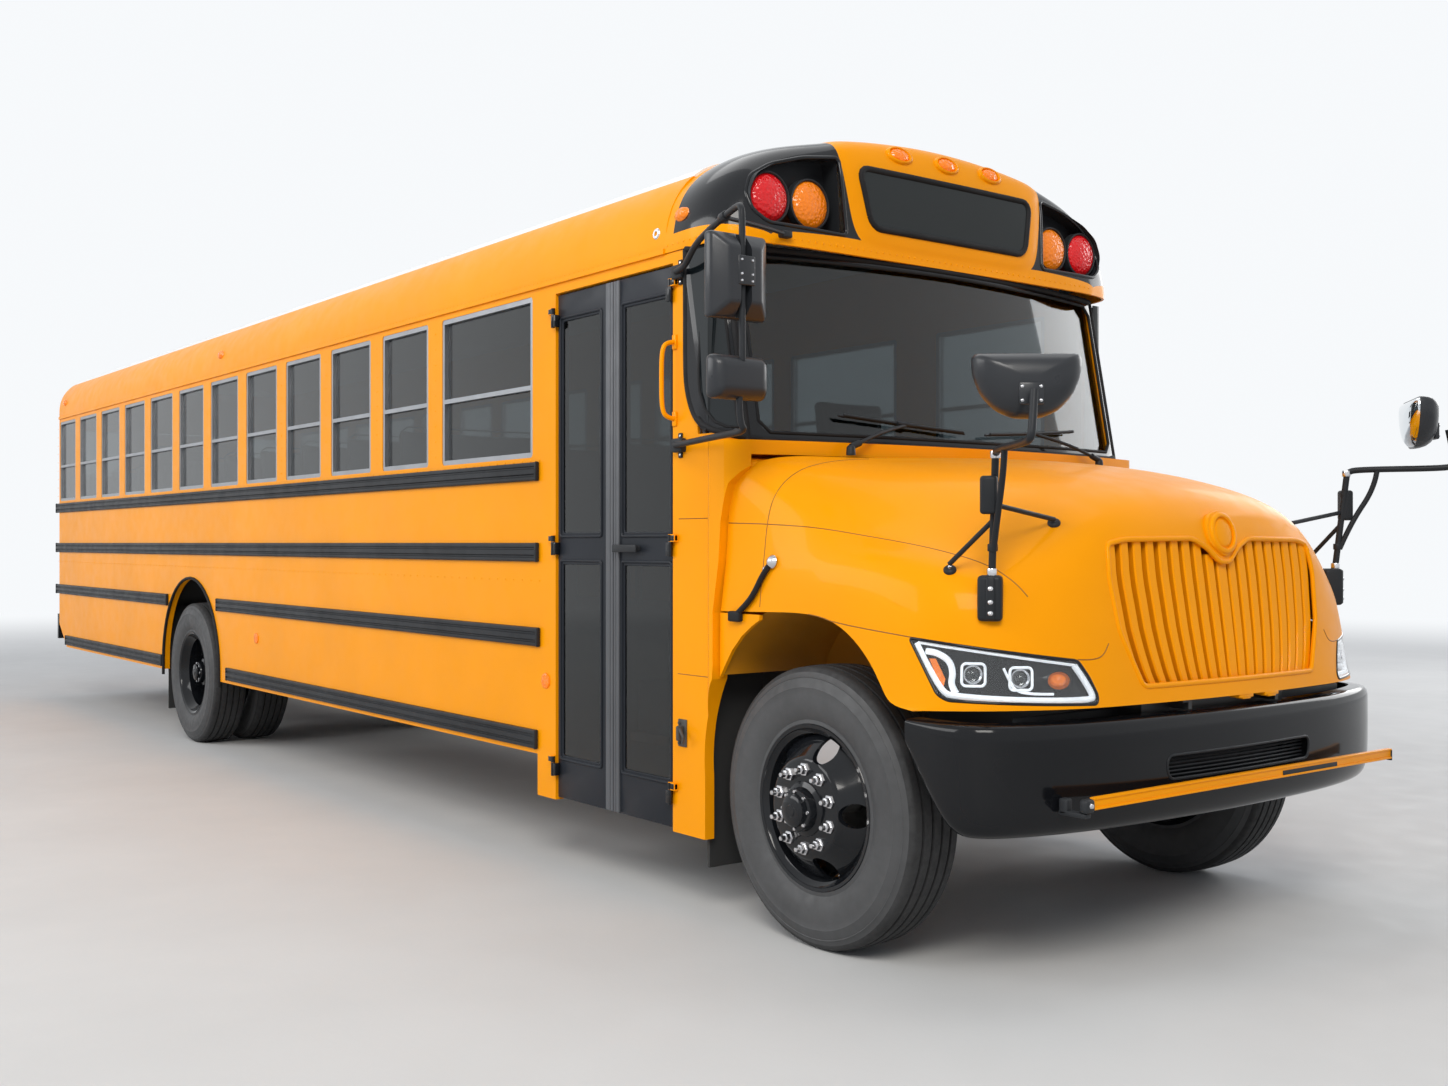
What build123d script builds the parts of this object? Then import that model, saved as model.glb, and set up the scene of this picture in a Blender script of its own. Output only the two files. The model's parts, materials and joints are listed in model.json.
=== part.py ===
from build123d import *
import math
import os

# A conventional school bus, with its engine ahead of the cab, in millimetres.
# x runs forward, y to the driver's side and z up. The origin is on the ground, at the middle
# of the overall length. Places along the bus are given as distances ahead of the front axle.

os.makedirs("parts", exist_ok=True)

# Overall reach and axles
front_reach = 1160
rear_reach = 11000
wheelbase = 6980
front_axle_x = (rear_reach - front_reach) / 2
rear_axle_x = front_axle_x - wheelbase


def station(distance):
    """The x of a place given by its distance ahead of the front axle."""
    return front_axle_x + distance


# Running clearances
seat_gap = 0.3
panel_gap = 6
pin_gap = 0.05

# Body shell
skin_y = 1195
wall = 45
skirt_z = 500
drip_z = 2650
roof_z = 3185
crown_radius = 3510
shoulder_radius = 385
cap_shoulder_radius = 210
rear_x = station(-10950)
cap_front_x = station(-440)
cap_rear_x = station(-850)
rear_top_radius = 300
rear_corner_radius = 80
cap_top_radius = 90
cap_corner_radius = 140
cap_wall = 70
cap_front_depth = 150
inner_y = skin_y - wall
rear_joint_x = rear_x + rear_corner_radius + 5
skirt_corner_x = station(-10600)
skirt_corner_z = 760

# Floor
floor_z = 1080
floor_thickness = 40
floor_front_x = station(-660)

# Wheels and tyres
tyre_radius = 515
tyre_width = 270
rim_radius = 289
front_wheel_y = 1025
rear_outer_y = 1055
rear_inner_y = 730
kingpin_y = 850

# Side windows
window_sill_z = 1873
window_head_z = 2621
window_bar_z = 2200
window_pitch = 727
window_width = 569
window_count = 11
first_window_x = station(-10850)
wide_window = (station(-2852), station(-1924))
driver_window = (station(-1620), station(-860))
sash_width = 24
window_corner = 20
window_bar_height = 22
glass = 6

# Rear wheel arch
arch_center_x = rear_axle_x + 40
arch_half = 652
arch_top_z = 1216

# Entrance door
door_rear_x = station(-1716)
door_front_x = station(-798)
door_bottom_z = 320
door_top_z = 2600
door_thickness = 40
door_inset = 10
step_count = 3
hinge_y = -skin_y - 14
hinge_radius = 9
hinge_rows = (450, 1450, 2480)
hinge_half = 30
stepwell_inner_y = 560
stepwell_outer_y = skin_y - door_inset - door_thickness - panel_gap

# Stop arm
stop_arm_x = station(-1420)
stop_arm_y = skin_y + 45
stop_arm_z = 1620

# Cowl and windshield
cowl_bottom_z = 310
screen_bottom_z = 1870
screen_top_z = drip_z
screen_rake = 150
screen_side_x = station(-648)

# Hood
hood_thickness = 25
hood_lip_z = 932
hood_pivot_x = station(970)
hood_pivot_z = 930


def block(x_range, y_range, z_range, mode=Mode.ADD):
    """Add a box between two places on each axis to the part being built."""
    low = Vector(min(x_range), min(y_range), min(z_range))
    high = Vector(max(x_range), max(y_range), max(z_range))
    size = high - low
    with Locations((low + high) / 2):
        Box(size.X, size.Y, size.Z, mode=mode)


def rod(start, end, radius, mode=Mode.ADD):
    """Add a round bar between two points to the part being built."""
    run = Vector(*end) - Vector(*start)
    with Locations(Plane(origin=start, z_dir=run)):
        Cylinder(radius, run.length, align=(Align.CENTER, Align.CENTER, Align.MIN), mode=mode)


def side_plate(points, y_range, mode=Mode.ADD):
    """Add a plate with its outline in x and z, between two places across the bus."""
    with BuildSketch(Plane.XZ.offset(-y_range[0])) as outline:
        with BuildLine():
            Polyline(*points, close=True)
        make_face()
    extrude(outline.sketch, amount=y_range[0] - y_range[1], mode=mode)


def cross_plate(points, x_range, mode=Mode.ADD):
    """Add a plate with its outline in y and z, between two places along the bus."""
    with BuildSketch(Plane.YZ.offset(x_range[0])) as outline:
        with BuildLine():
            Polyline(*points, close=True)
        make_face()
    extrude(outline.sketch, amount=x_range[1] - x_range[0], mode=mode)


def jamb_brackets(jamb_x, way):
    """Add the fixed halves of the entrance door's hinges to the jamb being built."""
    for z in hinge_rows:
        low_z = z + hinge_half + seat_gap
        block((jamb_x - way * 36, jamb_x), (hinge_y - 5, -skin_y), (low_z, low_z + hinge_half))
        rod((jamb_x, hinge_y, low_z), (jamb_x, hinge_y, low_z + hinge_half), hinge_radius)


def finish(builder, label):
    """Label a finished piece and write it to its own file."""
    builder.part.label = label
    export_step(builder.part, f"parts/{label}.step")


# Body shell, from which the wall, roof and cap panels are parted
corner_ease = 0.5


def round_off(plane, corner, way, radius):
    """Round a square corner of the form being built, seen on a plane, with the body lying that way."""
    bite = radius - corner_ease
    reach = bite + wall
    with BuildSketch(plane) as bar:
        with Locations((corner[0] + way[0] * (bite - wall) / 2, corner[1] + way[1] * (bite - wall) / 2)):
            Rectangle(reach, reach)
        with Locations((corner[0] + way[0] * bite, corner[1] + way[1] * bite)):
            Circle(radius, mode=Mode.SUBTRACT)
    extrude(bar.sketch, amount=2 * roof_z, both=True, mode=Mode.SUBTRACT)


def body_form(inset, shoulder, front_inset):
    """The closed outer form of the body, drawn in by an inset on every side."""
    rise = crown_radius - shoulder
    reach = skin_y - shoulder
    crown_center_z = roof_z - crown_radius
    shoulder_center_z = crown_center_z + math.sqrt(rise**2 - reach**2)
    lean = math.atan2(reach, shoulder_center_z - crown_center_z)
    half_lean = (math.pi / 2 + lean) / 2
    side_y = skin_y - inset
    bottom_z = skirt_z - inset
    crown = crown_radius - inset
    corner = shoulder - inset
    joint = (crown * math.sin(lean), crown_center_z + crown * math.cos(lean))
    bend = (reach + corner * math.sin(half_lean), shoulder_center_z + corner * math.cos(half_lean))
    back_x = rear_x + inset
    front_x = cap_front_x - front_inset
    with BuildPart() as form:
        with BuildSketch(Plane.YZ.offset(back_x)):
            with BuildLine():
                Line((-side_y, bottom_z), (side_y, bottom_z))
                Line((side_y, bottom_z), (side_y, shoulder_center_z))
                ThreePointArc((side_y, shoulder_center_z), bend, joint)
                ThreePointArc(joint, (0, roof_z - inset), (-joint[0], joint[1]))
                ThreePointArc((-joint[0], joint[1]), (-bend[0], bend[1]), (-side_y, shoulder_center_z))
                Line((-side_y, shoulder_center_z), (-side_y, bottom_z))
            make_face()
        extrude(amount=front_x - back_x)
        for x, way, top_radius, corner_radius in (
            (back_x, 1, rear_top_radius - inset, rear_corner_radius - inset),
            (front_x, -1, cap_top_radius - inset / 3, cap_corner_radius - inset),
        ):
            round_off(Plane.XZ, (x, roof_z - inset), (way, -1), top_radius)
            for side in (-1, 1):
                round_off(Plane.XY, (x, side * side_y), (way, -side), corner_radius)
    return form.part


body_outer = body_form(0, shoulder_radius, 0)
body_inner = body_form(wall, shoulder_radius, wall)


def shell_piece(outer, inner, cuts):
    """The body shell kept on the named side of each cutting plane."""
    with BuildPart() as piece:
        add(outer)
        add(inner, mode=Mode.SUBTRACT)
        for plane, keep in cuts:
            split(bisect_by=plane, keep=keep)
    return piece.part


def side_windows(side):
    """Centre and width of each window along one side."""
    places = [
        (first_window_x + window_width / 2 + index * window_pitch, window_width)
        for index in range(window_count)
    ]
    wide = [wide_window] if side < 0 else [wide_window, driver_window]
    places += [((start + end) / 2, end - start) for start, end in wide]
    return places


drip_plane = Plane.XY.offset(drip_z)
rear_joint_plane = Plane.YZ.offset(rear_joint_x)
cap_rear_plane = Plane.YZ.offset(cap_rear_x)
window_height = window_head_z - window_sill_z
window_center_z = (window_head_z + window_sill_z) / 2


# Side walls
def side_wall(side, front_x):
    """One side wall with its windows, wheel arch and cut skirt corner."""
    with BuildPart() as panel:
        add(
            shell_piece(
                body_outer,
                body_inner,
                [
                    (drip_plane, Keep.BOTTOM),
                    (rear_joint_plane, Keep.TOP),
                    (Plane.YZ.offset(front_x), Keep.BOTTOM),
                    (Plane.XZ, Keep.BOTTOM if side > 0 else Keep.TOP),
                ],
            )
        )
        skin_plane = Plane.XZ.offset(-side * skin_y)
        with BuildSketch(skin_plane) as openings:
            for center_x, width in side_windows(side):
                with Locations((center_x, window_center_z)):
                    RectangleRounded(width, window_height, window_corner)
        extrude(openings.sketch, amount=2 * wall, both=True, mode=Mode.SUBTRACT)
        with BuildSketch(skin_plane) as arch:
            with Locations((arch_center_x, arch_top_z - arch_half)):
                Circle(arch_half)
                Rectangle(2 * arch_half, skirt_z, align=(Align.CENTER, Align.MAX))
        extrude(arch.sketch, amount=2 * wall, both=True, mode=Mode.SUBTRACT)
        side_plate(
            [
                (rear_x - 10, skirt_z - 10),
                (skirt_corner_x, skirt_z - 10),
                (skirt_corner_x, skirt_z),
                (rear_x, skirt_corner_z),
                (rear_x - 10, skirt_corner_z),
            ],
            (side * (inner_y - 10), side * (skin_y + 10)),
            mode=Mode.SUBTRACT,
        )
        if side < 0:
            block((station(-1878), front_x), (-skin_y, -inner_y), (cowl_bottom_z, skirt_z))
            jamb_brackets(front_x, 1)
        else:
            for way in (-1, 1):
                bracket = (stop_arm_z + way * (60 + seat_gap), stop_arm_z + way * 90)
                block((stop_arm_x - 11, stop_arm_x + 11), (skin_y, stop_arm_y), bracket)
                rod((stop_arm_x, stop_arm_y, bracket[0]), (stop_arm_x, stop_arm_y, bracket[1]), 11)
    return panel.part


with BuildPart() as wall_right:
    add(side_wall(-1, door_rear_x))
finish(wall_right, "wall_right")

with BuildPart() as wall_left:
    add(side_wall(1, door_front_x))
finish(wall_left, "wall_left")


# Rear wall with its emergency door opening and corner windows
rear_door_half = 450
rear_door_bottom_z = 1090
rear_door_top_z = 2560
rear_window_y = (560, 1010)
rear_hinge_x = rear_x - 12
rear_hinge_y = -rear_door_half - 8
rear_hinge_rows = ((1180, 1260), (2360, 2440))
plate_center = (640, 930)
plate_spacing = (178, 121)
plate_hole_radius = 3.5

with BuildPart() as rear_wall:
    add(
        shell_piece(
            body_outer,
            body_inner,
            [(drip_plane, Keep.BOTTOM), (rear_joint_plane, Keep.BOTTOM)],
        )
    )
    block(
        (rear_x - wall, rear_x + 2 * wall),
        (-rear_door_half, rear_door_half),
        (rear_door_bottom_z, rear_door_top_z),
        mode=Mode.SUBTRACT,
    )
    for side in (-1, 1):
        block(
            (rear_x - wall, rear_x + 2 * wall),
            (side * rear_window_y[0], side * rear_window_y[1]),
            (window_sill_z, window_head_z - 60),
            mode=Mode.SUBTRACT,
        )
    side_plate(
        [
            (rear_x - 10, skirt_z - 10),
            (skirt_corner_x, skirt_z - 10),
            (skirt_corner_x, skirt_z),
            (rear_x, skirt_corner_z),
            (rear_x - 10, skirt_corner_z),
        ],
        (-skin_y - 10, skin_y + 10),
        mode=Mode.SUBTRACT,
    )
    with BuildSketch(Plane.YZ.offset(rear_x + wall / 2)) as plate_holes:
        with Locations(plate_center):
            with GridLocations(*plate_spacing, 2, 2):
                Circle(plate_hole_radius)
    extrude(plate_holes.sketch, amount=wall, both=True, mode=Mode.SUBTRACT)
    for low_z, high_z in rear_hinge_rows:
        block(
            (rear_x - 22, rear_x),
            (-rear_door_half - 50, rear_hinge_y),
            (high_z - 20, high_z),
        )
        rod((rear_hinge_x, rear_hinge_y, high_z - 20), (rear_hinge_x, rear_hinge_y, high_z), 10)
finish(rear_wall, "rear_wall")


# Roof with two hatch curbs and the drip rails
hatch_x = (station(-3650), station(-8000))
hatch_opening = 560
curb_half = 310
curb_top_z = 3225
drip_rail = 12
hatch_hinge_reach = 50
hatch_hinge_y = (-180, 180)

with BuildPart() as roof:
    add(
        shell_piece(
            body_outer,
            body_inner,
            [(drip_plane, Keep.TOP), (cap_rear_plane, Keep.BOTTOM)],
        )
    )
    for side in (-1, 1):
        block(
            (rear_joint_x, cap_rear_x),
            (side * (skin_y - 5), side * (skin_y + drip_rail)),
            (drip_z, drip_z + 22),
        )
    for center_x in hatch_x:
        with Locations((center_x, 0, curb_top_z)):
            Box(2 * curb_half, 2 * curb_half, 75, align=(Align.CENTER, Align.CENTER, Align.MAX))
            Box(hatch_opening, hatch_opening, 400, mode=Mode.SUBTRACT)
        hinge_x = center_x + curb_half + hatch_hinge_reach
        for y in hatch_hinge_y:
            block((hinge_x - 7, hinge_x + 7), (y - 30, y + 30), (roof_z - 30, curb_top_z - 13))
            block((hinge_x - 7, hinge_x + 7), (y - 30, y - 10 - seat_gap), (roof_z, curb_top_z))
            rod((hinge_x, y - 30, curb_top_z), (hinge_x, y - 10 - seat_gap, curb_top_z), 9)
finish(roof, "roof")


# Roof hatches, hinged at their front edges
hatch_half = 345
hatch_lip = 18
hatch_lip_height = 24

for name, center_x in zip(("hatch_front", "hatch_rear"), hatch_x):
    with BuildPart() as hatch:
        with Locations((center_x, 0, curb_top_z + seat_gap)):
            Box(2 * hatch_half, 2 * hatch_half, 25, align=(Align.CENTER, Align.CENTER, Align.MIN))
            Box(
                2 * hatch_half,
                2 * hatch_half,
                hatch_lip_height,
                align=(Align.CENTER, Align.CENTER, Align.MAX),
            )
            Box(
                2 * (hatch_half - hatch_lip),
                2 * (hatch_half - hatch_lip),
                hatch_lip_height,
                align=(Align.CENTER, Align.CENTER, Align.MAX),
                mode=Mode.SUBTRACT,
            )
        hinge_x = center_x + curb_half + hatch_hinge_reach
        for y in hatch_hinge_y:
            rod((hinge_x, y - 10, curb_top_z), (hinge_x, y + 30, curb_top_z), 9)
            block(
                (center_x + hatch_half - 5, hinge_x),
                (y - 10, y + 30),
                (curb_top_z + 1, curb_top_z + 9),
            )
    finish(hatch, name)


# Front cap over the windshield, with the pods that hold the warning lamps
cap_outer = body_form(0, cap_shoulder_radius, 0)
cap_inner = body_form(cap_wall, cap_shoulder_radius, cap_front_depth)
# columns: distance from the middle, z
pod_outline = [(545, 2736), (985, 2736), (1070, 2775), (1085, 2860), (1035, 2935), (868, 3008), (640, 3040)]
pod_corner = 30
pod_depth = 60
lamp_z = 2845
lamp_y = (759, 967)
lamp_radius = 90
sign_half = (520, 120)
sign_z = 2912
marker_y = (-278, 0, 278)
marker_z = 3105

with BuildPart() as front_cap:
    add(
        shell_piece(
            cap_outer,
            cap_inner,
            [(drip_plane, Keep.TOP), (cap_rear_plane, Keep.TOP)],
        )
    )
    for side in (-1, 1):
        with BuildSketch(Plane.YZ.offset(cap_front_x - pod_depth)) as pod:
            with BuildLine():
                Polyline(*[(side * y, z) for y, z in pod_outline], close=True)
            make_face()
            fillet(pod.vertices(), pod_corner)
        extrude(pod.sketch, amount=2 * pod_depth, mode=Mode.SUBTRACT)
    block(
        (cap_front_x - 20, cap_front_x + 10),
        (-sign_half[0], sign_half[0]),
        (sign_z - sign_half[1], sign_z + sign_half[1]),
        mode=Mode.SUBTRACT,
    )
    for y in marker_y:
        rod(
            (cap_front_x - 90, y, marker_z),
            (cap_front_x + 10, y, marker_z),
            30 + seat_gap,
            mode=Mode.SUBTRACT,
        )
finish(front_cap, "front_cap")


# Cowl below and beside the windshield, with the screen frame and the door header
def screen_outline(inset, back_x):
    """The plan of the windshield's foot, drawn in by an inset and closed at the back."""
    side_y = skin_y - max(inset, 0)
    corner_y = 1095 - inset / 2
    with BuildSketch(Plane.XY.offset(screen_bottom_z)) as plan:
        with BuildLine():
            ThreePointArc(
                (station(-400) - inset, -corner_y),
                (station(-270) - inset, 0),
                (station(-400) - inset, corner_y),
            )
            ThreePointArc(
                (station(-400) - inset, corner_y),
                (station(-450) - inset, 1160 - inset * 0.8),
                (station(-560), side_y),
            )
            Polyline(
                (station(-560), side_y),
                (back_x, side_y),
                (back_x, -side_y),
                (station(-560), -side_y),
            )
            ThreePointArc(
                (station(-560), -side_y),
                (station(-450) - inset, -1160 + inset * 0.8),
                (station(-400) - inset, -corner_y),
            )
        make_face()
    return plan.sketch


def screen_form(inset):
    """The space behind the raked windshield, drawn in by an inset."""
    rise = Vector(-screen_rake, 0, screen_top_z - screen_bottom_z)
    with BuildPart() as form:
        extrude(screen_outline(inset, station(-900)), amount=rise.length, dir=rise)
        block(
            (screen_side_x, station(0)),
            (-skin_y, skin_y),
            (screen_bottom_z, screen_top_z),
            mode=Mode.INTERSECT,
        )
    return form.part


seam_points = [
    (station(-492), 1000),
    (station(-492), 1208),
    (station(-455), 1404),
    (station(-442), 1559),
    (station(-405), 1702),
    (station(-330), 1790),
    (station(-200), 1815),
]
arch_arcs = [
    ((-581, 559), (-523, 898), (-334, 1133)),
    ((-334, 1133), (-13, 1228), (279, 1163)),
    ((279, 1163), (400, 1055), (486, 930)),
]


def front_arch():
    """The front wheel opening, right across the bus."""
    with BuildPart() as arch:
        with BuildSketch(Plane.XZ):
            with BuildLine():
                for start, middle, end in arch_arcs:
                    ThreePointArc(*[(station(x), z) for x, z in (start, middle, end)])
                Polyline(
                    (station(486), 930),
                    (station(620), 400),
                    (station(620), 0),
                    (station(-581), 0),
                    (station(-581), 559),
                )
            make_face()
        extrude(amount=2 * skin_y, both=True)
    return arch.part


arch_cut = front_arch()
firewall_x = (station(-600), station(-560))
deck_z = (1815, screen_bottom_z)
deck_ledge = 60
screen_open_z = (1892, 2632)
screen_open_y = 1080
quarter_open_x = (station(-630), station(-380))
quarter_open_z = (1905, 2560)

with BuildPart() as cowl:
    extrude(screen_outline(-deck_ledge, door_front_x), amount=cowl_bottom_z - screen_bottom_z)
    side_plate(
        [(door_front_x, cowl_bottom_z), (station(-560), cowl_bottom_z)]
        + seam_points
        + [(station(-200), screen_bottom_z), (door_front_x, screen_bottom_z)],
        (-skin_y - 30, skin_y + 30),
        mode=Mode.INTERSECT,
    )
    add(arch_cut, mode=Mode.SUBTRACT)
    block(
        (door_front_x, firewall_x[0]),
        (-inner_y, inner_y),
        (0, screen_bottom_z),
        mode=Mode.SUBTRACT,
    )
    block((firewall_x[0], station(0)), (-inner_y, inner_y), (0, floor_z - 40), mode=Mode.SUBTRACT)
    block((firewall_x[1], station(0)), (-inner_y, inner_y), (0, deck_z[0]), mode=Mode.SUBTRACT)
    block((floor_front_x, firewall_x[1]), (-inner_y, inner_y), (floor_z - 40, floor_z))
    add(screen_form(0))
    add(screen_form(wall), mode=Mode.SUBTRACT)
    block(
        (station(-700), station(0)),
        (-screen_open_y, screen_open_y),
        screen_open_z,
        mode=Mode.SUBTRACT,
    )
    for side in (-1, 1):
        block(
            quarter_open_x,
            (side * (screen_open_y + 50), side * (skin_y + 30)),
            quarter_open_z,
            mode=Mode.SUBTRACT,
        )
        block(
            (door_front_x, screen_side_x),
            (side * inner_y, side * skin_y),
            (screen_bottom_z, drip_z),
        )
    block((door_rear_x, door_front_x), (-skin_y, -inner_y), (door_top_z + panel_gap, drip_z))
    jamb_brackets(door_front_x, -1)
finish(cowl, "cowl")


# Floor with cross sills, open at the stepwell and over the rear wheels
housing_wall = 20
housing_inner_y = 555
housing_x = (arch_center_x - arch_half - 40, arch_center_x + arch_half + 40)
housing_top_z = 1245
sill_pitch = 727
sill_bottom_z = 930

with BuildPart() as floor:
    block(
        (rear_joint_x + seat_gap, floor_front_x - seat_gap),
        (-inner_y + seat_gap, inner_y - seat_gap),
        (floor_z - floor_thickness, floor_z),
    )
    block(
        (rear_x + wall + seat_gap, rear_joint_x + wall),
        (-inner_y + rear_corner_radius, inner_y - rear_corner_radius),
        (floor_z - floor_thickness, floor_z),
    )
    for index in range(14):
        sill_x = rear_x + 300 + index * sill_pitch
        near_wheel = housing_x[0] - 60 < sill_x < housing_x[1] + 60
        half = housing_inner_y - 5 if near_wheel else inner_y - seat_gap
        if sill_x < door_rear_x - 60:
            block((sill_x - 30, sill_x + 30), (-half, half), (sill_bottom_z + seat_gap, floor_z - 20))
    block((door_rear_x, door_front_x), (-inner_y, -stepwell_inner_y), (0, floor_z), mode=Mode.SUBTRACT)
    for side in (-1, 1):
        block(
            housing_x,
            (side * housing_inner_y, side * inner_y),
            (0, floor_z),
            mode=Mode.SUBTRACT,
        )
finish(floor, "floor")


# Housings over the rear wheels, which stand up through the floor
with BuildPart() as wheel_housings:
    for side in (-1, 1):
        block(
            housing_x,
            (side * housing_inner_y, side * (inner_y - seat_gap)),
            (floor_z - floor_thickness, housing_top_z),
        )
        block(
            (housing_x[0] + housing_wall, housing_x[1] - housing_wall),
            (side * (housing_inner_y + housing_wall), side * inner_y),
            (0, housing_top_z - housing_wall),
            mode=Mode.SUBTRACT,
        )
finish(wheel_housings, "wheel_housings")


# Entrance steps, three treads between two end walls
step_depth = (stepwell_outer_y - stepwell_inner_y) / step_count
tread = 20
step_rise = (floor_z - door_bottom_z - tread) / step_count

with BuildPart() as entrance_steps:
    block(
        (door_rear_x, door_front_x),
        (-stepwell_outer_y, -stepwell_inner_y),
        (door_bottom_z, floor_z),
    )
    for index in range(step_count):
        tread_z = door_bottom_z + tread + index * step_rise
        step_inner_y = (index + 1) * step_depth - stepwell_outer_y
        block(
            (door_rear_x + tread, door_front_x - tread),
            (-inner_y, min(step_inner_y, -stepwell_inner_y - tread)),
            (tread_z, floor_z + 10),
            mode=Mode.SUBTRACT,
        )
        block(
            (door_rear_x + tread, door_front_x - tread),
            (index * step_depth + tread - stepwell_outer_y, -stepwell_inner_y - tread),
            (0, tread_z - tread),
            mode=Mode.SUBTRACT,
        )
finish(entrance_steps, "entrance_steps")


# Sashes and panes of the side windows
sash_y = (inner_y + 2, skin_y - 3)
pane_y = (inner_y + 14, inner_y + 14 + glass)


def window_faces(side, y, inset):
    """The openings of one side's windows, drawn in by an inset, at a place across the bus."""
    with BuildSketch(Plane.XZ.offset(-side * y)) as faces:
        for center_x, width in side_windows(side):
            with Locations((center_x, window_center_z)):
                RectangleRounded(
                    width - 2 * inset,
                    window_height - 2 * inset,
                    max(window_corner - inset, 1),
                )
    return faces.sketch


def sash_set(side):
    """The sashes along one side, each a ring with a bar across it."""
    y_from, y_to = sash_y
    with BuildPart() as sashes:
        extrude(window_faces(side, y_from, seat_gap), amount=side * (y_from - y_to))
        extrude(
            window_faces(side, y_from, sash_width),
            amount=side * (y_from - y_to),
            mode=Mode.SUBTRACT,
        )
        with BuildSketch(Plane.XZ.offset(-side * (pane_y[1] + seat_gap))) as bars:
            for center_x, width in side_windows(side):
                with Locations((center_x, window_bar_z)):
                    Rectangle(width - sash_width, window_bar_height)
        extrude(bars.sketch, amount=side * (pane_y[1] + seat_gap - y_to))
    return sashes.part


with BuildPart() as window_sashes:
    add(sash_set(-1))
    add(sash_set(1))
finish(window_sashes, "window_sashes")


# Glass: side panes, windshield, quarter panes, rear panes and the cap's sign
with BuildPart() as glazing:
    for side in (-1, 1):
        extrude(
            window_faces(side, pane_y[0], sash_width + seat_gap),
            amount=side * (pane_y[0] - pane_y[1]),
        )
        block(
            (rear_x + 18, rear_x + 18 + glass),
            (side * (rear_window_y[0] + seat_gap), side * (rear_window_y[1] - seat_gap)),
            (window_sill_z + seat_gap, window_head_z - 60 - seat_gap),
        )
    block(
        (cap_front_x - 20 + seat_gap, cap_front_x - 12),
        (-sign_half[0] + seat_gap, sign_half[0] - seat_gap),
        (sign_z - sign_half[1] + seat_gap, sign_z + sign_half[1] - seat_gap),
    )

with BuildPart() as screen_glass:
    add(screen_form(12))
    add(screen_form(12 + glass), mode=Mode.SUBTRACT)

with BuildPart() as front_pane:
    add(screen_glass.part)
    block(
        (station(-700), station(0)),
        (-screen_open_y + seat_gap, screen_open_y - seat_gap),
        (screen_open_z[0] + seat_gap, screen_open_z[1] - seat_gap),
        mode=Mode.INTERSECT,
    )

with BuildPart() as quarter_panes:
    add(screen_glass.part)
    with BuildPart(mode=Mode.PRIVATE) as quarter_room:
        for side in (-1, 1):
            block(
                (quarter_open_x[0] + seat_gap, quarter_open_x[1]),
                (side * (screen_open_y + 50 + seat_gap), side * (skin_y + 30)),
                (quarter_open_z[0] + seat_gap, quarter_open_z[1] - seat_gap),
            )
    add(quarter_room.part, mode=Mode.INTERSECT)

with BuildPart() as window_glass:
    add(glazing.part)
    add(front_pane.part)
    add(quarter_panes.part)
finish(window_glass, "window_glass")


# Rub rails along both sides and the rear
rail_depth = 24
rail_height = 88
# columns: bottom z, start and end ahead of the front axle on the right, end on the left
rail_rows = [
    (1763, -10950, -1860, -860),
    (1388, -10950, -1860, -860),
    (996, -10950, -7470, -7470),
    (996, -6325, -1850, -860),
    (522, -10590, -7600, -7600),
    (522, -6120, -1870, -860),
]

with BuildPart() as rub_rails:
    for side in (-1, 1):
        for low_z, start, right_end, left_end in rail_rows:
            begin_x = max(station(start), rear_joint_x) if low_z > 700 else station(start)
            end_x = station(right_end if side < 0 else left_end)
            block(
                (begin_x, end_x),
                (side * (skin_y + seat_gap), side * (skin_y + rail_depth)),
                (low_z, low_z + rail_height),
            )
finish(rub_rails, "rub_rails")


# Entrance door, two outward leaves hinged at the jambs
leaf_split_x = station(-1240)
leaf_y = (-skin_y + door_inset, -skin_y + door_inset + door_thickness)
leaf_lights = [(510, 1385), (1515, 2480)]
# columns: name, jamb x, side of the jamb that the leaf is on, glass from and to
leaf_rows = [
    ("door_rear_leaf", door_rear_x, 1, station(-1673), station(-1354)),
    ("door_front_leaf", door_front_x, -1, station(-1172), station(-827)),
]

for name, jamb_x, way, glass_from, glass_to in leaf_rows:
    with BuildPart() as leaf:
        block(
            (jamb_x + way * panel_gap, leaf_split_x - way * panel_gap / 2),
            leaf_y,
            (door_bottom_z, door_top_z),
        )
        for low_z, high_z in leaf_lights:
            block((glass_from, glass_to), leaf_y, (low_z, high_z), mode=Mode.SUBTRACT)
            block(
                (glass_from + seat_gap, glass_to - seat_gap),
                (leaf_y[0] + 12, leaf_y[0] + 12 + glass),
                (low_z + seat_gap, high_z - seat_gap),
            )
        for z in hinge_rows:
            knuckle_z = (z - hinge_half, z + hinge_half)
            rod((jamb_x, hinge_y, knuckle_z[0]), (jamb_x, hinge_y, knuckle_z[1]), hinge_radius)
            block((jamb_x + way * panel_gap, jamb_x + way * 22), (hinge_y - 5, leaf_y[0]), knuckle_z)
            block((jamb_x, jamb_x + way * 8), (hinge_y - 5, hinge_y + 5), knuckle_z)
    finish(leaf, name)


# Emergency door in the rear wall
door_glass_y = 330
door_glass_z = (1500, 2440)

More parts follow.
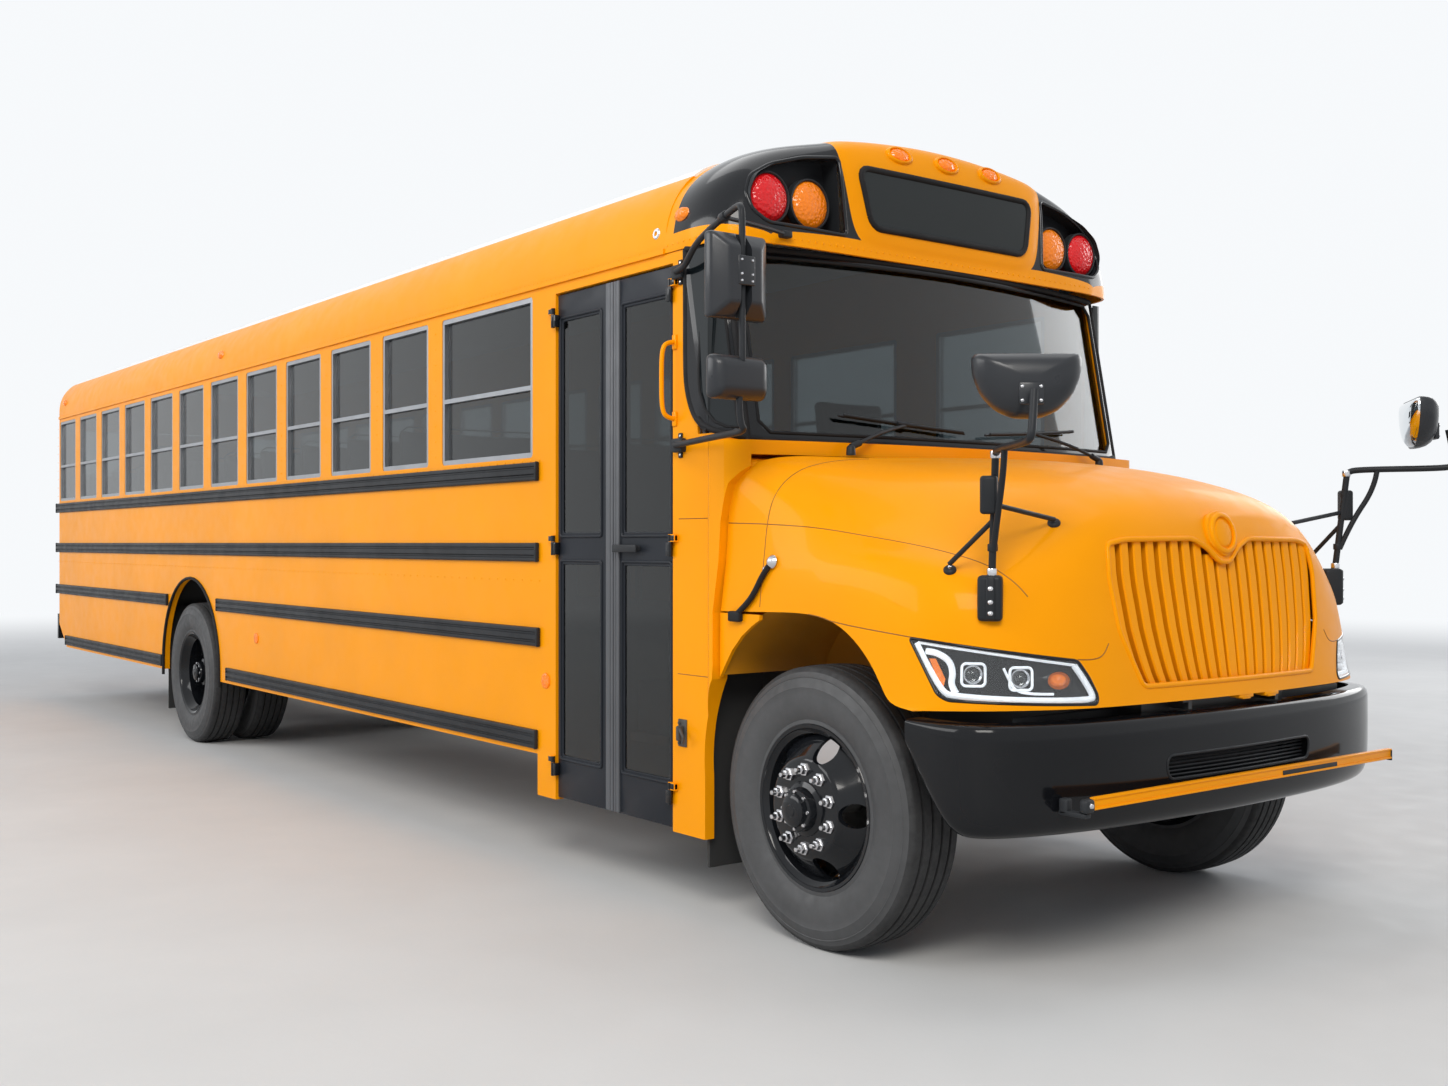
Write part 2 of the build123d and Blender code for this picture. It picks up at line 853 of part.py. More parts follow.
with BuildPart() as rear_door:
    block(
        (rear_x, rear_x + door_thickness),
        (-rear_door_half + panel_gap, rear_door_half - panel_gap),
        (rear_door_bottom_z + panel_gap, rear_door_top_z - panel_gap),
    )
    block(
        (rear_x, rear_x + door_thickness),
        (-door_glass_y, door_glass_y),
        door_glass_z,
        mode=Mode.SUBTRACT,
    )
    block(
        (rear_x + 12, rear_x + 12 + glass),
        (-door_glass_y + seat_gap, door_glass_y - seat_gap),
        (door_glass_z[0] + seat_gap, door_glass_z[1] - seat_gap),
    )
    for low_z, high_z in rear_hinge_rows:
        leaf_range = (low_z, high_z - 20 - seat_gap)
        rod((rear_hinge_x, rear_hinge_y, low_z), (rear_hinge_x, rear_hinge_y, leaf_range[1]), 10)
        block((rear_x - 17, rear_x - 7), (rear_hinge_y, -rear_door_half + 30), leaf_range)
        block((rear_x - 17, rear_x), (-rear_door_half + 10, -rear_door_half + 30), leaf_range)
finish(rear_door, "rear_door")


# Stop arm, a blank eight-sided plate that folds against the left wall
stop_plate = 450

with BuildPart() as stop_arm:
    with BuildSketch(Plane.XZ.offset(-stop_arm_y - 6)) as octagon:
        with Locations((stop_arm_x - stop_plate / 2 - 24, stop_arm_z)):
            RegularPolygon(stop_plate / 2, 8, major_radius=False, rotation=22.5)
    extrude(octagon.sketch, amount=12)
    block(
        (stop_arm_x - 40, stop_arm_x),
        (stop_arm_y - 6, stop_arm_y + 6),
        (stop_arm_z - 60, stop_arm_z + 60),
    )
    rod((stop_arm_x, stop_arm_y, stop_arm_z - 60), (stop_arm_x, stop_arm_y, stop_arm_z + 60), 11)
finish(stop_arm, "stop_arm")


# Bumpers, and the bracket of the crossing arm
bumper_top_z = 895
bumper_bottom_z = 520
bumper_wall = 60
crossing_x = station(1057)
crossing_pivot_y = -885
crossing_z = 648
rear_bumper_z = (560, 800)
bumper_bevel = 22
intake_half = 425
intake_z = (682, 750)


def bumper_outline(inset):
    """The plan of the wrap-round front bumper, drawn in by an inset."""
    with BuildSketch(Plane.XY.offset(bumper_bottom_z)) as plan:
        with BuildLine():
            ThreePointArc(
                (station(940) - inset, -930),
                (station(1025) - inset, 0),
                (station(940) - inset, 930),
            )
            ThreePointArc(
                (station(940) - inset, 930),
                (station(865) - 0.8 * inset, 1125 - 0.7 * inset),
                (station(720), 1205 - inset),
            )
            Polyline(
                (station(720), 1205 - inset),
                (station(530), 1212 - inset),
                (station(530), -1212 + inset),
                (station(720), -1205 + inset),
            )
            ThreePointArc(
                (station(720), -1205 + inset),
                (station(865) - 0.8 * inset, -1125 + 0.7 * inset),
                (station(940) - inset, -930),
            )
        make_face()
    return plan.sketch


with BuildPart() as bumpers:
    bevel_z = bumper_top_z - bumper_bevel
    extrude(bumper_outline(0), amount=bevel_z - bumper_bottom_z)
    raised_outline = bumper_outline(0).moved(Location((0, 0, bevel_z - bumper_bottom_z)))
    extrude(raised_outline, amount=bumper_bevel, taper=45)
    extrude(
        bumper_outline(bumper_wall),
        amount=bumper_top_z - bumper_bottom_z,
        mode=Mode.SUBTRACT,
    )
    side_plate(
        [
            (station(520), bumper_bottom_z - 10),
            (station(730), bumper_bottom_z - 10),
            (station(690), bumper_bottom_z + 10),
            (station(545), 830),
            (station(520), 830),
        ],
        (-skin_y - 50, skin_y + 50),
        mode=Mode.SUBTRACT,
    )
    block(
        (station(900), station(1100)),
        (-intake_half, intake_half),
        intake_z,
        mode=Mode.SUBTRACT,
    )
    for side in (-1, 1):
        block((station(900.3), station(960)), (side * 355, side * 430), (700, 880))
    block(
        (station(985), crossing_x + 11),
        (crossing_pivot_y - 40, crossing_pivot_y + 11),
        (crossing_z - 50, crossing_z - 20 - seat_gap),
    )
    block(
        (station(930), station(1000)),
        (crossing_pivot_y - 40, crossing_pivot_y + 11),
        (crossing_z - 50, crossing_z - 20 - seat_gap),
    )
    block(
        (station(-rear_reach), rear_x - seat_gap),
        (-skin_y + 10, skin_y - 10),
        rear_bumper_z,
    )
    block(
        (station(-rear_reach) + 8, rear_x),
        (-skin_y + 10, skin_y - 10),
        (rear_bumper_z[0] + 8, rear_bumper_z[1] - 8),
        mode=Mode.SUBTRACT,
    )
finish(bumpers, "bumpers")


# Crossing arm, a long bar in front of the bumper that swings forward
crossing_length = 1890

with BuildPart() as crossing_arm:
    rod(
        (crossing_x, crossing_pivot_y, crossing_z - 20),
        (crossing_x, crossing_pivot_y, crossing_z + 20),
        20,
    )
    block(
        (crossing_x - 8, crossing_x + 23),
        (crossing_pivot_y + 10, crossing_pivot_y + crossing_length),
        (crossing_z - 17, crossing_z + 17),
    )
finish(crossing_arm, "crossing_arm")


# Chassis frame: two channel rails and their cross members
rail_y = 430
rail_flange = 75
rail_web = 10
frame_z = (690, 930)
frame_x = (station(-10830), station(900))
cross_members = (-10800, -9900, -8700, -7900, -6200, -4800, -3200, -1600, 620, 885)
hood_lug_y = 290
tow_hole_radius = 17
tow_hole_x = (station(800), station(-10700))
jack_pad_x = station(-2500)
jack_pad_z = 675

with BuildPart() as chassis_frame:
    for side in (-1, 1):
        block(frame_x, (side * (rail_y - rail_flange), side * rail_y), frame_z)
        block(
            frame_x,
            (side * (rail_y - rail_flange), side * (rail_y - rail_web)),
            (frame_z[0] + rail_web, frame_z[1] - rail_web),
            mode=Mode.SUBTRACT,
        )
    for side in (-1, 1):
        flange_y = side * (rail_y - (rail_flange + rail_web) / 2)
        for x in tow_hole_x:
            rod(
                (x, flange_y, frame_z[0] - rail_web),
                (x, flange_y, frame_z[0] + 2 * rail_web),
                tow_hole_radius,
                Mode.SUBTRACT,
            )
        block(
            (jack_pad_x - 75, jack_pad_x + 75),
            (side * (rail_y - rail_flange), side * rail_y),
            (jack_pad_z, frame_z[0]),
        )
    for distance in cross_members:
        block(
            (station(distance) - 30, station(distance) + 15),
            (-rail_y + rail_web, rail_y - rail_web),
            (frame_z[1] - 90, frame_z[1] - rail_web),
        )
    for side in (-1, 1):
        block(
            (station(870), hood_pivot_x + 10),
            (side * (hood_lug_y - 35), side * (hood_lug_y - 15)),
            (bumper_top_z + 5, hood_pivot_z + 10),
        )
        rod(
            (hood_pivot_x, side * (hood_lug_y - 20), hood_pivot_z),
            (hood_pivot_x, side * (hood_lug_y + 15), hood_pivot_z),
            10,
        )
finish(chassis_frame, "chassis_frame")


# Axles with their leaf springs
spring_width = 75


def leaf_spring(x, y, seat_z, end_z, half_length, thickness):
    """One leaf spring pack, an arc that rises from its seat to both ends."""
    with BuildPart() as spring:
        with BuildSketch(Plane.XZ.offset(-y)) as profile:
            with BuildLine():
                ThreePointArc(
                    (x - half_length, end_z - thickness / 2),
                    (x, seat_z),
                    (x + half_length, end_z - thickness / 2),
                )
                Polyline(
                    (x + half_length, end_z - thickness / 2),
                    (x + half_length, end_z),
                    (x - half_length, end_z),
                    (x - half_length, end_z - thickness / 2),
                )
            make_face()
            with BuildLine():
                ThreePointArc(
                    (x - half_length + 60, end_z),
                    (x, seat_z + thickness),
                    (x + half_length - 60, end_z),
                )
                Line((x + half_length - 60, end_z), (x - half_length + 60, end_z))
            make_face(mode=Mode.SUBTRACT)
        extrude(profile.sketch, amount=spring_width / 2, both=True)
    return spring.part


eye_z = (455, 560)
eye_radius = 45
beam_z = (380, 470)
hub_radius = 85
spindle_radius = 38
axle_tube = 65

with BuildPart() as front_axle:
    block((station(-45), station(45)), (-620, 620), beam_z)
    for side in (-1, 1):
        cross_plate(
            [
                (side * 600, beam_z[0]),
                (side * 780, eye_z[0]),
                (side * kingpin_y, eye_z[0]),
                (side * kingpin_y, eye_z[1]),
                (side * 780, eye_z[1]),
                (side * 600, beam_z[1]),
            ],
            (station(-35), station(35)),
        )
        rod(
            (station(0), side * kingpin_y, eye_z[0]),
            (station(0), side * kingpin_y, eye_z[1]),
            eye_radius,
        )
        add(leaf_spring(station(0), side * 395, beam_z[1], frame_z[0] - seat_gap, 650, 60))
    for side in (-1, 1):
        rod(
            (station(0), side * kingpin_y, eye_z[0] - 10),
            (station(0), side * kingpin_y, eye_z[1] + 10),
            18 + pin_gap,
            mode=Mode.SUBTRACT,
        )
finish(front_axle, "front_axle")

with BuildPart() as rear_axle:
    rod((rear_axle_x, -820, tyre_radius), (rear_axle_x, 820, tyre_radius), axle_tube)
    with Locations((rear_axle_x, 0, tyre_radius)):
        Sphere(200)
    rod(
        (rear_axle_x + 120, 0, tyre_radius + 20),
        (rear_axle_x + 330, 0, tyre_radius + 20),
        90,
    )
    for side in (-1, 1):
        add(leaf_spring(rear_axle_x, side * 395, tyre_radius + 60, frame_z[0] - seat_gap, 750, 70))
finish(rear_axle, "rear_axle")


# Knuckles, which swivel on the axle's kingpins and carry the front hubs
arm_reach = 200
plate_y = 55

for name, side in (("knuckle_right", -1), ("knuckle_left", 1)):
    pin_y = side * kingpin_y
    with BuildPart() as knuckle:
        for low_z, high_z in ((eye_z[0] - 40, eye_z[0] - 5), (eye_z[1] + 5, eye_z[1] + 40)):
            rod((station(0), pin_y, low_z), (station(0), pin_y, high_z), 40)
            block(
                (station(-40), station(40)),
                (pin_y, pin_y + side * (plate_y + 20)),
                (low_z, high_z),
            )
        block(
            (station(-60), station(60)),
            (pin_y + side * plate_y, pin_y + side * (plate_y + 25)),
            (eye_z[0] - 40, eye_z[1] + 40),
        )
        rod((station(0), pin_y, eye_z[0] - 40), (station(0), pin_y, eye_z[1] + 40), 18)
        rod(
            (station(0), pin_y + side * (plate_y + 20), tyre_radius),
            (station(0), pin_y + side * 260, tyre_radius),
            spindle_radius,
        )
        block(
            (station(-arm_reach), station(-20)),
            (pin_y - 17, pin_y + 17),
            (eye_z[0] - 40, eye_z[0] - 15),
        )
        rod(
            (station(-arm_reach), pin_y, eye_z[0] - 15),
            (station(-arm_reach), pin_y, eye_z[0] - 40),
            20,
        )
        rod(
            (station(-arm_reach), pin_y, eye_z[0] - 40),
            (station(-arm_reach), pin_y, eye_z[0] - 90),
            8,
        )
    finish(knuckle, name)

with BuildPart() as tie_rod:
    rod(
        (station(-arm_reach), -kingpin_y, eye_z[0] - 65),
        (station(-arm_reach), kingpin_y, eye_z[0] - 65),
        15,
    )
    for side in (-1, 1):
        rod(
            (station(-arm_reach), side * kingpin_y, eye_z[0] - 82),
            (station(-arm_reach), side * kingpin_y, eye_z[0] - 40 - seat_gap),
            20,
        )
    for side in (-1, 1):
        rod(
            (station(-arm_reach), side * kingpin_y, eye_z[0] - 100),
            (station(-arm_reach), side * kingpin_y, eye_z[0] - 30),
            8 + pin_gap,
            mode=Mode.SUBTRACT,
        )
finish(tie_rod, "tie_rod")


# Wheels: each is turned about its axle from a section of axial place and radius
def turned(x, y, side, *sections):
    """A body turned about a wheel's axis from closed outlines of axial place and radius."""
    plane = Plane(origin=(x, y, tyre_radius), x_dir=(0, side, 0), z_dir=(side, 0, 0))
    with BuildPart() as body:
        with BuildSketch(plane) as profile:
            for section in sections:
                with BuildLine():
                    Polyline(*section, close=True)
                make_face()
        revolve(profile.sketch, axis=Axis((x, y, tyre_radius), (0, 1, 0)))
    return body.part


bead_half = 104
rim_well = 268
flange_radius = 301
tyre_half = tyre_width / 2
tyre_section = [
    (-bead_half + seat_gap, rim_radius + seat_gap),
    (bead_half - seat_gap, rim_radius + seat_gap),
    (bead_half - seat_gap, flange_radius),
    (tyre_half, 385),
    (tyre_half - 3, 455),
    (tyre_half - 28, tyre_radius - 8),
    (tyre_half - 45, tyre_radius),
    (-tyre_half + 45, tyre_radius),
    (-tyre_half + 28, tyre_radius - 8),
    (-tyre_half + 3, 455),
    (-tyre_half, 385),
    (-bead_half + seat_gap, flange_radius),
]
band_section = [
    (-bead_half - 12, rim_well),
    (bead_half + 12, rim_well),
    (bead_half + 12, flange_radius),
    (bead_half, flange_radius),
    (bead_half, rim_radius),
    (-bead_half, rim_radius),
    (-bead_half, flange_radius),
    (-bead_half - 12, flange_radius),
]
disc_place = 148
disc_section = [
    (80, rim_well + 2),
    (disc_place - 2, 170),
    (disc_place - 2, 60),
    (disc_place + 12, 60),
    (disc_place + 12, 178),
    (100, rim_well + 2),
]
hand_hole_radius = 41
hand_hole_ring = 221
hand_hole_count = 5


def hand_holes(x, y):
    """The round holes through a wheel's disc."""
    with BuildPart() as holes:
        with BuildSketch(Plane(origin=(x, y, tyre_radius), x_dir=(1, 0, 0), z_dir=(0, 1, 0))) as ring:
            with PolarLocations(hand_hole_ring, hand_hole_count):
                Circle(hand_hole_radius)
        extrude(ring.sketch, amount=tyre_width, both=True)
    return holes.part


drum_radius = 205

for name, side in (("front_wheel_right", -1), ("front_wheel_left", 1)):
    wheel_y = side * front_wheel_y
    hub_section = [
        (-front_wheel_y + kingpin_y + plate_y + 26, spindle_radius + pin_gap),
        (88, spindle_radius + pin_gap),
        (88, 0),
        (190, 0),
        (190, 62),
        (170, hub_radius),
        (30, hub_radius),
        (30, drum_radius),
        (-front_wheel_y + kingpin_y + plate_y + 26, drum_radius),
    ]
    with BuildPart() as front_wheel:
        add(turned(station(0), wheel_y, side, band_section, disc_section))
        add(hand_holes(station(0), wheel_y), mode=Mode.SUBTRACT)
        add(turned(station(0), wheel_y, side, hub_section))
    finish(front_wheel, name)

for name, side in (("front_tyre_right", -1), ("front_tyre_left", 1)):
    with BuildPart() as front_tyre:
        add(turned(station(0), side * front_wheel_y, side, tyre_section))
    finish(front_tyre, name)

for name, side in (("rear_wheels_right", -1), ("rear_wheels_left", 1)):
    mount_y = (rear_outer_y + rear_inner_y) / 2
    rear_hub_section = [
        (-90, axle_tube + pin_gap),
        (12, axle_tube + pin_gap),
        (12, 0),
        (160, 0),
        (160, 70),
        (140, 95),
        (-90, 95),
    ]
    with BuildPart() as rear_wheels:
        for wheel_y, way in ((rear_outer_y, -side), (rear_inner_y, side)):
            add(turned(rear_axle_x, side * wheel_y, way, band_section, disc_section))
        add(hand_holes(rear_axle_x, side * mount_y), mode=Mode.SUBTRACT)
        add(turned(rear_axle_x, side * mount_y, side, rear_hub_section))
    finish(rear_wheels, name)

for name, side in (("rear_tyres_right", -1), ("rear_tyres_left", 1)):
    with BuildPart() as rear_tyres:
        for wheel_y in (rear_outer_y, rear_inner_y):
            add(turned(rear_axle_x, side * wheel_y, side, tyre_section))
    finish(rear_tyres, name)


# Engine block, driveline, exhaust and fuel tank
engine_x = (station(-430), station(560))
engine_half = 340

with BuildPart() as engine:
    block(engine_x, (-engine_half, engine_half), (frame_z[0] + 20, 1470))
    for side in (-1, 1):
        block(
            (station(-100), station(100)),
            (side * (engine_half - 10), side * rail_y),
            (frame_z[1] + seat_gap, frame_z[1] + 50),
        )
finish(engine, "engine")

shaft_z = 760
shaft_joints = [(-1330, 760), (-3170, 730), (-5000, 700)]

with BuildPart() as driveline:
    rod((engine_x[0] - seat_gap, 0, shaft_z), (station(-1130), 0, shaft_z), 190)
    rod((station(-1130), 0, shaft_z), (station(-1330), 0, shaft_z), 80)
    ends = [(station(distance), 0, z) for distance, z in shaft_joints]
    ends.append((rear_axle_x + 336, 0, tyre_radius + 20))
    for start, end in zip(ends, ends[1:]):
        rod(start, end, 50)
    for x, _, z in ends[1:3]:
        with Locations((x, 0, z)):
            Cylinder(85, 60, rotation=(0, 90, 0))
        block((x - 30, x + 15), (-60, 60), (z + 60, frame_z[1] - 90 - seat_gap))
finish(driveline, "driveline")

exhaust_y = 640
exhaust_z = 780

with BuildPart() as exhaust:
    rod((station(-1900), exhaust_y, exhaust_z), (station(-5700), exhaust_y, exhaust_z), 55)
    rod((station(-2400), exhaust_y, exhaust_z), (station(-3500), exhaust_y, exhaust_z), 135)
    with Locations((station(-5700), exhaust_y, exhaust_z)):
        Sphere(55)
    rod((station(-5700), exhaust_y, exhaust_z), (station(-5700), inner_y - 40, exhaust_z), 55)
    with Locations((station(-1900), exhaust_y, exhaust_z)):
        Sphere(55)
    rod((station(-1900), exhaust_y, exhaust_z), (station(-1900), rail_y + seat_gap, exhaust_z), 55)
    for distance in (-2200, -3800, -5400):
        block(
            (station(distance) - 15, station(distance) + 15),
            (exhaust_y - 12, exhaust_y + 12),
            (exhaust_z + 40, floor_z - floor_thickness - seat_gap),
        )
finish(exhaust, "exhaust")

with BuildPart() as fuel_tank:
    block(
        (station(-9950), station(-8650)),
        (-rail_y + rail_flange + 8, rail_y - rail_flange - 8),
        (440, frame_z[1] - 90 - seat_gap),
    )
finish(fuel_tank, "fuel_tank")


# Dashboard with the steering column, and the steering wheel
driver_y = 600
column_foot = Vector(station(-830), driver_y, 1560)
column_head = Vector(station(-985), driver_y, 1800)
column_dir = (column_head - column_foot).normalized()

with BuildPart() as dashboard:
    side_plate(
        [
            (firewall_x[0] - seat_gap, 1400),
            (firewall_x[0] - seat_gap, deck_z[0] - seat_gap),
            (station(-760), deck_z[0] - seat_gap),
            (station(-860), 1720),
            (station(-860), 1500),
            (station(-740), 1400),
        ],
        (-430, inner_y - seat_gap),
    )
    rod(column_foot, column_head, 35)
finish(dashboard, "dashboard")

wheel_rim = 225
wheel_plane = Plane(origin=column_head + column_dir * 40, z_dir=column_dir)

with BuildPart() as steering_wheel:
    with Locations(wheel_plane):
        Torus(wheel_rim, 15)
    with Locations(Plane(origin=column_head + column_dir * seat_gap, z_dir=column_dir)):
        Cylinder(48, 60, align=(Align.CENTER, Align.CENTER, Align.MIN))
    with BuildSketch(wheel_plane) as spokes:
        with PolarLocations(0, 3):
            Rectangle(wheel_rim, 34, align=(Align.MIN, Align.CENTER))
    extrude(spokes.sketch, amount=6, both=True)
finish(steering_wheel, "steering_wheel")


# Seats: two rows of benches and the driver's seat
bench_pitch = window_pitch
bench_count = 11
bench_first_x = rear_x + wall + 100
bench_y = (160, inner_y - 4)
bench_seat_z = (1400, 1520)
bench_top_z = 2130
bench_depth = 480
back_thickness = 90

with BuildPart() as seats:
    for side in (-1, 1):
        for index in range(bench_count):
            back_x = bench_first_x + index * bench_pitch
            side_plate(
                [
                    (back_x, bench_seat_z[0]),
                    (back_x + bench_depth, bench_seat_z[0]),
                    (back_x + bench_depth, bench_seat_z[1]),
                    (back_x + back_thickness + 40, bench_seat_z[1] - 20),
                    (back_x + back_thickness - 40, bench_top_z),
                    (back_x - 40, bench_top_z),
                    (back_x, bench_seat_z[1]),
                ],
                (side * bench_y[0], side * bench_y[1]),
            )
            for leg_x in (back_x + 60, back_x + bench_depth - 80):
                block(
                    (leg_x - 20, leg_x + 20),
                    (side * (bench_y[0] + 60), side * (bench_y[0] + 100)),
                    (floor_z + seat_gap, bench_seat_z[0]),
                )
    seat_x = station(-1720)
    side_plate(
        [
            (seat_x, 1420),
            (seat_x + 480, 1420),
            (seat_x + 500, 1540),
            (seat_x + 120, 1530),
            (seat_x + 40, 2250),
            (seat_x - 60, 2250),
        ],
        (driver_y - 250, driver_y + 250),
    )
    block((seat_x + 80, seat_x + 400), (driver_y - 150, driver_y + 150), (floor_z + seat_gap, 1420))
finish(seats, "seats")


# Lamps: front and rear warning lamps, markers, tail lamps and side markers
lamp_face = 22
tail_rows = [(1010, 95, 1220), (780, 75, 1220), (1010, 75, 1010)]

with BuildPart() as lamps:
    for side in (-1, 1):
        for y in lamp_y:
            rod(
                (cap_front_x - pod_depth + seat_gap, side * y, lamp_z),
                (cap_front_x - lamp_face, side * y, lamp_z),
                lamp_radius,
            )
            rod(
                (rear_x - seat_gap, side * y, drip_z + 105),
                (rear_x - 34, side * y, drip_z + 105),
                lamp_radius,
            )
        for y, radius, z in tail_rows:
            rod((rear_x - seat_gap, side * y, z), (rear_x - 22, side * y, z), radius)
        for distance in (-5560, -1800):
            rod(
                (station(distance), side * (skin_y + seat_gap), 843),
                (station(distance), side * (skin_y + 10), 843),
                38,
            )
    for y in marker_y:
        rod((cap_front_x - 90 + seat_gap, y, marker_z), (cap_front_x + 4, y, marker_z), 30)
finish(lamps, "lamps")


# Mudflaps behind the wheels
with BuildPart() as mudflaps:
    for side in (-1, 1):
        block(
            (station(-625), station(-610)),
            (side * 880, side * (inner_y - seat_gap)),
            (190, floor_z - 40 - seat_gap),
        )
        block(
            (arch_center_x - arch_half - 36, arch_center_x - arch_half - 24),
            (side * 600, side * (inner_y - seat_gap)),
            (190, sill_bottom_z + 60),
        )
finish(mudflaps, "mudflaps")


# Rear-view mirrors on both front posts
mirror_y = 1400
# columns: side, distance of the mirror's rod ahead of the front axle
mirror_sides = [(-1, -90), (1, -850)]
mirror_rows = [((2250, 2610), 300), ((1960, 2170), 260)]
arm_rows = [(2560, 2660), (1870, 1845)]

with BuildPart() as side_mirrors:
    for side, rod_distance in mirror_sides:
        mirror_rod_x = station(rod_distance)
        rod(
            (mirror_rod_x, side * mirror_y, arm_rows[1][1]),
            (mirror_rod_x, side * mirror_y, arm_rows[0][1]),
            12,
        )
        for post_z, rod_z in arm_rows:
            rod(
                (station(-690), side * (skin_y + 22), post_z),
                (mirror_rod_x, side * mirror_y, rod_z),
                12,
            )
            block(
                (station(-740), station(-660)),
                (side * (skin_y + seat_gap), side * (skin_y + 24)),
                (post_z - 25, post_z + 25),
            )
        for (low_z, high_z), width in mirror_rows:
            block(
                (mirror_rod_x - 20, mirror_rod_x + 75),
                (side * (mirror_y - width / 2), side * (mirror_y + width / 2)),
                (low_z, high_z),
            )
finish(side_mirrors, "side_mirrors")


# Wipers, parked along the foot of the windshield
wiper_y = 719

with BuildPart() as wipers:
    for side in (-1, 1):
        pivot_x = station(-290)
        rod(
            (pivot_x, side * wiper_y, screen_bottom_z + seat_gap),
            (pivot_x, side * wiper_y, screen_bottom_z + 45),
            16,
        )
        rod(
            (pivot_x, side * wiper_y, screen_bottom_z + 35),
            (station(-255), side * wiper_y - 420, screen_bottom_z + 60),
            8,
        )
        rod(
            (station(-255), side * wiper_y - 420, screen_bottom_z + 60),
            (station(-255), side * wiper_y - 380, screen_bottom_z + 60),
            9,
        )
finish(wipers, "wipers")


# Hood with its fenders: a shell lofted through upright sections
# columns: distance ahead of the front axle, side y and z, shoulder y and z, crown z
hood_sections = [
    (-560, 1165, 1640, 985, 1790, 1822),
    (-100, 1175, 1500, 850, 1785, 1820),
    (350, 1190, 1330, 720, 1725, 1765),
    (750, 1190, 1210, 610, 1590, 1630),
    (1050, 1180, 1120, 560, 1360, 1400),
]
hood_floor_z = 560
nose_shear = -0.21


def hood_form(inset):
    """The outer form of the hood, drawn in by an inset."""
    with BuildPart() as form:
        for distance, side_y, side_z, shoulder_y, shoulder_z, crown_z in hood_sections:
            side = side_y - inset
            with BuildSketch(Plane.YZ.offset(station(distance))):
                with BuildLine():
                    Polyline(
                        (-shoulder_y, shoulder_z - inset),
                        (-side, side_z - inset),
                        (-side, hood_floor_z - inset),
                        (side, hood_floor_z - inset),
                        (side, side_z - inset),
                        (shoulder_y, shoulder_z - inset),
                    )
                    ThreePointArc(
                        (shoulder_y, shoulder_z - inset),
                        (0, crown_z - inset),
                        (-shoulder_y, shoulder_z - inset),
                    )
                make_face()
        loft()
    return form.part


def nose_outline(inset):
    """The plan of the hood's front at the lip, drawn in by an inset and open to the rear."""
    back_x = station(-700)
    with BuildSketch(Plane.XY.offset(hood_lip_z)) as plan:
        with BuildLine():
            ThreePointArc(
                (station(967) - inset, -722),
                (station(1005) - inset, 0),
                (station(967) - inset, 722),
            )
            ThreePointArc(
                (station(967) - inset, 722),
                (station(845) - inset * 0.75, 1020 - inset * 0.65),
                (station(610), 1215 - inset),
            )
            Polyline(
                (station(610), 1215 - inset),
                (back_x, 1215 - inset),
                (back_x, -1215 + inset),
                (station(610), -1215 + inset),
            )
            ThreePointArc(
                (station(610), -1215 + inset),
                (station(845) - inset * 0.75, -1020 + inset * 0.65),
                (station(967) - inset, -722),
            )
        make_face()
    return plan.sketch


def nose_form(inset):
    """The space behind the leaning front of the hood, drawn in by an inset."""
    rise = Vector(nose_shear, 0, 1) * 1000
    with BuildPart() as form:
        extrude(nose_outline(inset), amount=rise.length, dir=rise)
    return form.part


def trapezoid(rows, x_range):
    """A prism along the bus from the points of its outline in y and z."""
    with BuildPart() as prism:
        cross_plate(rows, x_range)
    return prism.part


seam_gap = 10
nose_range = (station(400), station(1200))
grille_half_top = 565
grille_half_bottom = 522
grille_z = (1005, 1470)
grille_recess = 45
slat_count = 20
slat_width = 24
headlamp_outline = [(722, 945), (810, 1070), (1190, 1150), (1190, 1000)]


def hood_envelope(inset):
    """The hood's outer form cut to its leaning front and its rear seam."""
    with BuildPart() as form:
        add(hood_form(inset))
        add(nose_form(inset), mode=Mode.INTERSECT)
    return form.part


hood_outer = hood_envelope(0)
hood_inner = hood_envelope(hood_thickness)
grille_outline = [
    (-grille_half_bottom, grille_z[0]),
    (grille_half_bottom, grille_z[0]),
    (grille_half_top, grille_z[1]),
    (-grille_half_top, grille_z[1]),
]

with BuildPart() as hood:
    add(hood_outer)
    add(hood_inner, mode=Mode.SUBTRACT)
    side_plate(
        [(x + seam_gap, z) for x, z in seam_points[:-1]]
        + [(station(-200), 1900), (station(1200), 1900), (station(1200), hood_lip_z)]
        + [(station(-492) + seam_gap, hood_lip_z)],
        (-skin_y - 30, skin_y + 30),
        mode=Mode.INTERSECT,
    )
    add(arch_cut, mode=Mode.SUBTRACT)
    extrude(
        screen_outline(-deck_ledge - seam_gap, door_front_x),
        amount=200,
        both=True,
        mode=Mode.SUBTRACT,
    )
    add(trapezoid(grille_outline, nose_range), mode=Mode.SUBTRACT)
    for side in (-1, 1):
        corners = [(side * y, z) for y, z in headlamp_outline]
        add(trapezoid(corners, nose_range), mode=Mode.SUBTRACT)
        block(
            (station(860), station(1100)),
            (side * (hood_lug_y - 41), side * (hood_lug_y - 12)),
            (hood_lip_z - 10, hood_pivot_z + 20),
            mode=Mode.SUBTRACT,
        )
        block(
            (hood_pivot_x - 14, hood_pivot_x + 14),
            (side * (hood_lug_y - 12), side * (hood_lug_y + 12)),
            (hood_pivot_z, hood_lip_z + 60),
        )
        rod(
            (hood_pivot_x, side * (hood_lug_y - 12), hood_pivot_z),
            (hood_pivot_x, side * (hood_lug_y + 12), hood_pivot_z),
            20,
        )
        rod(
            (hood_pivot_x, side * (hood_lug_y - 20), hood_pivot_z),
            (hood_pivot_x, side * (hood_lug_y + 20), hood_pivot_z),
            10 + pin_gap,
            mode=Mode.SUBTRACT,
        )
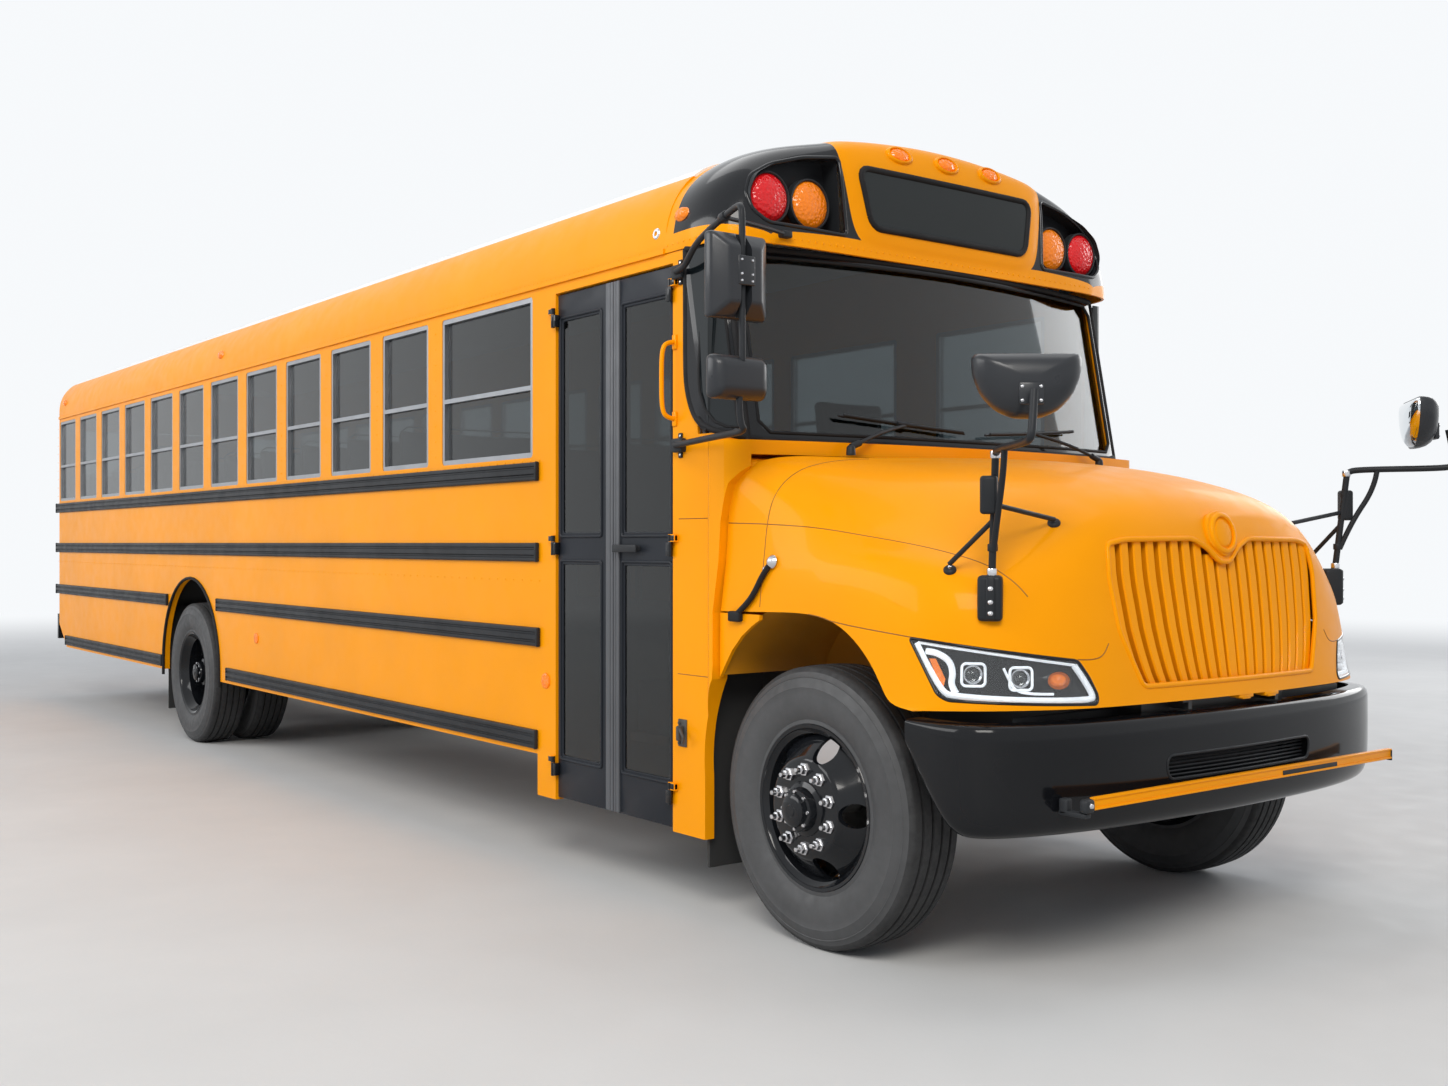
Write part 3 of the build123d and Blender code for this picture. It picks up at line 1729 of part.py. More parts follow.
finish(hood, "hood")


def nose_band(near, far):
    """The layer between two depths behind the hood's leaning front."""
    with BuildPart() as band:
        add(nose_form(near))
        add(nose_form(far), mode=Mode.SUBTRACT)
    return band.part


with BuildPart() as slats:
    for index in range(slat_count):
        share = (index + 0.5) / slat_count * 2 - 1
        foot_y = share * (grille_half_bottom - 20)
        head_y = share * (grille_half_top - 20)
        cross_plate(
            [
                (foot_y - slat_width / 2, grille_z[0]),
                (foot_y + slat_width / 2, grille_z[0]),
                (head_y + slat_width / 2, grille_z[1]),
                (head_y - slat_width / 2, grille_z[1]),
            ],
            nose_range,
        )

with BuildPart() as grille_rim:
    cross_plate(grille_outline, nose_range)
    cross_plate(
        [
            (-grille_half_bottom + 22, grille_z[0] + 14),
            (grille_half_bottom - 22, grille_z[0] + 14),
            (grille_half_top - 22, grille_z[1] - 14),
            (-grille_half_top + 22, grille_z[1] - 14),
        ],
        nose_range,
        mode=Mode.SUBTRACT,
    )

with BuildPart() as grille:
    add(slats.part)
    add(grille_rim.part)
    add(nose_band(12, grille_recess), mode=Mode.INTERSECT)
finish(grille, "grille")

with BuildPart() as headlamps:
    for side in (-1, 1):
        corners = [(side * y, z) for y, z in headlamp_outline]
        add(trapezoid(corners, nose_range))
    add(nose_band(3, 70), mode=Mode.INTERSECT)
finish(headlamps, "headlamps")


# Crossview mirrors on the fenders, each a half-moon head on a bent arm with two braces
crossview_box = ((715, 795), (985, 1065), (1230, 1372))
crossview_clamp = ((785, 825), (1050, 1098), (1570, 1692))
# columns: distance ahead of the front axle, distance from the middle, z
crossview_post = [(757, 1029, 1260), (803, 1059, 1755), (1149, 1285, 1768), (1132, 1256, 1930)]
crossview_braces = [
    ((790, 1048, 1560), (620, 1085, 1300)),
    ((792, 1050, 1610), (750, 718, 1480)),
    ((980, 1175, 1760), (775, 1041, 1480)),
]
crossview_head = (1034, 1165, 1853)
crossview_facing = (-0.78, -0.62)
crossview_bracket = (70, 70, 60)
crossview_bracket_place = (1108, 1250, 1920)
# columns: depth ahead of the rim, half width, height of the foot over the rim's, height
crossview_domes = [(0, 169.5, 0, 205), (25, 165, 4, 197), (90, 70, 55, 95)]


def half_moon(plane, depth, half_width, foot, height):
    """The outline of a half-moon mirror head at a depth ahead of its rim."""
    with BuildSketch(plane.offset(depth)) as outline:
        with BuildLine():
            ThreePointArc((-half_width, foot + height), (0, foot), (half_width, foot + height))
            Line((half_width, foot + height), (-half_width, foot + height))
        make_face()
    return outline.sketch


with BuildPart() as hood_mirrors:
    for side in (-1, 1):
        for x_range, y_range, z_range in (crossview_box, crossview_clamp):
            block(
                (station(x_range[0]), station(x_range[1])),
                (side * y_range[0], side * y_range[1]),
                z_range,
            )
        lines = list(zip(crossview_post, crossview_post[1:])) + crossview_braces
        for start, end in lines:
            (start_x, start_y, start_z), (end_x, end_y, end_z) = start, end
            rod(
                (station(start_x), side * start_y, start_z),
                (station(end_x), side * end_y, end_z),
                11,
            )
        for x, y, z in crossview_post[1:3]:
            with Locations((station(x), side * y, z)):
                Sphere(11)
        head_x, head_y, head_z = crossview_head
        facing = Vector(crossview_facing[0], side * crossview_facing[1], 0)
        head_plane = Plane(
            origin=(station(head_x), side * head_y, head_z),
            x_dir=Vector(0, 0, 1).cross(-facing),
            z_dir=-facing,
        )
        outlines = [half_moon(head_plane, *row) for row in crossview_domes]
        for near, far in zip(outlines, outlines[1:]):
            loft([near, far])
        bracket_x, bracket_y, bracket_z = crossview_bracket_place
        bracket_place = (station(bracket_x), side * bracket_y, bracket_z)
        with Locations(Plane(origin=bracket_place, x_dir=head_plane.x_dir, z_dir=-facing)):
            Box(*crossview_bracket)
    add(hood_envelope(-seat_gap), mode=Mode.SUBTRACT)
finish(hood_mirrors, "hood_mirrors")
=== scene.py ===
# %% [markdown]
# # A school bus
# This lesson dresses the plain solids of a school bus until they look like the real vehicle.
# The solids arrive as a fixed frame: every piece made here is placed in the same metres,
# with x forward, y to the driver's side and z up, and then rides on one of the frame's bodies.

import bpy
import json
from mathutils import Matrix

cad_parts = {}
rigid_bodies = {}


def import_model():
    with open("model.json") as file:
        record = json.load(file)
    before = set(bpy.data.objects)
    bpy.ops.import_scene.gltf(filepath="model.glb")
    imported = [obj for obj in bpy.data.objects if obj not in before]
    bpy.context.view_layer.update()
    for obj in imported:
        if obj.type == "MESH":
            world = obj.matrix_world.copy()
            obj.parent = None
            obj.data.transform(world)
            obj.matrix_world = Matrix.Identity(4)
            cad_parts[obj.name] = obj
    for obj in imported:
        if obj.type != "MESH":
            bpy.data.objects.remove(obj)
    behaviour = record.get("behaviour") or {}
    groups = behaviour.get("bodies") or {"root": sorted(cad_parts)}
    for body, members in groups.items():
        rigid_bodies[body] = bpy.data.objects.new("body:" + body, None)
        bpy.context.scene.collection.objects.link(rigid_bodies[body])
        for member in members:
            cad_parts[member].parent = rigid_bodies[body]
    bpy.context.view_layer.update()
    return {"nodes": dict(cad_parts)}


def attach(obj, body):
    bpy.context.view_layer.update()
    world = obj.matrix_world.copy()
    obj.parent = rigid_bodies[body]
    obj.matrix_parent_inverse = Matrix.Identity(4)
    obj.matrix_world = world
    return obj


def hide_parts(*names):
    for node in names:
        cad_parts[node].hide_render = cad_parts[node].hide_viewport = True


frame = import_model()

# %% Other modules
import json
import math

import bmesh
import bpy
from mathutils import Matrix, Vector
from mathutils.bvhtree import BVHTree

scene = bpy.context.scene
nodes_of = frame["nodes"]

# %% [markdown]
# ## Places along the bus
# Places along a bus are easiest to think of as distances ahead of its front axle,
# so one short function turns such a distance into the frame's x.

# %% Where the axles and the main faces are
FRONT_AXLE = 4.92
REAR_AXLE = FRONT_AXLE - 6.98
AXLE_HEIGHT = 0.515
SKIN = 1.195
WINDOW_PITCH = 0.727
PAINT_EDGE = 2.99
SIDES = (-1, 1)


def at(distance):
    return FRONT_AXLE + distance


REAR = at(-10.95)
print("rear axle at x =", REAR_AXLE)

# %% [markdown]
# ## Camera
# The picture is taken from low down at the entrance side, ahead of the front wheel, with the
# camera held level so that upright lines stay upright.

# %% Camera
camera_data = bpy.data.cameras.new("camera")
camera_data.sensor_width = 36.0
camera_data.lens = 36.0 * 1456.5 / 1448
camera_data.clip_end = 200
camera = bpy.data.objects.new("camera", camera_data)
camera.location = (8.92, -4.61, 1.475)
camera.rotation_euler = (math.radians(90), 0, math.radians(90 - 37.45))
scene.collection.objects.link(camera)
scene.camera = camera
print("lens", round(camera_data.lens, 2))

# %% [markdown]
# ## Nodes of shaders
# A shader is a small machine of nodes. One helper adds a node and feeds its inputs, either with plain
# values or with the outputs of nodes made before it.

# %% Adding a node


def add_node(tree, kind, feeds, **settings):
    """A new shader node, with its settings and what feeds its inputs."""
    made = tree.nodes.new("ShaderNode" + kind)
    for key, value in settings.items():
        setattr(made, key, value)
    feed(tree, made, feeds)
    return made


def feed(tree, made, feeds):
    """Give a node's inputs plain values or the outputs of other nodes."""
    for key, value in feeds.items():
        if isinstance(value, bpy.types.NodeSocket):
            tree.links.new(value, made.inputs[key])
        else:
            made.inputs[key].default_value = value


def rays_that_see(tree):
    """1 for a ray from the camera, off gloss or through glass, and 0 for light's other rays."""
    path = add_node(tree, "LightPath", {}).outputs
    direct = add_node(tree, "Math", {0: path["Is Camera Ray"], 1: path["Is Transmission Ray"]},
                      operation="MAXIMUM")
    return add_node(tree, "Math", {0: direct.outputs[0], 1: path["Is Glossy Ray"]},
                    operation="MAXIMUM").outputs[0]


print("node helpers ready")

# %% [markdown]
# ## Light and view
# A studio look needs a pale surround and large soft lamps. The surround is seen by the camera, by
# gloss and through glass, and lights the bus only gently, so colours stay true.

# %% World
SURROUND = (0.93, 0.95, 0.97, 1)
scene.view_settings.view_transform = "Standard"
world = bpy.data.worlds.new("surround")
scene.world = world
world.use_nodes = True
sky = world.node_tree
sky.nodes.clear()
sky_light = add_node(sky, "Background", {"Color": (0.82, 0.88, 1.0, 1), "Strength": 0.38})
sky_seen = add_node(sky, "Background", {"Color": SURROUND})
sky_mix = add_node(sky, "MixShader", {0: rays_that_see(sky), 1: sky_light.outputs[0], 2: sky_seen.outputs[0]})
add_node(sky, "OutputWorld", {0: sky_mix.outputs[0]})
print("world ready")

# %% Lamps
# columns: name, place, aim, width and height, power, colour
SOFT_LAMPS = [
    ("key", (13, -9, 10), (2.5, -0.5, 1.2), (7, 5), 1350, (1.0, 0.97, 0.92)),
    ("side", (-4, -14, 8), (-2, 0, 1.5), (14, 6), 1200, (1, 1, 1)),
    ("top", (0, 2, 14), (0, 0, 0), (16, 8), 460, (1, 1, 1)),
    ("far", (4, 13, 6), (2, 0, 1.5), (10, 5), 500, (1, 1, 1)),
]
for name, place, aim, size, power, colour in SOFT_LAMPS:
    data = bpy.data.lights.new(name, "AREA")
    data.shape = "RECTANGLE"
    data.size, data.size_y = size
    data.energy = power
    data.color = colour
    lamp = bpy.data.objects.new(name, data)
    lamp.location = place
    lamp.rotation_euler = (Vector(aim) - Vector(place)).to_track_quat("-Z", "Y").to_euler()
    scene.collection.objects.link(lamp)
print("soft lamps:", len(SOFT_LAMPS))

# %% [markdown]
# ## Finishes
# Every finish is a Principled shader fed by noise in Object coordinates: colour drifts a little over
# metres, roughness over decimetres, and a fine bump gives orange peel, grain or casting skin.

# %% A maker of finishes
# pieces look their finishes up here, as the solids bring plain materials with some of the same names
FINISHES = {}


def tint(colour, by=1):
    return tuple(min(1.0, max(0.0, c * by)) for c in colour[:3]) + (1.0,)


def own_place(tree):
    """Each point's place in its object's own metres."""
    return add_node(tree, "TexCoord", {}).outputs["Object"]


def noise(tree, scale, detail=3.0, stretch=None):
    place = own_place(tree)
    if stretch:
        place = add_node(tree, "Mapping", {"Scale": stretch, "Vector": place}).outputs["Vector"]
    return add_node(tree, "TexNoise", {"Scale": scale, "Detail": detail, "Vector": place}).outputs["Fac"]


def spread(tree, value, low, high):
    feeds = {"From Min": 0.3, "From Max": 0.7, "To Min": low, "To Max": high, "Value": value}
    return add_node(tree, "MapRange", feeds).outputs["Result"]


def two_tone(tree, value, low, high):
    ramp = add_node(tree, "ValToRGB", {"Fac": value})
    for stop, position, colour in zip(ramp.color_ramp.elements, (0.35, 0.65), (low, high)):
        stop.position = position
        stop.color = colour
    return ramp.outputs["Color"]


def finish_named(name, colour, rough, metal=0.0, coat=0.0, drift=0.05, scale=1.5,
                 grain=0.02, grain_scale=300.0, grain_stretch=None):
    """A surface whose colour and gloss drift a little and whose skin has a fine grain."""
    FINISHES[name] = mat = bpy.data.materials.new(name)
    mat.use_nodes = True
    tree = mat.node_tree
    skin_grain = noise(tree, grain_scale, 2.0, grain_stretch)
    bump = add_node(tree, "Bump", {"Strength": 1.0, "Distance": grain / 100, "Height": skin_grain})
    feed(tree, tree.nodes["Principled BSDF"], {
        "Metallic": metal, "Coat Weight": coat, "Coat Roughness": 0.04, "Normal": bump.outputs["Normal"],
        "Base Color": two_tone(tree, noise(tree, scale), tint(colour, 1 - drift), tint(colour, 1 + drift)),
        "Roughness": spread(tree, noise(tree, scale * 7), rough * 0.85, min(1.0, rough * 1.15))})
    return mat


YELLOW = (0.94, 0.335, 0.001)
WHITE = (0.86, 0.86, 0.84)
ORANGE_PEEL = dict(grain=0.006, grain_scale=90)
# columns: name, colour, roughness, what else differs from the usual finish
PLAIN_FINISHES = [
    ("yellow_paint", YELLOW, 0.38, dict(coat=0.22, drift=0.03, **ORANGE_PEEL)),
    ("white_paint", WHITE, 0.4, dict(coat=0.3, drift=0.04, **ORANGE_PEEL)),
    ("gloss_black", (0.008, 0.009, 0.011), 0.12, dict(coat=0.8, drift=0.2, grain=0.003, grain_scale=60)),
    ("satin_black", (0.022, 0.024, 0.027), 0.42, dict(drift=0.2, grain=0.01, grain_scale=500)),
    ("black_plastic", (0.026, 0.028, 0.031), 0.5, dict(drift=0.15, grain=0.03, grain_scale=900)),
    ("black_rubber", (0.016, 0.016, 0.017), 0.68, dict(drift=0.2, grain_scale=250)),
    ("bright_steel", (0.62, 0.62, 0.64), 0.2, dict(metal=1.0, drift=0.1, scale=20, grain=0.006)),
    ("sash_silver", (0.36, 0.37, 0.39), 0.38, dict(metal=1.0, drift=0.06, scale=6, grain=0.01,
                                                   grain_scale=700, grain_stretch=(0.05, 1, 1))),
    ("cast_iron", (0.075, 0.072, 0.068), 0.72, dict(metal=0.3, drift=0.3, scale=6, grain=0.12,
                                                    grain_scale=220)),
    ("floor_rubber", (0.045, 0.046, 0.048), 0.6, dict(drift=0.15, grain=0.05, grain_scale=60,
                                                      grain_stretch=(0.02, 1, 1))),
    ("seat_vinyl", (0.028, 0.036, 0.05), 0.45, dict(drift=0.12, scale=4, grain=0.05, grain_scale=350)),
    ("sign_red", (0.5, 0.006, 0.01), 0.35, dict(drift=0.06, grain=0.01)),
    ("seam_shade", (0.3, 0.1, 0.004), 0.6, dict(drift=0.1, grain=0.01)),
    # the arch liner is the fender's yellow darkened: painted shade for the shadow inside the wheel arch
    ("liner_paint", (0.5, 0.2, 0.006), 0.5, dict(drift=0.12)),
    ("tyre_rubber", (0.052, 0.053, 0.055), 0.62, dict(drift=0.12, scale=4, grain_scale=180)),
    ("tread_rubber", (0.024, 0.024, 0.025), 0.8, dict(drift=0.2, scale=5, grain=0.12, grain_scale=160)),
    ("door_grey", (0.02, 0.023, 0.029), 0.34, dict(drift=0.1, grain=0.008, grain_scale=400)),
    ("seal_grey", (0.085, 0.09, 0.1), 0.55, dict(drift=0.12, grain_scale=220)),
    ("quarter_tint", (0.01, 0.014, 0.016), 0.05, dict(coat=0.6, grain=0.0005, grain_scale=20)),
    ("mirror_face", (0.75, 0.78, 0.8), 0.03, dict(metal=1.0, drift=0.02, grain=0.0005, grain_scale=3)),
    ("mirror_shell", (0.022, 0.024, 0.028), 0.32, dict(coat=0.1, drift=0.1, grain=0.006,
                                                       grain_scale=500)),
    ("bumper_black", (0.006, 0.0065, 0.008), 0.14, dict(coat=0.35, drift=0.06, scale=1.2, grain=0.003,
                                                        grain_scale=30)),
    ("floor_finish", (0.62, 0.62, 0.61), 0.8, dict(drift=0.03, scale=0.7, grain=0.05, grain_scale=40)),
]
for name, colour, rough, others in PLAIN_FINISHES:
    finish_named(name, colour, rough, **others)
print("plain finishes:", len(PLAIN_FINISHES))

# %% [markdown]
# ## Glass and lenses
# Window glass is dark and lets a little of the cabin through; lamp lenses are coloured plastic with
# a pattern of small pillows moulded inside, which a cell texture makes as a bump.

# %% Glass and lenses


def clear_finish(name, colour, rough=0.03, through=1.0, pillows=False, glow=0.0):
    tree = finish_named(name, colour, rough, scale=0.8, grain=0.0005, grain_scale=3).node_tree
    feeds = {"Transmission Weight": through, "IOR": 1.45}
    if glow:
        feeds.update({"Emission Color": tint(colour), "Emission Strength": glow})
    if pillows:
        cells = add_node(tree, "TexVoronoi", {"Scale": 70, "Vector": own_place(tree)})
        bump = add_node(tree, "Bump", {"Distance": 0.004, "Height": cells.outputs["Distance"]})
        feeds["Normal"] = bump.outputs["Normal"]
    feed(tree, tree.nodes["Principled BSDF"], feeds)


clear_finish("window_glass", (0.2, 0.23, 0.24))
clear_finish("door_glass", (0.1, 0.125, 0.13))
clear_finish("sign_glass", (0.02, 0.024, 0.025), rough=0.15, through=0.0)
clear_finish("clear_lens", (0.93, 0.95, 0.97), rough=0.02)
clear_finish("red_lens", (0.75, 0.008, 0.012), rough=0.12, through=0.15, pillows=True, glow=0.12)
clear_finish("amber_lens", (1.0, 0.24, 0.004), rough=0.12, through=0.15, pillows=True, glow=0.15)
clear_finish("light_guide", (0.92, 0.95, 1.0), rough=0.2, through=0.0, glow=0.35)
print("finishes:", len(FINISHES))

# %% [markdown]
# ## Small tools for meshes
# Each maker returns a bmesh: a softened box, a turned ring, a cut-out plate or a bent tube. They are
# joined into one piece, which rides on its body and stands for the solids that it replaces.

# %% Joining forms and turning them


def add(bm, form, matrix=None):
    """Move one form into place and join it to a piece being built."""
    if matrix is not None:
        bmesh.ops.transform(form, matrix=matrix, verts=form.verts)
        if matrix.determinant() < 0:
            bmesh.ops.reverse_faces(form, faces=form.faces)
    carrier = bpy.data.meshes.new("carrier")
    form.to_mesh(carrier)
    form.free()
    bm.from_mesh(carrier)
    bpy.data.meshes.remove(carrier)
    return bm


def joined(*forms):
    """Several forms as one; a form may come with the matrix that places it."""
    whole = bmesh.new()
    for form in forms:
        add(whole, *(form if isinstance(form, tuple) else (form,)))
    return whole


def faced_out(form):
    bmesh.ops.recalc_face_normals(form, faces=form.faces[:])
    return form


def stood(form, *rows):
    """A form carried into place by the three rows of a matrix."""
    bmesh.ops.transform(form, matrix=Matrix((*rows, (0, 0, 0, 1))), verts=form.verts[:])
    return faced_out(form)


def placed(origin, forward, up=(0, 0, 1)):
    """The matrix that lays a form's own z along a direction, with its y as upright as it can be."""
    z_way = Vector(forward).normalized()
    x_way = Vector(up).cross(z_way).normalized()
    y_way = z_way.cross(x_way)
    return Matrix.Translation(origin) @ Matrix((x_way, y_way, z_way)).transposed().to_4x4()


MIRROR = Matrix.Diagonal((1, -1, 1, 1))


def both_sides(form):
    """One form on the right and its mirror image on the left."""
    return joined((form.copy(), MIRROR), form)


print("joining ready")

# %% Solid shapes


def softened(form, geom, offset, rounds, affect="EDGES", **others):
    """Round a form's edges or corners with the bevel operator."""
    bmesh.ops.bevel(form, geom=geom, offset=offset, segments=rounds, profile=0.5, affect=affect,
                    material=-1, **others)
    return form


def soft_box(x, y, z, soft=0.0, rounds=2):
    """A box between two places on each axis, with its edges rounded."""
    form = bmesh.new()
    size = [abs(b - a) for a, b in (x, y, z)]
    middle = [(a + b) / 2 for a, b in (x, y, z)]
    matrix = Matrix.Translation(middle) @ Matrix.Diagonal((*size, 1))
    bmesh.ops.create_cube(form, size=1.0, matrix=matrix)
    if soft:
        softened(form, form.edges[:], min(soft, min(size) * 0.45), rounds)
    return form


def boxes(*rows):
    """Softened boxes as one form: x ahead of the axle, y and z, each as from and to, softness, rounds."""
    return joined(*(soft_box((at(x0), at(x1)), (y0, y1), (z0, z1), *softness)
                    for x0, x1, y0, y1, z0, z1, *softness in rows))


def flat_outline(outline, corner=0.0, rounds=4):
    """A flat face cut to an outline, with its corners rounded."""
    form = bmesh.new()
    form.faces.new([form.verts.new((a, b, 0)) for a, b in outline])
    if corner:
        softened(form, form.verts[:], corner, rounds, "VERTICES", offset_type="OFFSET")
    return form


def rounded(outline, corner, steps=4):
    """An outline with its corners replaced by arcs."""
    form = flat_outline(outline, corner, steps)
    points = [tuple(loop.vert.co[:2]) for face in form.faces for loop in face.loops]
    form.free()
    return points


def plate(outline, thickness, corner=0.0, soft=0.0):
    """A plate cut to an outline in its own plane, thick towards its own z."""
    form = flat_outline(outline, corner)
    made = bmesh.ops.extrude_face_region(form, geom=form.faces[:])
    lifted = [v for v in made["geom"] if isinstance(v, bmesh.types.BMVert)]
    bmesh.ops.translate(form, vec=(0, 0, thickness), verts=lifted)
    faced_out(form)
    if soft:
        rims = [e for e in form.edges if abs(e.calc_face_angle(0)) > 0.9]
        softened(form, rims, soft, 2)
    return form


def oblong(a0, a1, b0, b1):
    return [(a0, b0), (a1, b0), (a1, b1), (a0, b1)]


def with_mirror_image(half):
    """One half of an outline, followed by its mirror image run the other way."""
    return half + [(-a, b) for a, b in reversed(half) if a]


print("an oblong's corners:", len(oblong(0, 2, 0, 1)))

# %% Turned shapes and tubes


def turned(profile, steps=64, closed=True):
    """A ring turned about its own z from radius and height."""
    form = bmesh.new()
    points = [form.verts.new((radius, 0, height)) for radius, height in profile]
    edges = [form.edges.new(pair) for pair in zip(points, points[1:])]
    if closed:
        edges.append(form.edges.new((points[-1], points[0])))
    bmesh.ops.spin(form, geom=points + edges, cent=(0, 0, 0), axis=(0, 0, 1), angle=math.tau,
                   steps=steps, use_merge=True)
    bmesh.ops.remove_doubles(form, verts=form.verts[:], dist=1e-5)
    return faced_out(form)


def knob(steps, *profile):
    """A knob, dome or bolt turned from an open line of radius and height."""
    return turned(profile, steps, closed=False)


def barrel(steps, radius, half, edge):
    """A short pin, collar or hinge barrel with softened ends."""
    ends = [(0, half), (radius - edge, half), (radius, half - 0.003)]
    return knob(steps, *ends, *((r, -height) for r, height in reversed(ends)))


def bolt(steps, height, flat, radius):
    """A low bolt head."""
    return knob(steps, (0, height), (flat, height - 0.001), (radius, 0))


def bent_tube(points, radius, sides=3, smooth=True):
    """A round tube along a line of points, bent smoothly or with sharp corners."""
    curve = bpy.data.curves.new("bend", "CURVE")
    curve.dimensions = "3D"
    curve.bevel_depth = radius
    curve.bevel_resolution = sides
    curve.resolution_u = 8
    curve.use_fill_caps = True
    line = curve.splines.new("NURBS" if smooth else "POLY")
    line.points.add(len(points) - 1)
    for point, place in zip(line.points, points):
        point.co = (*place, 1)
    if smooth:
        line.order_u = 3
        line.use_endpoint_u = True
    carrier = bpy.data.objects.new("bend", curve)
    scene.collection.objects.link(carrier)
    mesh = bpy.data.meshes.new_from_object(carrier)
    form = bmesh.new()
    form.from_mesh(mesh)
    bpy.data.objects.remove(carrier)
    bpy.data.curves.remove(curve)
    bpy.data.meshes.remove(mesh)
    bmesh.ops.remove_doubles(form, verts=form.verts[:], dist=1e-6)
    return form


def cord(points, radius, sides=3):
    """A tube that runs straight from point to point."""
    return bent_tube(points, radius, sides, smooth=False)


def ahead(points):
    """Points whose x is given ahead of the front axle."""
    return [(at(x), y, z) for x, y, z in points]


print("turning and bending ready")

# %% Objects and their modifiers


def loose_object(name, form):
    """An object made from a form, which is used up."""
    mesh = bpy.data.meshes.new(name)
    form.to_mesh(mesh)
    form.free()
    obj = bpy.data.objects.new(name, mesh)
    scene.collection.objects.link(obj)
    return obj


def taken_back(obj):
    """The form of an object, which is removed."""
    form = bmesh.new()
    form.from_mesh(obj.data)
    bpy.data.objects.remove(obj)
    return form


def settle(obj):
    """Apply the modifiers of an object."""
    bpy.context.view_layer.update()
    seen = obj.evaluated_get(bpy.context.evaluated_depsgraph_get())
    mesh = bpy.data.meshes.new_from_object(seen)
    old = obj.data
    obj.modifiers.clear()
    obj.data = mesh
    bpy.data.meshes.remove(old)


def round_off(obj, levels):
    """Subdivide an object and keep its outer corners sharp."""
    rounder = obj.modifiers.new("rounder", "SUBSURF")
    rounder.levels = rounder.render_levels = levels
    rounder.boundary_smooth = "PRESERVE_CORNERS"
    settle(obj)


def cut_away(obj, cutters):
    """Subtract closed forms from an object and keep the result as its mesh."""
    for form in cutters:
        cut = obj.modifiers.new("cut", "BOOLEAN")
        cut.operation = "DIFFERENCE"
        cut.solver = "EXACT"
        cut.object = loose_object("cutter", form)
    settle(obj)
    for tool in [o for o in bpy.data.objects if o.name.startswith("cutter")]:
        bpy.data.objects.remove(tool)


def carved(form, *cutters):
    """A form with other closed forms taken out of it."""
    obj = loose_object("carved", form)
    cut_away(obj, cutters)
    return taken_back(obj)


def walled(obj, thickness, cutters, even=False):
    """Give a skin a wall, inwards from its outer face, and cut openings in it."""
    wall = obj.modifiers.new("wall", "SOLIDIFY")
    wall.thickness = thickness
    wall.offset = -1
    wall.use_even_offset = even
    cut_away(obj, cutters)


print("modifier helpers ready")


def paint(mesh, finishes):
    """Give a mesh its finishes, unless it already has them."""
    if any(mesh.materials):
        return
    if len(mesh.materials):
        mesh.materials.clear()
    for finish in finishes.split():
        mesh.materials.append(FINISHES[finish])


def hand_over(obj, finishes, body="body", slot=None, hides=(), angle=40):
    """Smooth an object, give it its finishes and let it ride on a body."""
    mesh = obj.data
    mesh.shade_smooth()
    mesh.set_sharp_from_angle(angle=math.radians(angle))
    paint(mesh, finishes)
    if hides:
        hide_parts(*hides)
    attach(obj, body)
    print(obj.name, len(mesh.polygons), "faces")


def piece(name, form, finishes, body="body", **others):
    """Make a form into a piece of the bus."""
    hand_over(loose_object(name, form), finishes, body, **others)


# %% [markdown]
# ## Finishes for the solids that stay
# Many solids already have the right shape: walls, chassis, axles, glass. They only need their real
# finish, which goes into the slots of their objects and leaves their meshes alone.

# %% Finishes for solids
FINISH_OF_SOLIDS = {
    "yellow_paint": "wall_right wall_left rear_wall cowl crossing_arm rear_door",
    "white_paint": "hatch_front hatch_rear",
    "satin_black": "chassis_frame fuel_tank bumpers rub_rails door_rear_leaf door_front_leaf",
    "cast_iron": "front_axle rear_axle knuckle_right knuckle_left tie_rod engine driveline",
    "sash_silver": "window_sashes exhaust",
    "window_glass": "window_glass",
    "black_rubber": "mudflaps",
    "black_plastic": "dashboard steering_wheel side_mirrors hood_mirrors wipers",
    "floor_rubber": "floor wheel_housings entrance_steps",
    "seat_vinyl": "seats",
    "sign_red": "stop_arm",
    "amber_lens": "lamps",
    "gloss_black": "front_wheel_right front_wheel_left rear_wheels_right rear_wheels_left",
    "clear_lens": "headlamps",
}


def repaint(node, material):
    for place in nodes_of[node].material_slots:
        place.material = material
    nodes_of[node].data.shade_smooth()
    nodes_of[node].data.set_sharp_from_angle(angle=math.radians(30))


# where the solids brought a plain material of the same name, that one is found by its name
for finish, members in FINISH_OF_SOLIDS.items():
    for member in members.split():
        repaint(member, bpy.data.materials[finish])
print("solids repainted")

# %% [markdown]
# ## Hood
# The real hood is one moulded shell with both front fenders: a crowned middle, a soft crease on each
# side, a fender that swells over the wheel and a blunt nose. Eleven lines of points run from the
# middle of the hood to the edge of the wheel arch. Bridging them gives a coarse cage, a subdivision
# surface rounds it, and cutters open it for the grille and the lamps.

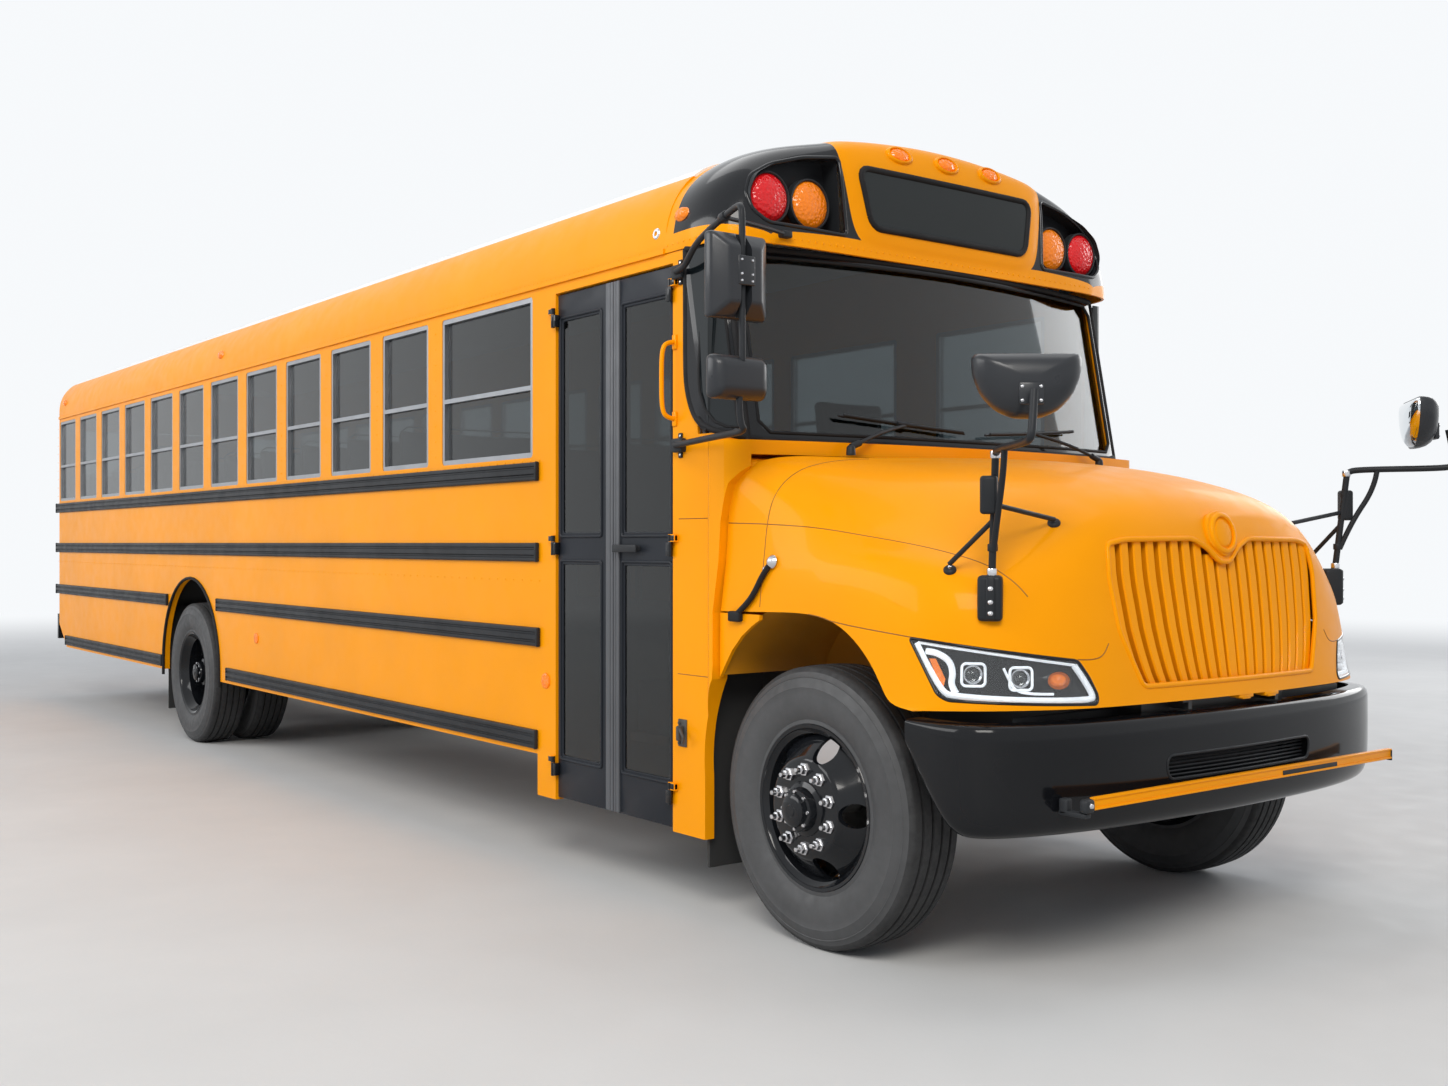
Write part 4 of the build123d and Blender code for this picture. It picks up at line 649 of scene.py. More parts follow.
# %% Lines of the hood's cage
# each row runs from the middle of the hood to the wheel arch: distance ahead of the axle, y, z
HOOD_ROWS = [
    [(-0.195, 0, 1.828), (-0.2, 0.36, 1.822), (-0.215, 0.7, 1.808), (-0.25, 0.92, 1.812),
     (-0.315, 1.08, 1.806), (-0.39, 1.18, 1.76), (-0.435, 1.192, 1.62), (-0.444, 1.19, 1.47),
     (-0.455, 1.193, 1.36), (-0.478, 1.196, 1.212)],
    [(-0.1, 0, 1.826), (-0.1, 0.36, 1.818), (-0.1, 0.69, 1.802), (-0.12, 0.9, 1.79), (-0.16, 1.05, 1.762),
     (-0.2, 1.152, 1.665), (-0.22, 1.174, 1.548), (-0.22, 1.183, 1.43), (-0.225, 1.193, 1.32),
     (-0.235, 1.198, 1.217)],
    [(0.12, 0, 1.812), (0.115, 0.35, 1.803), (0.1, 0.65, 1.782), (0.09, 0.84, 1.748), (0.07, 0.98, 1.675),
     (0.04, 1.085, 1.572), (0.02, 1.128, 1.528), (0, 1.178, 1.425), (-0.005, 1.2, 1.33),
     (-0.01, 1.203, 1.226)],
    [(0.38, 0, 1.782), (0.37, 0.33, 1.772), (0.35, 0.6, 1.748), (0.33, 0.77, 1.705), (0.31, 0.92, 1.61),
     (0.28, 1.035, 1.525), (0.265, 1.088, 1.495), (0.24, 1.168, 1.448), (0.2, 1.205, 1.345),
     (0.16, 1.208, 1.213)],
    [(0.61, 0, 1.733), (0.6, 0.31, 1.723), (0.58, 0.57, 1.698), (0.56, 0.72, 1.645), (0.54, 0.855, 1.555),
     (0.515, 0.975, 1.485), (0.5, 1.03, 1.457), (0.455, 1.135, 1.43), (0.375, 1.198, 1.335),
     (0.28, 1.208, 1.157)],
    [(0.78, 0, 1.682), (0.775, 0.3, 1.672), (0.76, 0.55, 1.645), (0.74, 0.68, 1.588), (0.72, 0.8, 1.5),
     (0.7, 0.91, 1.43), (0.68, 0.962, 1.403), (0.615, 1.09, 1.382), (0.51, 1.184, 1.3),
     (0.375, 1.208, 1.072)],
    [(0.885, 0, 1.617), (0.88, 0.3, 1.607), (0.865, 0.55, 1.578), (0.847, 0.675, 1.518),
     (0.825, 0.785, 1.44), (0.8, 0.88, 1.375), (0.775, 0.935, 1.348), (0.705, 1.065, 1.325),
     (0.58, 1.173, 1.25), (0.425, 1.208, 0.998)],
    [(0.93, 0, 1.51), (0.925, 0.3, 1.502), (0.91, 0.575, 1.475), (0.893, 0.69, 1.425),
     (0.875, 0.785, 1.355), (0.85, 0.87, 1.302), (0.825, 0.93, 1.28), (0.75, 1.055, 1.25),
     (0.61, 1.171, 1.185), (0.447, 1.208, 0.965)],
    [(0.955, 0, 1.33), (0.948, 0.3, 1.325), (0.928, 0.58, 1.305), (0.915, 0.695, 1.275),
     (0.897, 0.785, 1.24), (0.87, 0.875, 1.205), (0.845, 0.935, 1.19), (0.765, 1.058, 1.165),
     (0.628, 1.169, 1.115), (0.465, 1.208, 0.945)],
    [(0.983, 0, 1.12), (0.975, 0.3, 1.115), (0.953, 0.59, 1.105), (0.938, 0.7, 1.095), (0.918, 0.79, 1.085),
     (0.892, 0.875, 1.075), (0.867, 0.935, 1.07), (0.787, 1.063, 1.055), (0.655, 1.168, 1.02),
     (0.5, 1.207, 0.93)],
    [(1.005, 0, 0.935), (0.998, 0.3, 0.935), (0.975, 0.6, 0.935), (0.96, 0.72, 0.935), (0.942, 0.8, 0.935),
     (0.917, 0.88, 0.935), (0.888, 0.945, 0.935), (0.807, 1.073, 0.933), (0.68, 1.168, 0.929),
     (0.56, 1.199, 0.922)],
]
print("hood rows:", len(HOOD_ROWS))

# %% Sheets from rows of points


def chain(form, row):
    """A line of points joined by edges."""
    points = [form.verts.new(place) for place in ahead(row)]
    return [form.edges.new(pair) for pair in zip(points, points[1:])]


def closed_chain(form, places):
    points = [form.verts.new(place) for place in places]
    return [form.edges.new((points[i - 1], points[i])) for i in range(len(points))]


def bridged(form, loops):
    """A form with faces between each of its loops and the next."""
    for near, far in zip(loops, loops[1:]):
        bmesh.ops.bridge_loops(form, edges=near + far)
    return form


def sheet_through(rows):
    """A sheet of faces bridged through rows of points."""
    form = bmesh.new()
    return bridged(form, [chain(form, row) for row in rows])


def mirrored_whole(form):
    """The form with its other half."""
    bmesh.ops.mirror(form, geom=form.verts[:] + form.edges[:] + form.faces[:], matrix=Matrix.Identity(4),
                     merge_dist=0.001, axis="Y")
    faced_out(form)
    highest = max(form.faces, key=lambda face: face.calc_center_median().z)
    if highest.normal.z < 0:
        bmesh.ops.reverse_faces(form, faces=form.faces[:])
    return form


hood_shell = loose_object("hood_shell", mirrored_whole(sheet_through(HOOD_ROWS)))
round_off(hood_shell, 3)
print("hood skin", len(hood_shell.data.polygons), "faces")

# %% [markdown]
# ## Finding the surface
# Trim, lamps and rivets must sit exactly on skins that a subdivision has rounded. A ray cast at the
# finished skin gives the point and the direction of the surface there, as a fitter's hand would.

# %% Touching a skin


def skin_of(obj):
    """A tree of an object's faces that rays can be cast at."""
    bpy.context.view_layer.update()
    return BVHTree.FromObject(obj, bpy.context.evaluated_depsgraph_get())


def touch(skin, start, way):
    """The point and normal where a ray from a start meets a skin."""
    point, normal, _, _ = skin.ray_cast(Vector(start), Vector(way).normalized())
    if point is None:
        raise ValueError(f"no surface seen from {tuple(start)}")
    return point, normal if normal.dot(Vector(way)) < 0 else -normal


def front_of(skin, y, z):
    return touch(skin, (9.0, y, z), (-1, 0, 0))


def side_of(skin, x, z, side):
    return touch(skin, (x, side * 3.0, z), (0, -side, 0))


def eased(points, times=2):
    """A line of points with its corners cut until it bends softly."""
    for _ in range(times):
        cut = [points[0]]
        for near, far in zip(points, points[1:]):
            near, far = Vector(near), Vector(far)
            cut += [near.lerp(far, 0.25), near.lerp(far, 0.75)]
        points = cut + [points[-1]]
    return [Vector(point) for point in points]


def walk(points, step):
    """Evenly spread points along a line of points."""
    spread_out = [Vector(points[0])]
    for near, far in zip(points, points[1:]):
        near, far = Vector(near), Vector(far)
        count = max(1, round((far - near).length / step))
        spread_out += [near.lerp(far, (index + 1) / count) for index in range(count)]
    return spread_out


def snapped(skin, points, lift):
    """Points moved to the nearest place on a skin, then lifted off it."""
    found = [skin.find_nearest(Vector(point)) for point in points]
    return [place + normal * lift for place, normal, _, _ in found]


def draped(outline, thickness, onto):
    """A plate drawn flat, cut into a fine net and carried point by point onto a surface."""
    form = plate(outline, thickness)
    bmesh.ops.triangulate(form, faces=form.faces[:])
    bmesh.ops.subdivide_edges(form, edges=form.edges[:], cuts=3, use_grid_fill=True)
    for point in form.verts:
        a, b, depth = point.co
        point.co = onto(a, b, depth - thickness)
    return faced_out(form)


def laid_on_front(skin, outline, lift, thickness):
    """A plate drawn in y and z and laid on the front of a skin."""
    return draped(outline, thickness,
                  lambda y, z, depth: (front_of(skin, y, z)[0].x + lift + depth, y, z))


def cord_on_front(skin, outline, radius, lift=0.0):
    """A cord laid round a closed outline of y and z on the front of a skin."""
    ring = [(0, y, z) for y, z in outline] + [(0, *outline[0])]
    return cord([(front_of(skin, point.y, point.z)[0].x + lift, point.y, point.z)
                 for point in walk(ring, 0.03)], radius)


hood_skin = skin_of(hood_shell)
print("nose at", round(front_of(hood_skin, 0, 1.2)[0].x, 3))

# %% [markdown]
# ## Cutting holes in the hood
# The skin becomes a real shell with a Solidify modifier. Then Boolean modifiers take away prisms
# in the outline of the grille and the two headlamps. Each lamp has its own plane: it runs along the
# chord of the fender's corner, so a lamp drawing is given as distance along that chord and height.

# %% Cutters
GRILLE_SIDE = [(0.515, 0.992), (0.6, 1.18), (0.622, 1.36), (0.605, 1.472), (0.52, 1.488), (0.17, 1.492),
               (0.095, 1.46), (0.03, 1.408)]
GRILLE_OUTLINE = [(-0.515, 0.992)] + with_mirror_image(GRILLE_SIDE)[:-1]
LAMP_OUTLINE = [(-0.036, 1.16), (0.507, 1.089), (0.545, 1.035), (0.576, 0.972), (0.572, 0.946),
                (0.075, 0.962), (0.045, 0.98)]
LAMP_ORIGIN = Vector((at(0.6), -1.185, 0))
LAMP_ALONG = Vector((0.618, 0.786, 0)).normalized()
LAMP_UP = Vector((0, 0, 1))
LAMP_OUT = LAMP_ALONG.cross(LAMP_UP)


def nose_prism(outline, start, end):
    """A prism along the bus whose outline is given in y and z."""
    return stood(plate(outline, end - start), (0, 0, 1, at(start)), (1, 0, 0, 0), (0, 1, 0, 0))


grille_line = rounded(GRILLE_OUTLINE, 0.02)
lamp_line = rounded(LAMP_OUTLINE, 0.012)
turn = Matrix((LAMP_ALONG, LAMP_UP, LAMP_OUT)).transposed().to_4x4()
turn.translation = LAMP_ORIGIN - LAMP_OUT * 0.1
right_lamp = stood(plate(lamp_line, 0.4), *turn[:3])
left_lamp = joined((right_lamp.copy(), MIRROR))
walled(hood_shell, 0.014, [nose_prism(grille_line, 0.6, 1.2), right_lamp, left_lamp])
hand_over(hood_shell, "yellow_paint", "hood", hides=["hood"])

# %% [markdown]
# ## Seams, tails and liners of the hood
# Fine dark grooves show where the hood's mouldings join. They are thin cords sunk in the skin. Behind
# each wheel a flat tail closes the arch, and a liner inside keeps the wheel's spray off the engine.

# %% Grooves
HOOD_GROOVES = [
    [(-0.235, 1.19, 1.235), (-0.225, 1.185, 1.4), (-0.225, 1.17, 1.55), (-0.215, 1.13, 1.66),
     (-0.18, 1.06, 1.745), (-0.14, 0.95, 1.785), (-0.12, 0.75, 1.8)],
    [(-0.435, 1.175, 1.552), (-0.22, 1.165, 1.545), (0.02, 1.12, 1.528), (0.265, 1.085, 1.495),
     (0.5, 1.03, 1.457), (0.68, 0.96, 1.403), (0.775, 0.935, 1.348), (0.82, 0.92, 1.3)],
    [(0.05, 1.2, 1.216), (0.25, 1.2, 1.191), (0.4, 1.2, 1.177), (0.55, 1.19, 1.163)],
    [(0.918, 0.79, 1.093), (0.93, 0.73, 1.09), (0.935, 0.685, 1.1), (0.93, 0.655, 1.14)],
]
grooves = bmesh.new()
for line in HOOD_GROOVES:
    for side in SIDES:
        points = ahead([(x, side * y, z) for x, y, z in line])
        add(grooves, cord(snapped(hood_skin, walk(eased(points), 0.02), -0.0008), 0.0024, 1))
piece("hood_grooves", grooves, "seam_shade", "hood", angle=60)

# %% Arch tails and inner liners


def upright(form, y):
    """A form drawn in x and z, stood along the bus's side."""
    return stood(form, (1, 0, 0, 0), (0, 0, 1, y), (0, 1, 0, 0))


TAIL_OUTLINE = [(-0.48, 1.206), (-0.483, 0.955), (-0.452, 1.0), (-0.405, 1.065), (-0.345, 1.122),
                (-0.285, 1.162), (-0.24, 1.186), (-0.238, 1.206)]
LINER_ARCH = [(-0.475, 0.965), (-0.46, 1.02), (-0.4, 1.1), (-0.32, 1.17), (-0.2, 1.222), (-0.05, 1.248),
              (0.09, 1.244), (0.2, 1.215), (0.3, 1.16), (0.385, 1.08), (0.44, 1.01), (0.475, 0.955)]
INNER_Y = -0.66
tail = upright(plate([(at(x), z) for x, z in TAIL_OUTLINE], 0.016), -1.197)
liner = sheet_through([[(x, y, z) for x, z in LINER_ARCH] for y in (-1.185, -1.1, -0.9, INNER_Y)])
add(liner, upright(plate([(at(x), z) for x, z in LINER_ARCH], 0.006), INNER_Y))
piece("arch_tails", both_sides(tail), "yellow_paint", "hood")
# the liner's darker yellow is painted shade, as the inside of the arch lies in shadow
piece("arch_liners", both_sides(faced_out(liner)), "liner_paint", "hood")


# %% [markdown]
# ## Grille
# The grille is a row of flat upright blades with dark air between them, in an opening with a soft
# raised lip. The lip dips in the middle under a round boss, which is left blank here. One blade is a
# lofted strip, and its copies fan out a little from the bottom to the top.

# %% The opening's shape
nose_sheet = joined(mirrored_whole(sheet_through(HOOD_ROWS[5:])))
nose_skin = BVHTree.FromBMesh(nose_sheet)
nose_sheet.free()
# columns: height, half of the opening's width
GRILLE_SIDES = [(0.985, 0.525), (1.02, 0.545), (1.1, 0.575), (1.18, 0.597), (1.36, 0.62), (1.5, 0.612)]
GRILLE_FOOT = 0.985
BLADE_PITCHES = 9.5
BLADE_STEPS = 10


def grille_top(y):
    """The height of the opening's upper edge across the nose."""
    across = abs(y)
    if across < 0.17:
        return 1.408 + 0.084 * min(1.0, max(0.0, (across - 0.03) / 0.13))
    return 1.492 - 0.02 * ((across - 0.17) / 0.43) ** 2


def grille_half(z):
    """Half the opening's width at a height."""
    for (low, narrow), (high, wide) in zip(GRILLE_SIDES, GRILLE_SIDES[1:]):
        if z <= high:
            return narrow + (wide - narrow) * (z - low) / (high - low)
    return GRILLE_SIDES[-1][1]


print("widest half of the grille:", max(half for _, half in GRILLE_SIDES))

# %% Grille blades


def blade_form(index, fill):
    """An upright blade with a flat face that follows the nose and the opening's side."""
    top = grille_top(index / BLADE_PITCHES * 0.612) + 0.004
    blade = bmesh.new()
    loops = []
    for step in range(BLADE_STEPS + 1):
        z = GRILLE_FOOT + (top - GRILLE_FOOT) * step / BLADE_STEPS
        pitch = grille_half(z) / BLADE_PITCHES
        y, half = index * pitch, pitch * fill / 2
        x = front_of(nose_skin, y, z)[0].x - FRONT_AXLE - 0.018
        line = chain(blade, [
            (x - 0.05, y - half * 0.55, z), (x - 0.006, y - half, z), (x, y - half + 0.004, z),
            (x + 0.001, y + half - 0.004, z), (x - 0.005, y + half, z), (x - 0.05, y + half * 0.55, z)])
        line.append(blade.edges.new((line[-1].verts[1], line[0].verts[0])))
        loops.append(line)
    bridged(blade, loops)
    bmesh.ops.holes_fill(blade, edges=blade.edges[:], sides=6)
    return faced_out(blade)


grille = joined(*(blade_form(index, 0.62 if index else 0.8) for index in range(-9, 10)))
print("blades", len(grille.faces), "faces")

# %% Grille lip, boss and the black sheet of painted shade behind
BOSS_Z = 1.505
BOSS_SIDE = [(0, 1.415), (0.045, 1.44), (0.088, 1.475), (0.092, 1.525), (0.062, 1.575), (0, 1.592)]
boss_place = placed((front_of(hood_skin, 0, BOSS_Z)[0].x - 0.02, 0, BOSS_Z), (0.96, 0, 0.2))
boss_line = [(y, z - BOSS_Z) for y, z in rounded(with_mirror_image(BOSS_SIDE), 0.02, 3)]
ring = turned([(0.058, 0.028), (0.058, 0.036), (0.062, 0.04), (0.07, 0.04), (0.075, 0.036),
               (0.077, 0.028)], 48)
disc = knob(48, (0, 0.037), (0.04, 0.036), (0.05, 0.033), (0.054, 0.028), (0.054, 0.02), (0, 0.02))
add(grille, cord_on_front(hood_skin, grille_line, 0.01, -0.003))
add(grille, plate(boss_line, 0.03, soft=0.007), boss_place)
add(grille, ring, boss_place)
add(grille, disc, boss_place)
piece("grille_blades", grille, "yellow_paint", "hood", hides=["grille"])
# a satin black sheet behind the blades is painted shade: it stands for the dark gaps behind the grille
shade_sheet_line = [(y * 1.02, 1.24 + (z - 1.24) * 1.04) for y, z in GRILLE_OUTLINE]
piece("air_screen", laid_on_front(nose_skin, shade_sheet_line, -0.072, 0.004), "satin_black", "hood")

# %% [markdown]
# ## Headlamps
# A headlamp is a dark bowl behind a clear cover, with a glowing white outline, a bright curve, two
# square projectors and an orange turn lamp. The parts lie at chosen depths under the hood's skin.

# %% Drawing on a lamp


def on_lamp(a, z, lift=0.0):
    """The place on the skin at a distance along the lamp's chord and a height, moved out by a lift."""
    start = LAMP_ORIGIN + LAMP_ALONG * a + LAMP_UP * z + LAMP_OUT * 0.5
    return touch(hood_skin, start, -LAMP_OUT)[0] + LAMP_OUT * lift


def lamp_tube(points, radius, lift, closed=False):
    line = [(a, z, 0) for a, z in points]
    line = walk(line + [line[0]] if closed else eased(line), 0.012)
    return cord([on_lamp(point.x, point.y, lift) for point in line], radius)


def lamp_sheet(outline, lift, thickness):
    """A plate in a lamp outline that follows the skin at a depth."""
    return draped(outline, thickness, lambda a, z, depth: on_lamp(a, z, lift + depth))


def lamp_wall(outline, near, far):
    """The wall of a lamp's bowl between two depths, drawn in a little at the second."""
    form = bmesh.new()
    middle_a, middle_z = (sum(values) / len(outline) for values in zip(*outline))
    bridged(form, [closed_chain(form, [
        on_lamp(middle_a + (a - middle_a) * draw, middle_z + (z - middle_z) * draw, lift)
        for a, z in outline]) for lift, draw in ((near, 1.0), (far, 0.96))])
    return faced_out(form)


def at_lamp(a, z, depth, squash=1.0):
    """The matrix that faces a round part out of the lamp."""
    return placed(on_lamp(a, z, depth), LAMP_OUT) @ Matrix.Diagonal((1.0, squash, 1.0, 1.0))


housing = joined(lamp_wall(lamp_line, 0.0, -0.045), lamp_sheet(lamp_line, -0.04, 0.006),
                 lamp_tube(lamp_line, 0.0055, -0.002, closed=True))
cover = lamp_sheet(lamp_line, 0.0, 0.003)
# columns: points along the chord and up, radius, depth
GUIDE_LINES = [
    ([(-0.012, 1.142), (0.02, 1.07), (0.066, 0.984), (0.1, 0.976), (0.3, 0.965), (0.553, 0.959),
      (0.562, 0.972), (0.527, 1.03), (0.497, 1.072)], 0.0105, -0.016),
    ([(0.497, 1.074), (0.26, 1.109), (-0.008, 1.146)], 0.005, -0.012),
    ([(0.018, 1.118), (0.05, 1.114), (0.088, 1.09), (0.098, 1.05), (0.09, 1.015), (0.105, 0.985)],
     0.011, -0.018),
    ([(0.257, 1.068), (0.274, 1.029), (0.295, 0.994), (0.345, 0.985), (0.42, 0.983)], 0.0045, -0.016),
]
guide = joined(*(lamp_tube(*line) for line in GUIDE_LINES))
projector, chrome = bmesh.new(), bmesh.new()
for a, z in ((0.16, 1.046), (0.312, 1.034)):
    square = [(a - 0.038, z - 0.036), (a + 0.036, z - 0.036), (a + 0.038, z + 0.036), (a - 0.035, z + 0.036)]
    add(guide, lamp_tube(rounded(square, 0.014), 0.0048, -0.012, closed=True))
    bezel = turned([(0.031, 0.012), (0.028, 0.012), (0.025, 0.0), (0.031, 0.0)], 32)
    ball = knob(32, (0, 0.024), (0.01, 0.022), (0.019, 0.014), (0.025, 0.0), (0.0, -0.004))
    add(chrome, bezel, at_lamp(a, z, -0.032))
    add(projector, ball, at_lamp(a, z, -0.032))
bowl = turned([(0.036, 0.022), (0.031, 0.012), (0.018, 0.002), (0, 0.0), (0, -0.002), (0.038, -0.002)], 32)
add(chrome, bowl, at_lamp(0.44, 1.026, -0.034, 0.8))
bulb = knob(28, (0, 0.024), (0.016, 0.02), (0.025, 0.01), (0.027, 0.001), (0, 0.001))
marker = lamp_sheet([(0.026, 1.094), (0.046, 1.094), (0.074, 1.03), (0.068, 1.006), (0.058, 1.006)],
                    -0.02, 0.006)
turn_lamp = joined((bulb, at_lamp(0.44, 1.026, -0.032, 0.8)), marker)
print("headlamp parts ready")

# %% Both headlamps
piece("lamp_housings", both_sides(housing), "gloss_black", "hood", slot="lamp_clear", hides=["headlamps"])
piece("lamp_covers", both_sides(cover), "clear_lens", "hood")
piece("lamp_guides", both_sides(guide), "light_guide", "hood", angle=60)
piece("lamp_projectors", both_sides(projector), "clear_lens", "hood")
piece("lamp_bowls", both_sides(chrome), "bright_steel", "hood", slot="lamp_clear")
piece("turn_lamps", both_sides(turn_lamp), "amber_lens", "hood")

# %% [markdown]
# ## Wheels and tyres
# Both are turned shapes, so each is a profile spun about the axle. The tread has four deep grooves
# round it; the disc of a front wheel bulges outwards and carries ten nuts round its hub.

# %% Profiles
# all profiles in radius and height along the axle
TYRE_PROFILE = [(0.29, 0.1), (0.296, 0.112), (0.305, 0.116), (0.318, 0.114), (0.335, 0.124), (0.36, 0.131),
                (0.385, 0.1345), (0.41, 0.1348), (0.432, 0.1338), (0.436, 0.135), (0.44, 0.1336),
                (0.458, 0.129), (0.47, 0.1235), (0.473, 0.1245), (0.476, 0.121), (0.492, 0.114),
                (0.502, 0.109), (0.5075, 0.104), (0.511, 0.097), (0.5125, 0.072), (0.5, 0.07), (0.5, 0.062),
                (0.5135, 0.06), (0.5145, 0.028), (0.501, 0.026), (0.501, 0.018), (0.515, 0.016)]
RIM_PROFILE = [(0.268, 0.1), (0.286, 0.112), (0.2885, 0.117), (0.301, 0.119), (0.303, 0.116),
               (0.301, 0.113), (0.29, 0.106), (0.289, 0.06), (0.262, 0.03), (0.262, -0.06), (0.289, -0.09),
               (0.29, -0.104), (0.301, -0.113), (0.303, -0.116), (0.301, -0.119), (0.286, -0.112),
               (0.276, -0.09), (0.25, -0.06), (0.25, 0.03)]
DISC_PROFILE = [(0.262, 0.075), (0.245, 0.092), (0.215, 0.118), (0.19, 0.143), (0.182, 0.151),
                (0.172, 0.154), (0.06, 0.154), (0.06, 0.14), (0.168, 0.14), (0.176, 0.136), (0.205, 0.108),
                (0.238, 0.08), (0.262, 0.062)]
HUB_PROFILE = [(0, 0.226), (0.02, 0.226), (0.024, 0.222), (0.05, 0.221), (0.058, 0.215), (0.06, 0.2),
               (0.074, 0.198), (0.078, 0.19), (0.08, 0.165), (0.098, 0.158), (0.1, 0.1545), (0.1, 0.09),
               (0, 0.09)]
NUT_PROFILE = [(0, 0.046), (0.008, 0.045), (0.0105, 0.04), (0.0105, 0.026), (0.0165, 0.024),
               (0.0185, 0.018), (0.0185, 0.008), (0.025, 0.007), (0.025, 0)]
print("profiles:", len(TYRE_PROFILE), len(RIM_PROFILE), len(DISC_PROFILE))

# %% Tyres
TREAD_FROM = 0.496
# columns of each place: x, y, outward way
WHEEL_PLACES = {
    "front_wheel_right": [(FRONT_AXLE, -1.025, -1)], "front_wheel_left": [(FRONT_AXLE, 1.025, 1)],
    "rear_wheels_right": [(REAR_AXLE, -1.055, -1), (REAR_AXLE, -0.73, -1)],
    "rear_wheels_left": [(REAR_AXLE, 1.055, 1), (REAR_AXLE, 0.73, 1)],
}


def wheel_place(x, y, outward):
    return placed((x, y, AXLE_HEIGHT), (0, outward, 0))


def tyre_form():
    form = turned(TYRE_PROFILE + [(radius, -height) for radius, height in reversed(TYRE_PROFILE)], 96)
    for face in form.faces:
        reach = face.calc_center_median().to_2d().length
        face.material_index = 1 if reach > TREAD_FROM else 0
    return form


for body, places in WHEEL_PLACES.items():
    tyres = joined(*((tyre_form(), wheel_place(*place)) for place in places))
    node = body.replace("wheels", "tyres").replace("wheel", "tyre")
    piece(body.replace("wheel", "tread"), tyres, "tyre_rubber tread_rubber", body, hides=[node], angle=32)

# %% Wheel discs with hand holes


def round_the_axle(count, radius, height=0.0, phase=0.0):
    """Places spread evenly on a circle."""
    angles = [math.tau * (index + phase) / count for index in range(count)]
    return [Matrix.Translation((radius * math.cos(angle), radius * math.sin(angle), height))
            for angle in angles]


def disc_form():
    """A rim with its dished disc, pierced by round hand holes."""
    tools = [joined((knob(32, (0, -0.2), (0.044, -0.2), (0.044, 0.3), (0, 0.3)), shift))
             for shift in round_the_axle(5, 0.222)]
    return joined(turned(RIM_PROFILE, 80), carved(turned(DISC_PROFILE, 80), *tools))


disc_pattern = disc_form()
print("disc", len(disc_pattern.faces))

# %% Wheels and hubs
for body, places in WHEEL_PLACES.items():
    front = body.startswith("front")
    outer = wheel_place(*places[0])
    discs, nuts = bmesh.new(), bmesh.new()
    for order, (x, y, outward) in enumerate(places):
        add(discs, disc_pattern.copy(), wheel_place(x, y, outward if front or order else -outward))
    for shift in round_the_axle(10, 0.143, 0.154 if front else -0.14, 0.5):
        add(nuts, knob(6, *NUT_PROFILE), outer @ shift)
    hub = knob(48, *HUB_PROFILE)
    if not front:
        bmesh.ops.translate(hub, vec=(0, 0, -0.12), verts=hub.verts[:])
    add(discs, hub, outer)
    for shift in round_the_axle(8, 0.067, 0.196 if front else 0.076):
        add(nuts, knob(6, (0, 0.01), (0.006, 0.01), (0.008, 0.006), (0.008, 0)), outer @ shift)
    piece(body + "_disc", discs, "gloss_black", body, hides=[body], angle=35)
    piece(body + "_nuts", nuts, "bright_steel", body, slot="gloss_black", angle=35)

# %% [markdown]
# ## Roof paint
# The sides of the roof curve in yellow up to a masked line, and only the top is white, to keep the
# cabin cool. The line is a fixed height, so the finish compares the height of each point with it.

# %% Two coats on the roof
roof_paint = finish_named("roof_paint", YELLOW, 0.38, coat=0.22, drift=0.03, **ORANGE_PEEL)
roof_tree = roof_paint.node_tree
roof_shader = roof_tree.nodes["Principled BSDF"]
height = add_node(roof_tree, "SeparateXYZ", {0: own_place(roof_tree)}).outputs["Z"]
masked = add_node(roof_tree, "Math", {0: height, 1: PAINT_EDGE}, operation="GREATER_THAN")
two_coats = add_node(roof_tree, "Mix", {0: masked.outputs[0]}, data_type="RGBA")
feed(roof_tree, two_coats, {
    6: roof_shader.inputs["Base Color"].links[0].from_socket,
    7: two_tone(roof_tree, noise(roof_tree, 1.2), tint(WHITE, 0.95), tint(WHITE, 1.04))})
feed(roof_tree, roof_shader, {"Base Color": two_coats.outputs[2]})
repaint("roof", roof_paint)
print("roof masked at", PAINT_EDGE, "m")

# %% [markdown]
# ## Front cap
# A moulded cap closes the roof over the windshield. Its corners are glossy black pods, its middle is
# yellow, and a riveted yellow strip runs along its foot. One cage of rows from the roof joint round
# to the face is bridged, mirrored and subdivided; its faces carry the paints from the start.

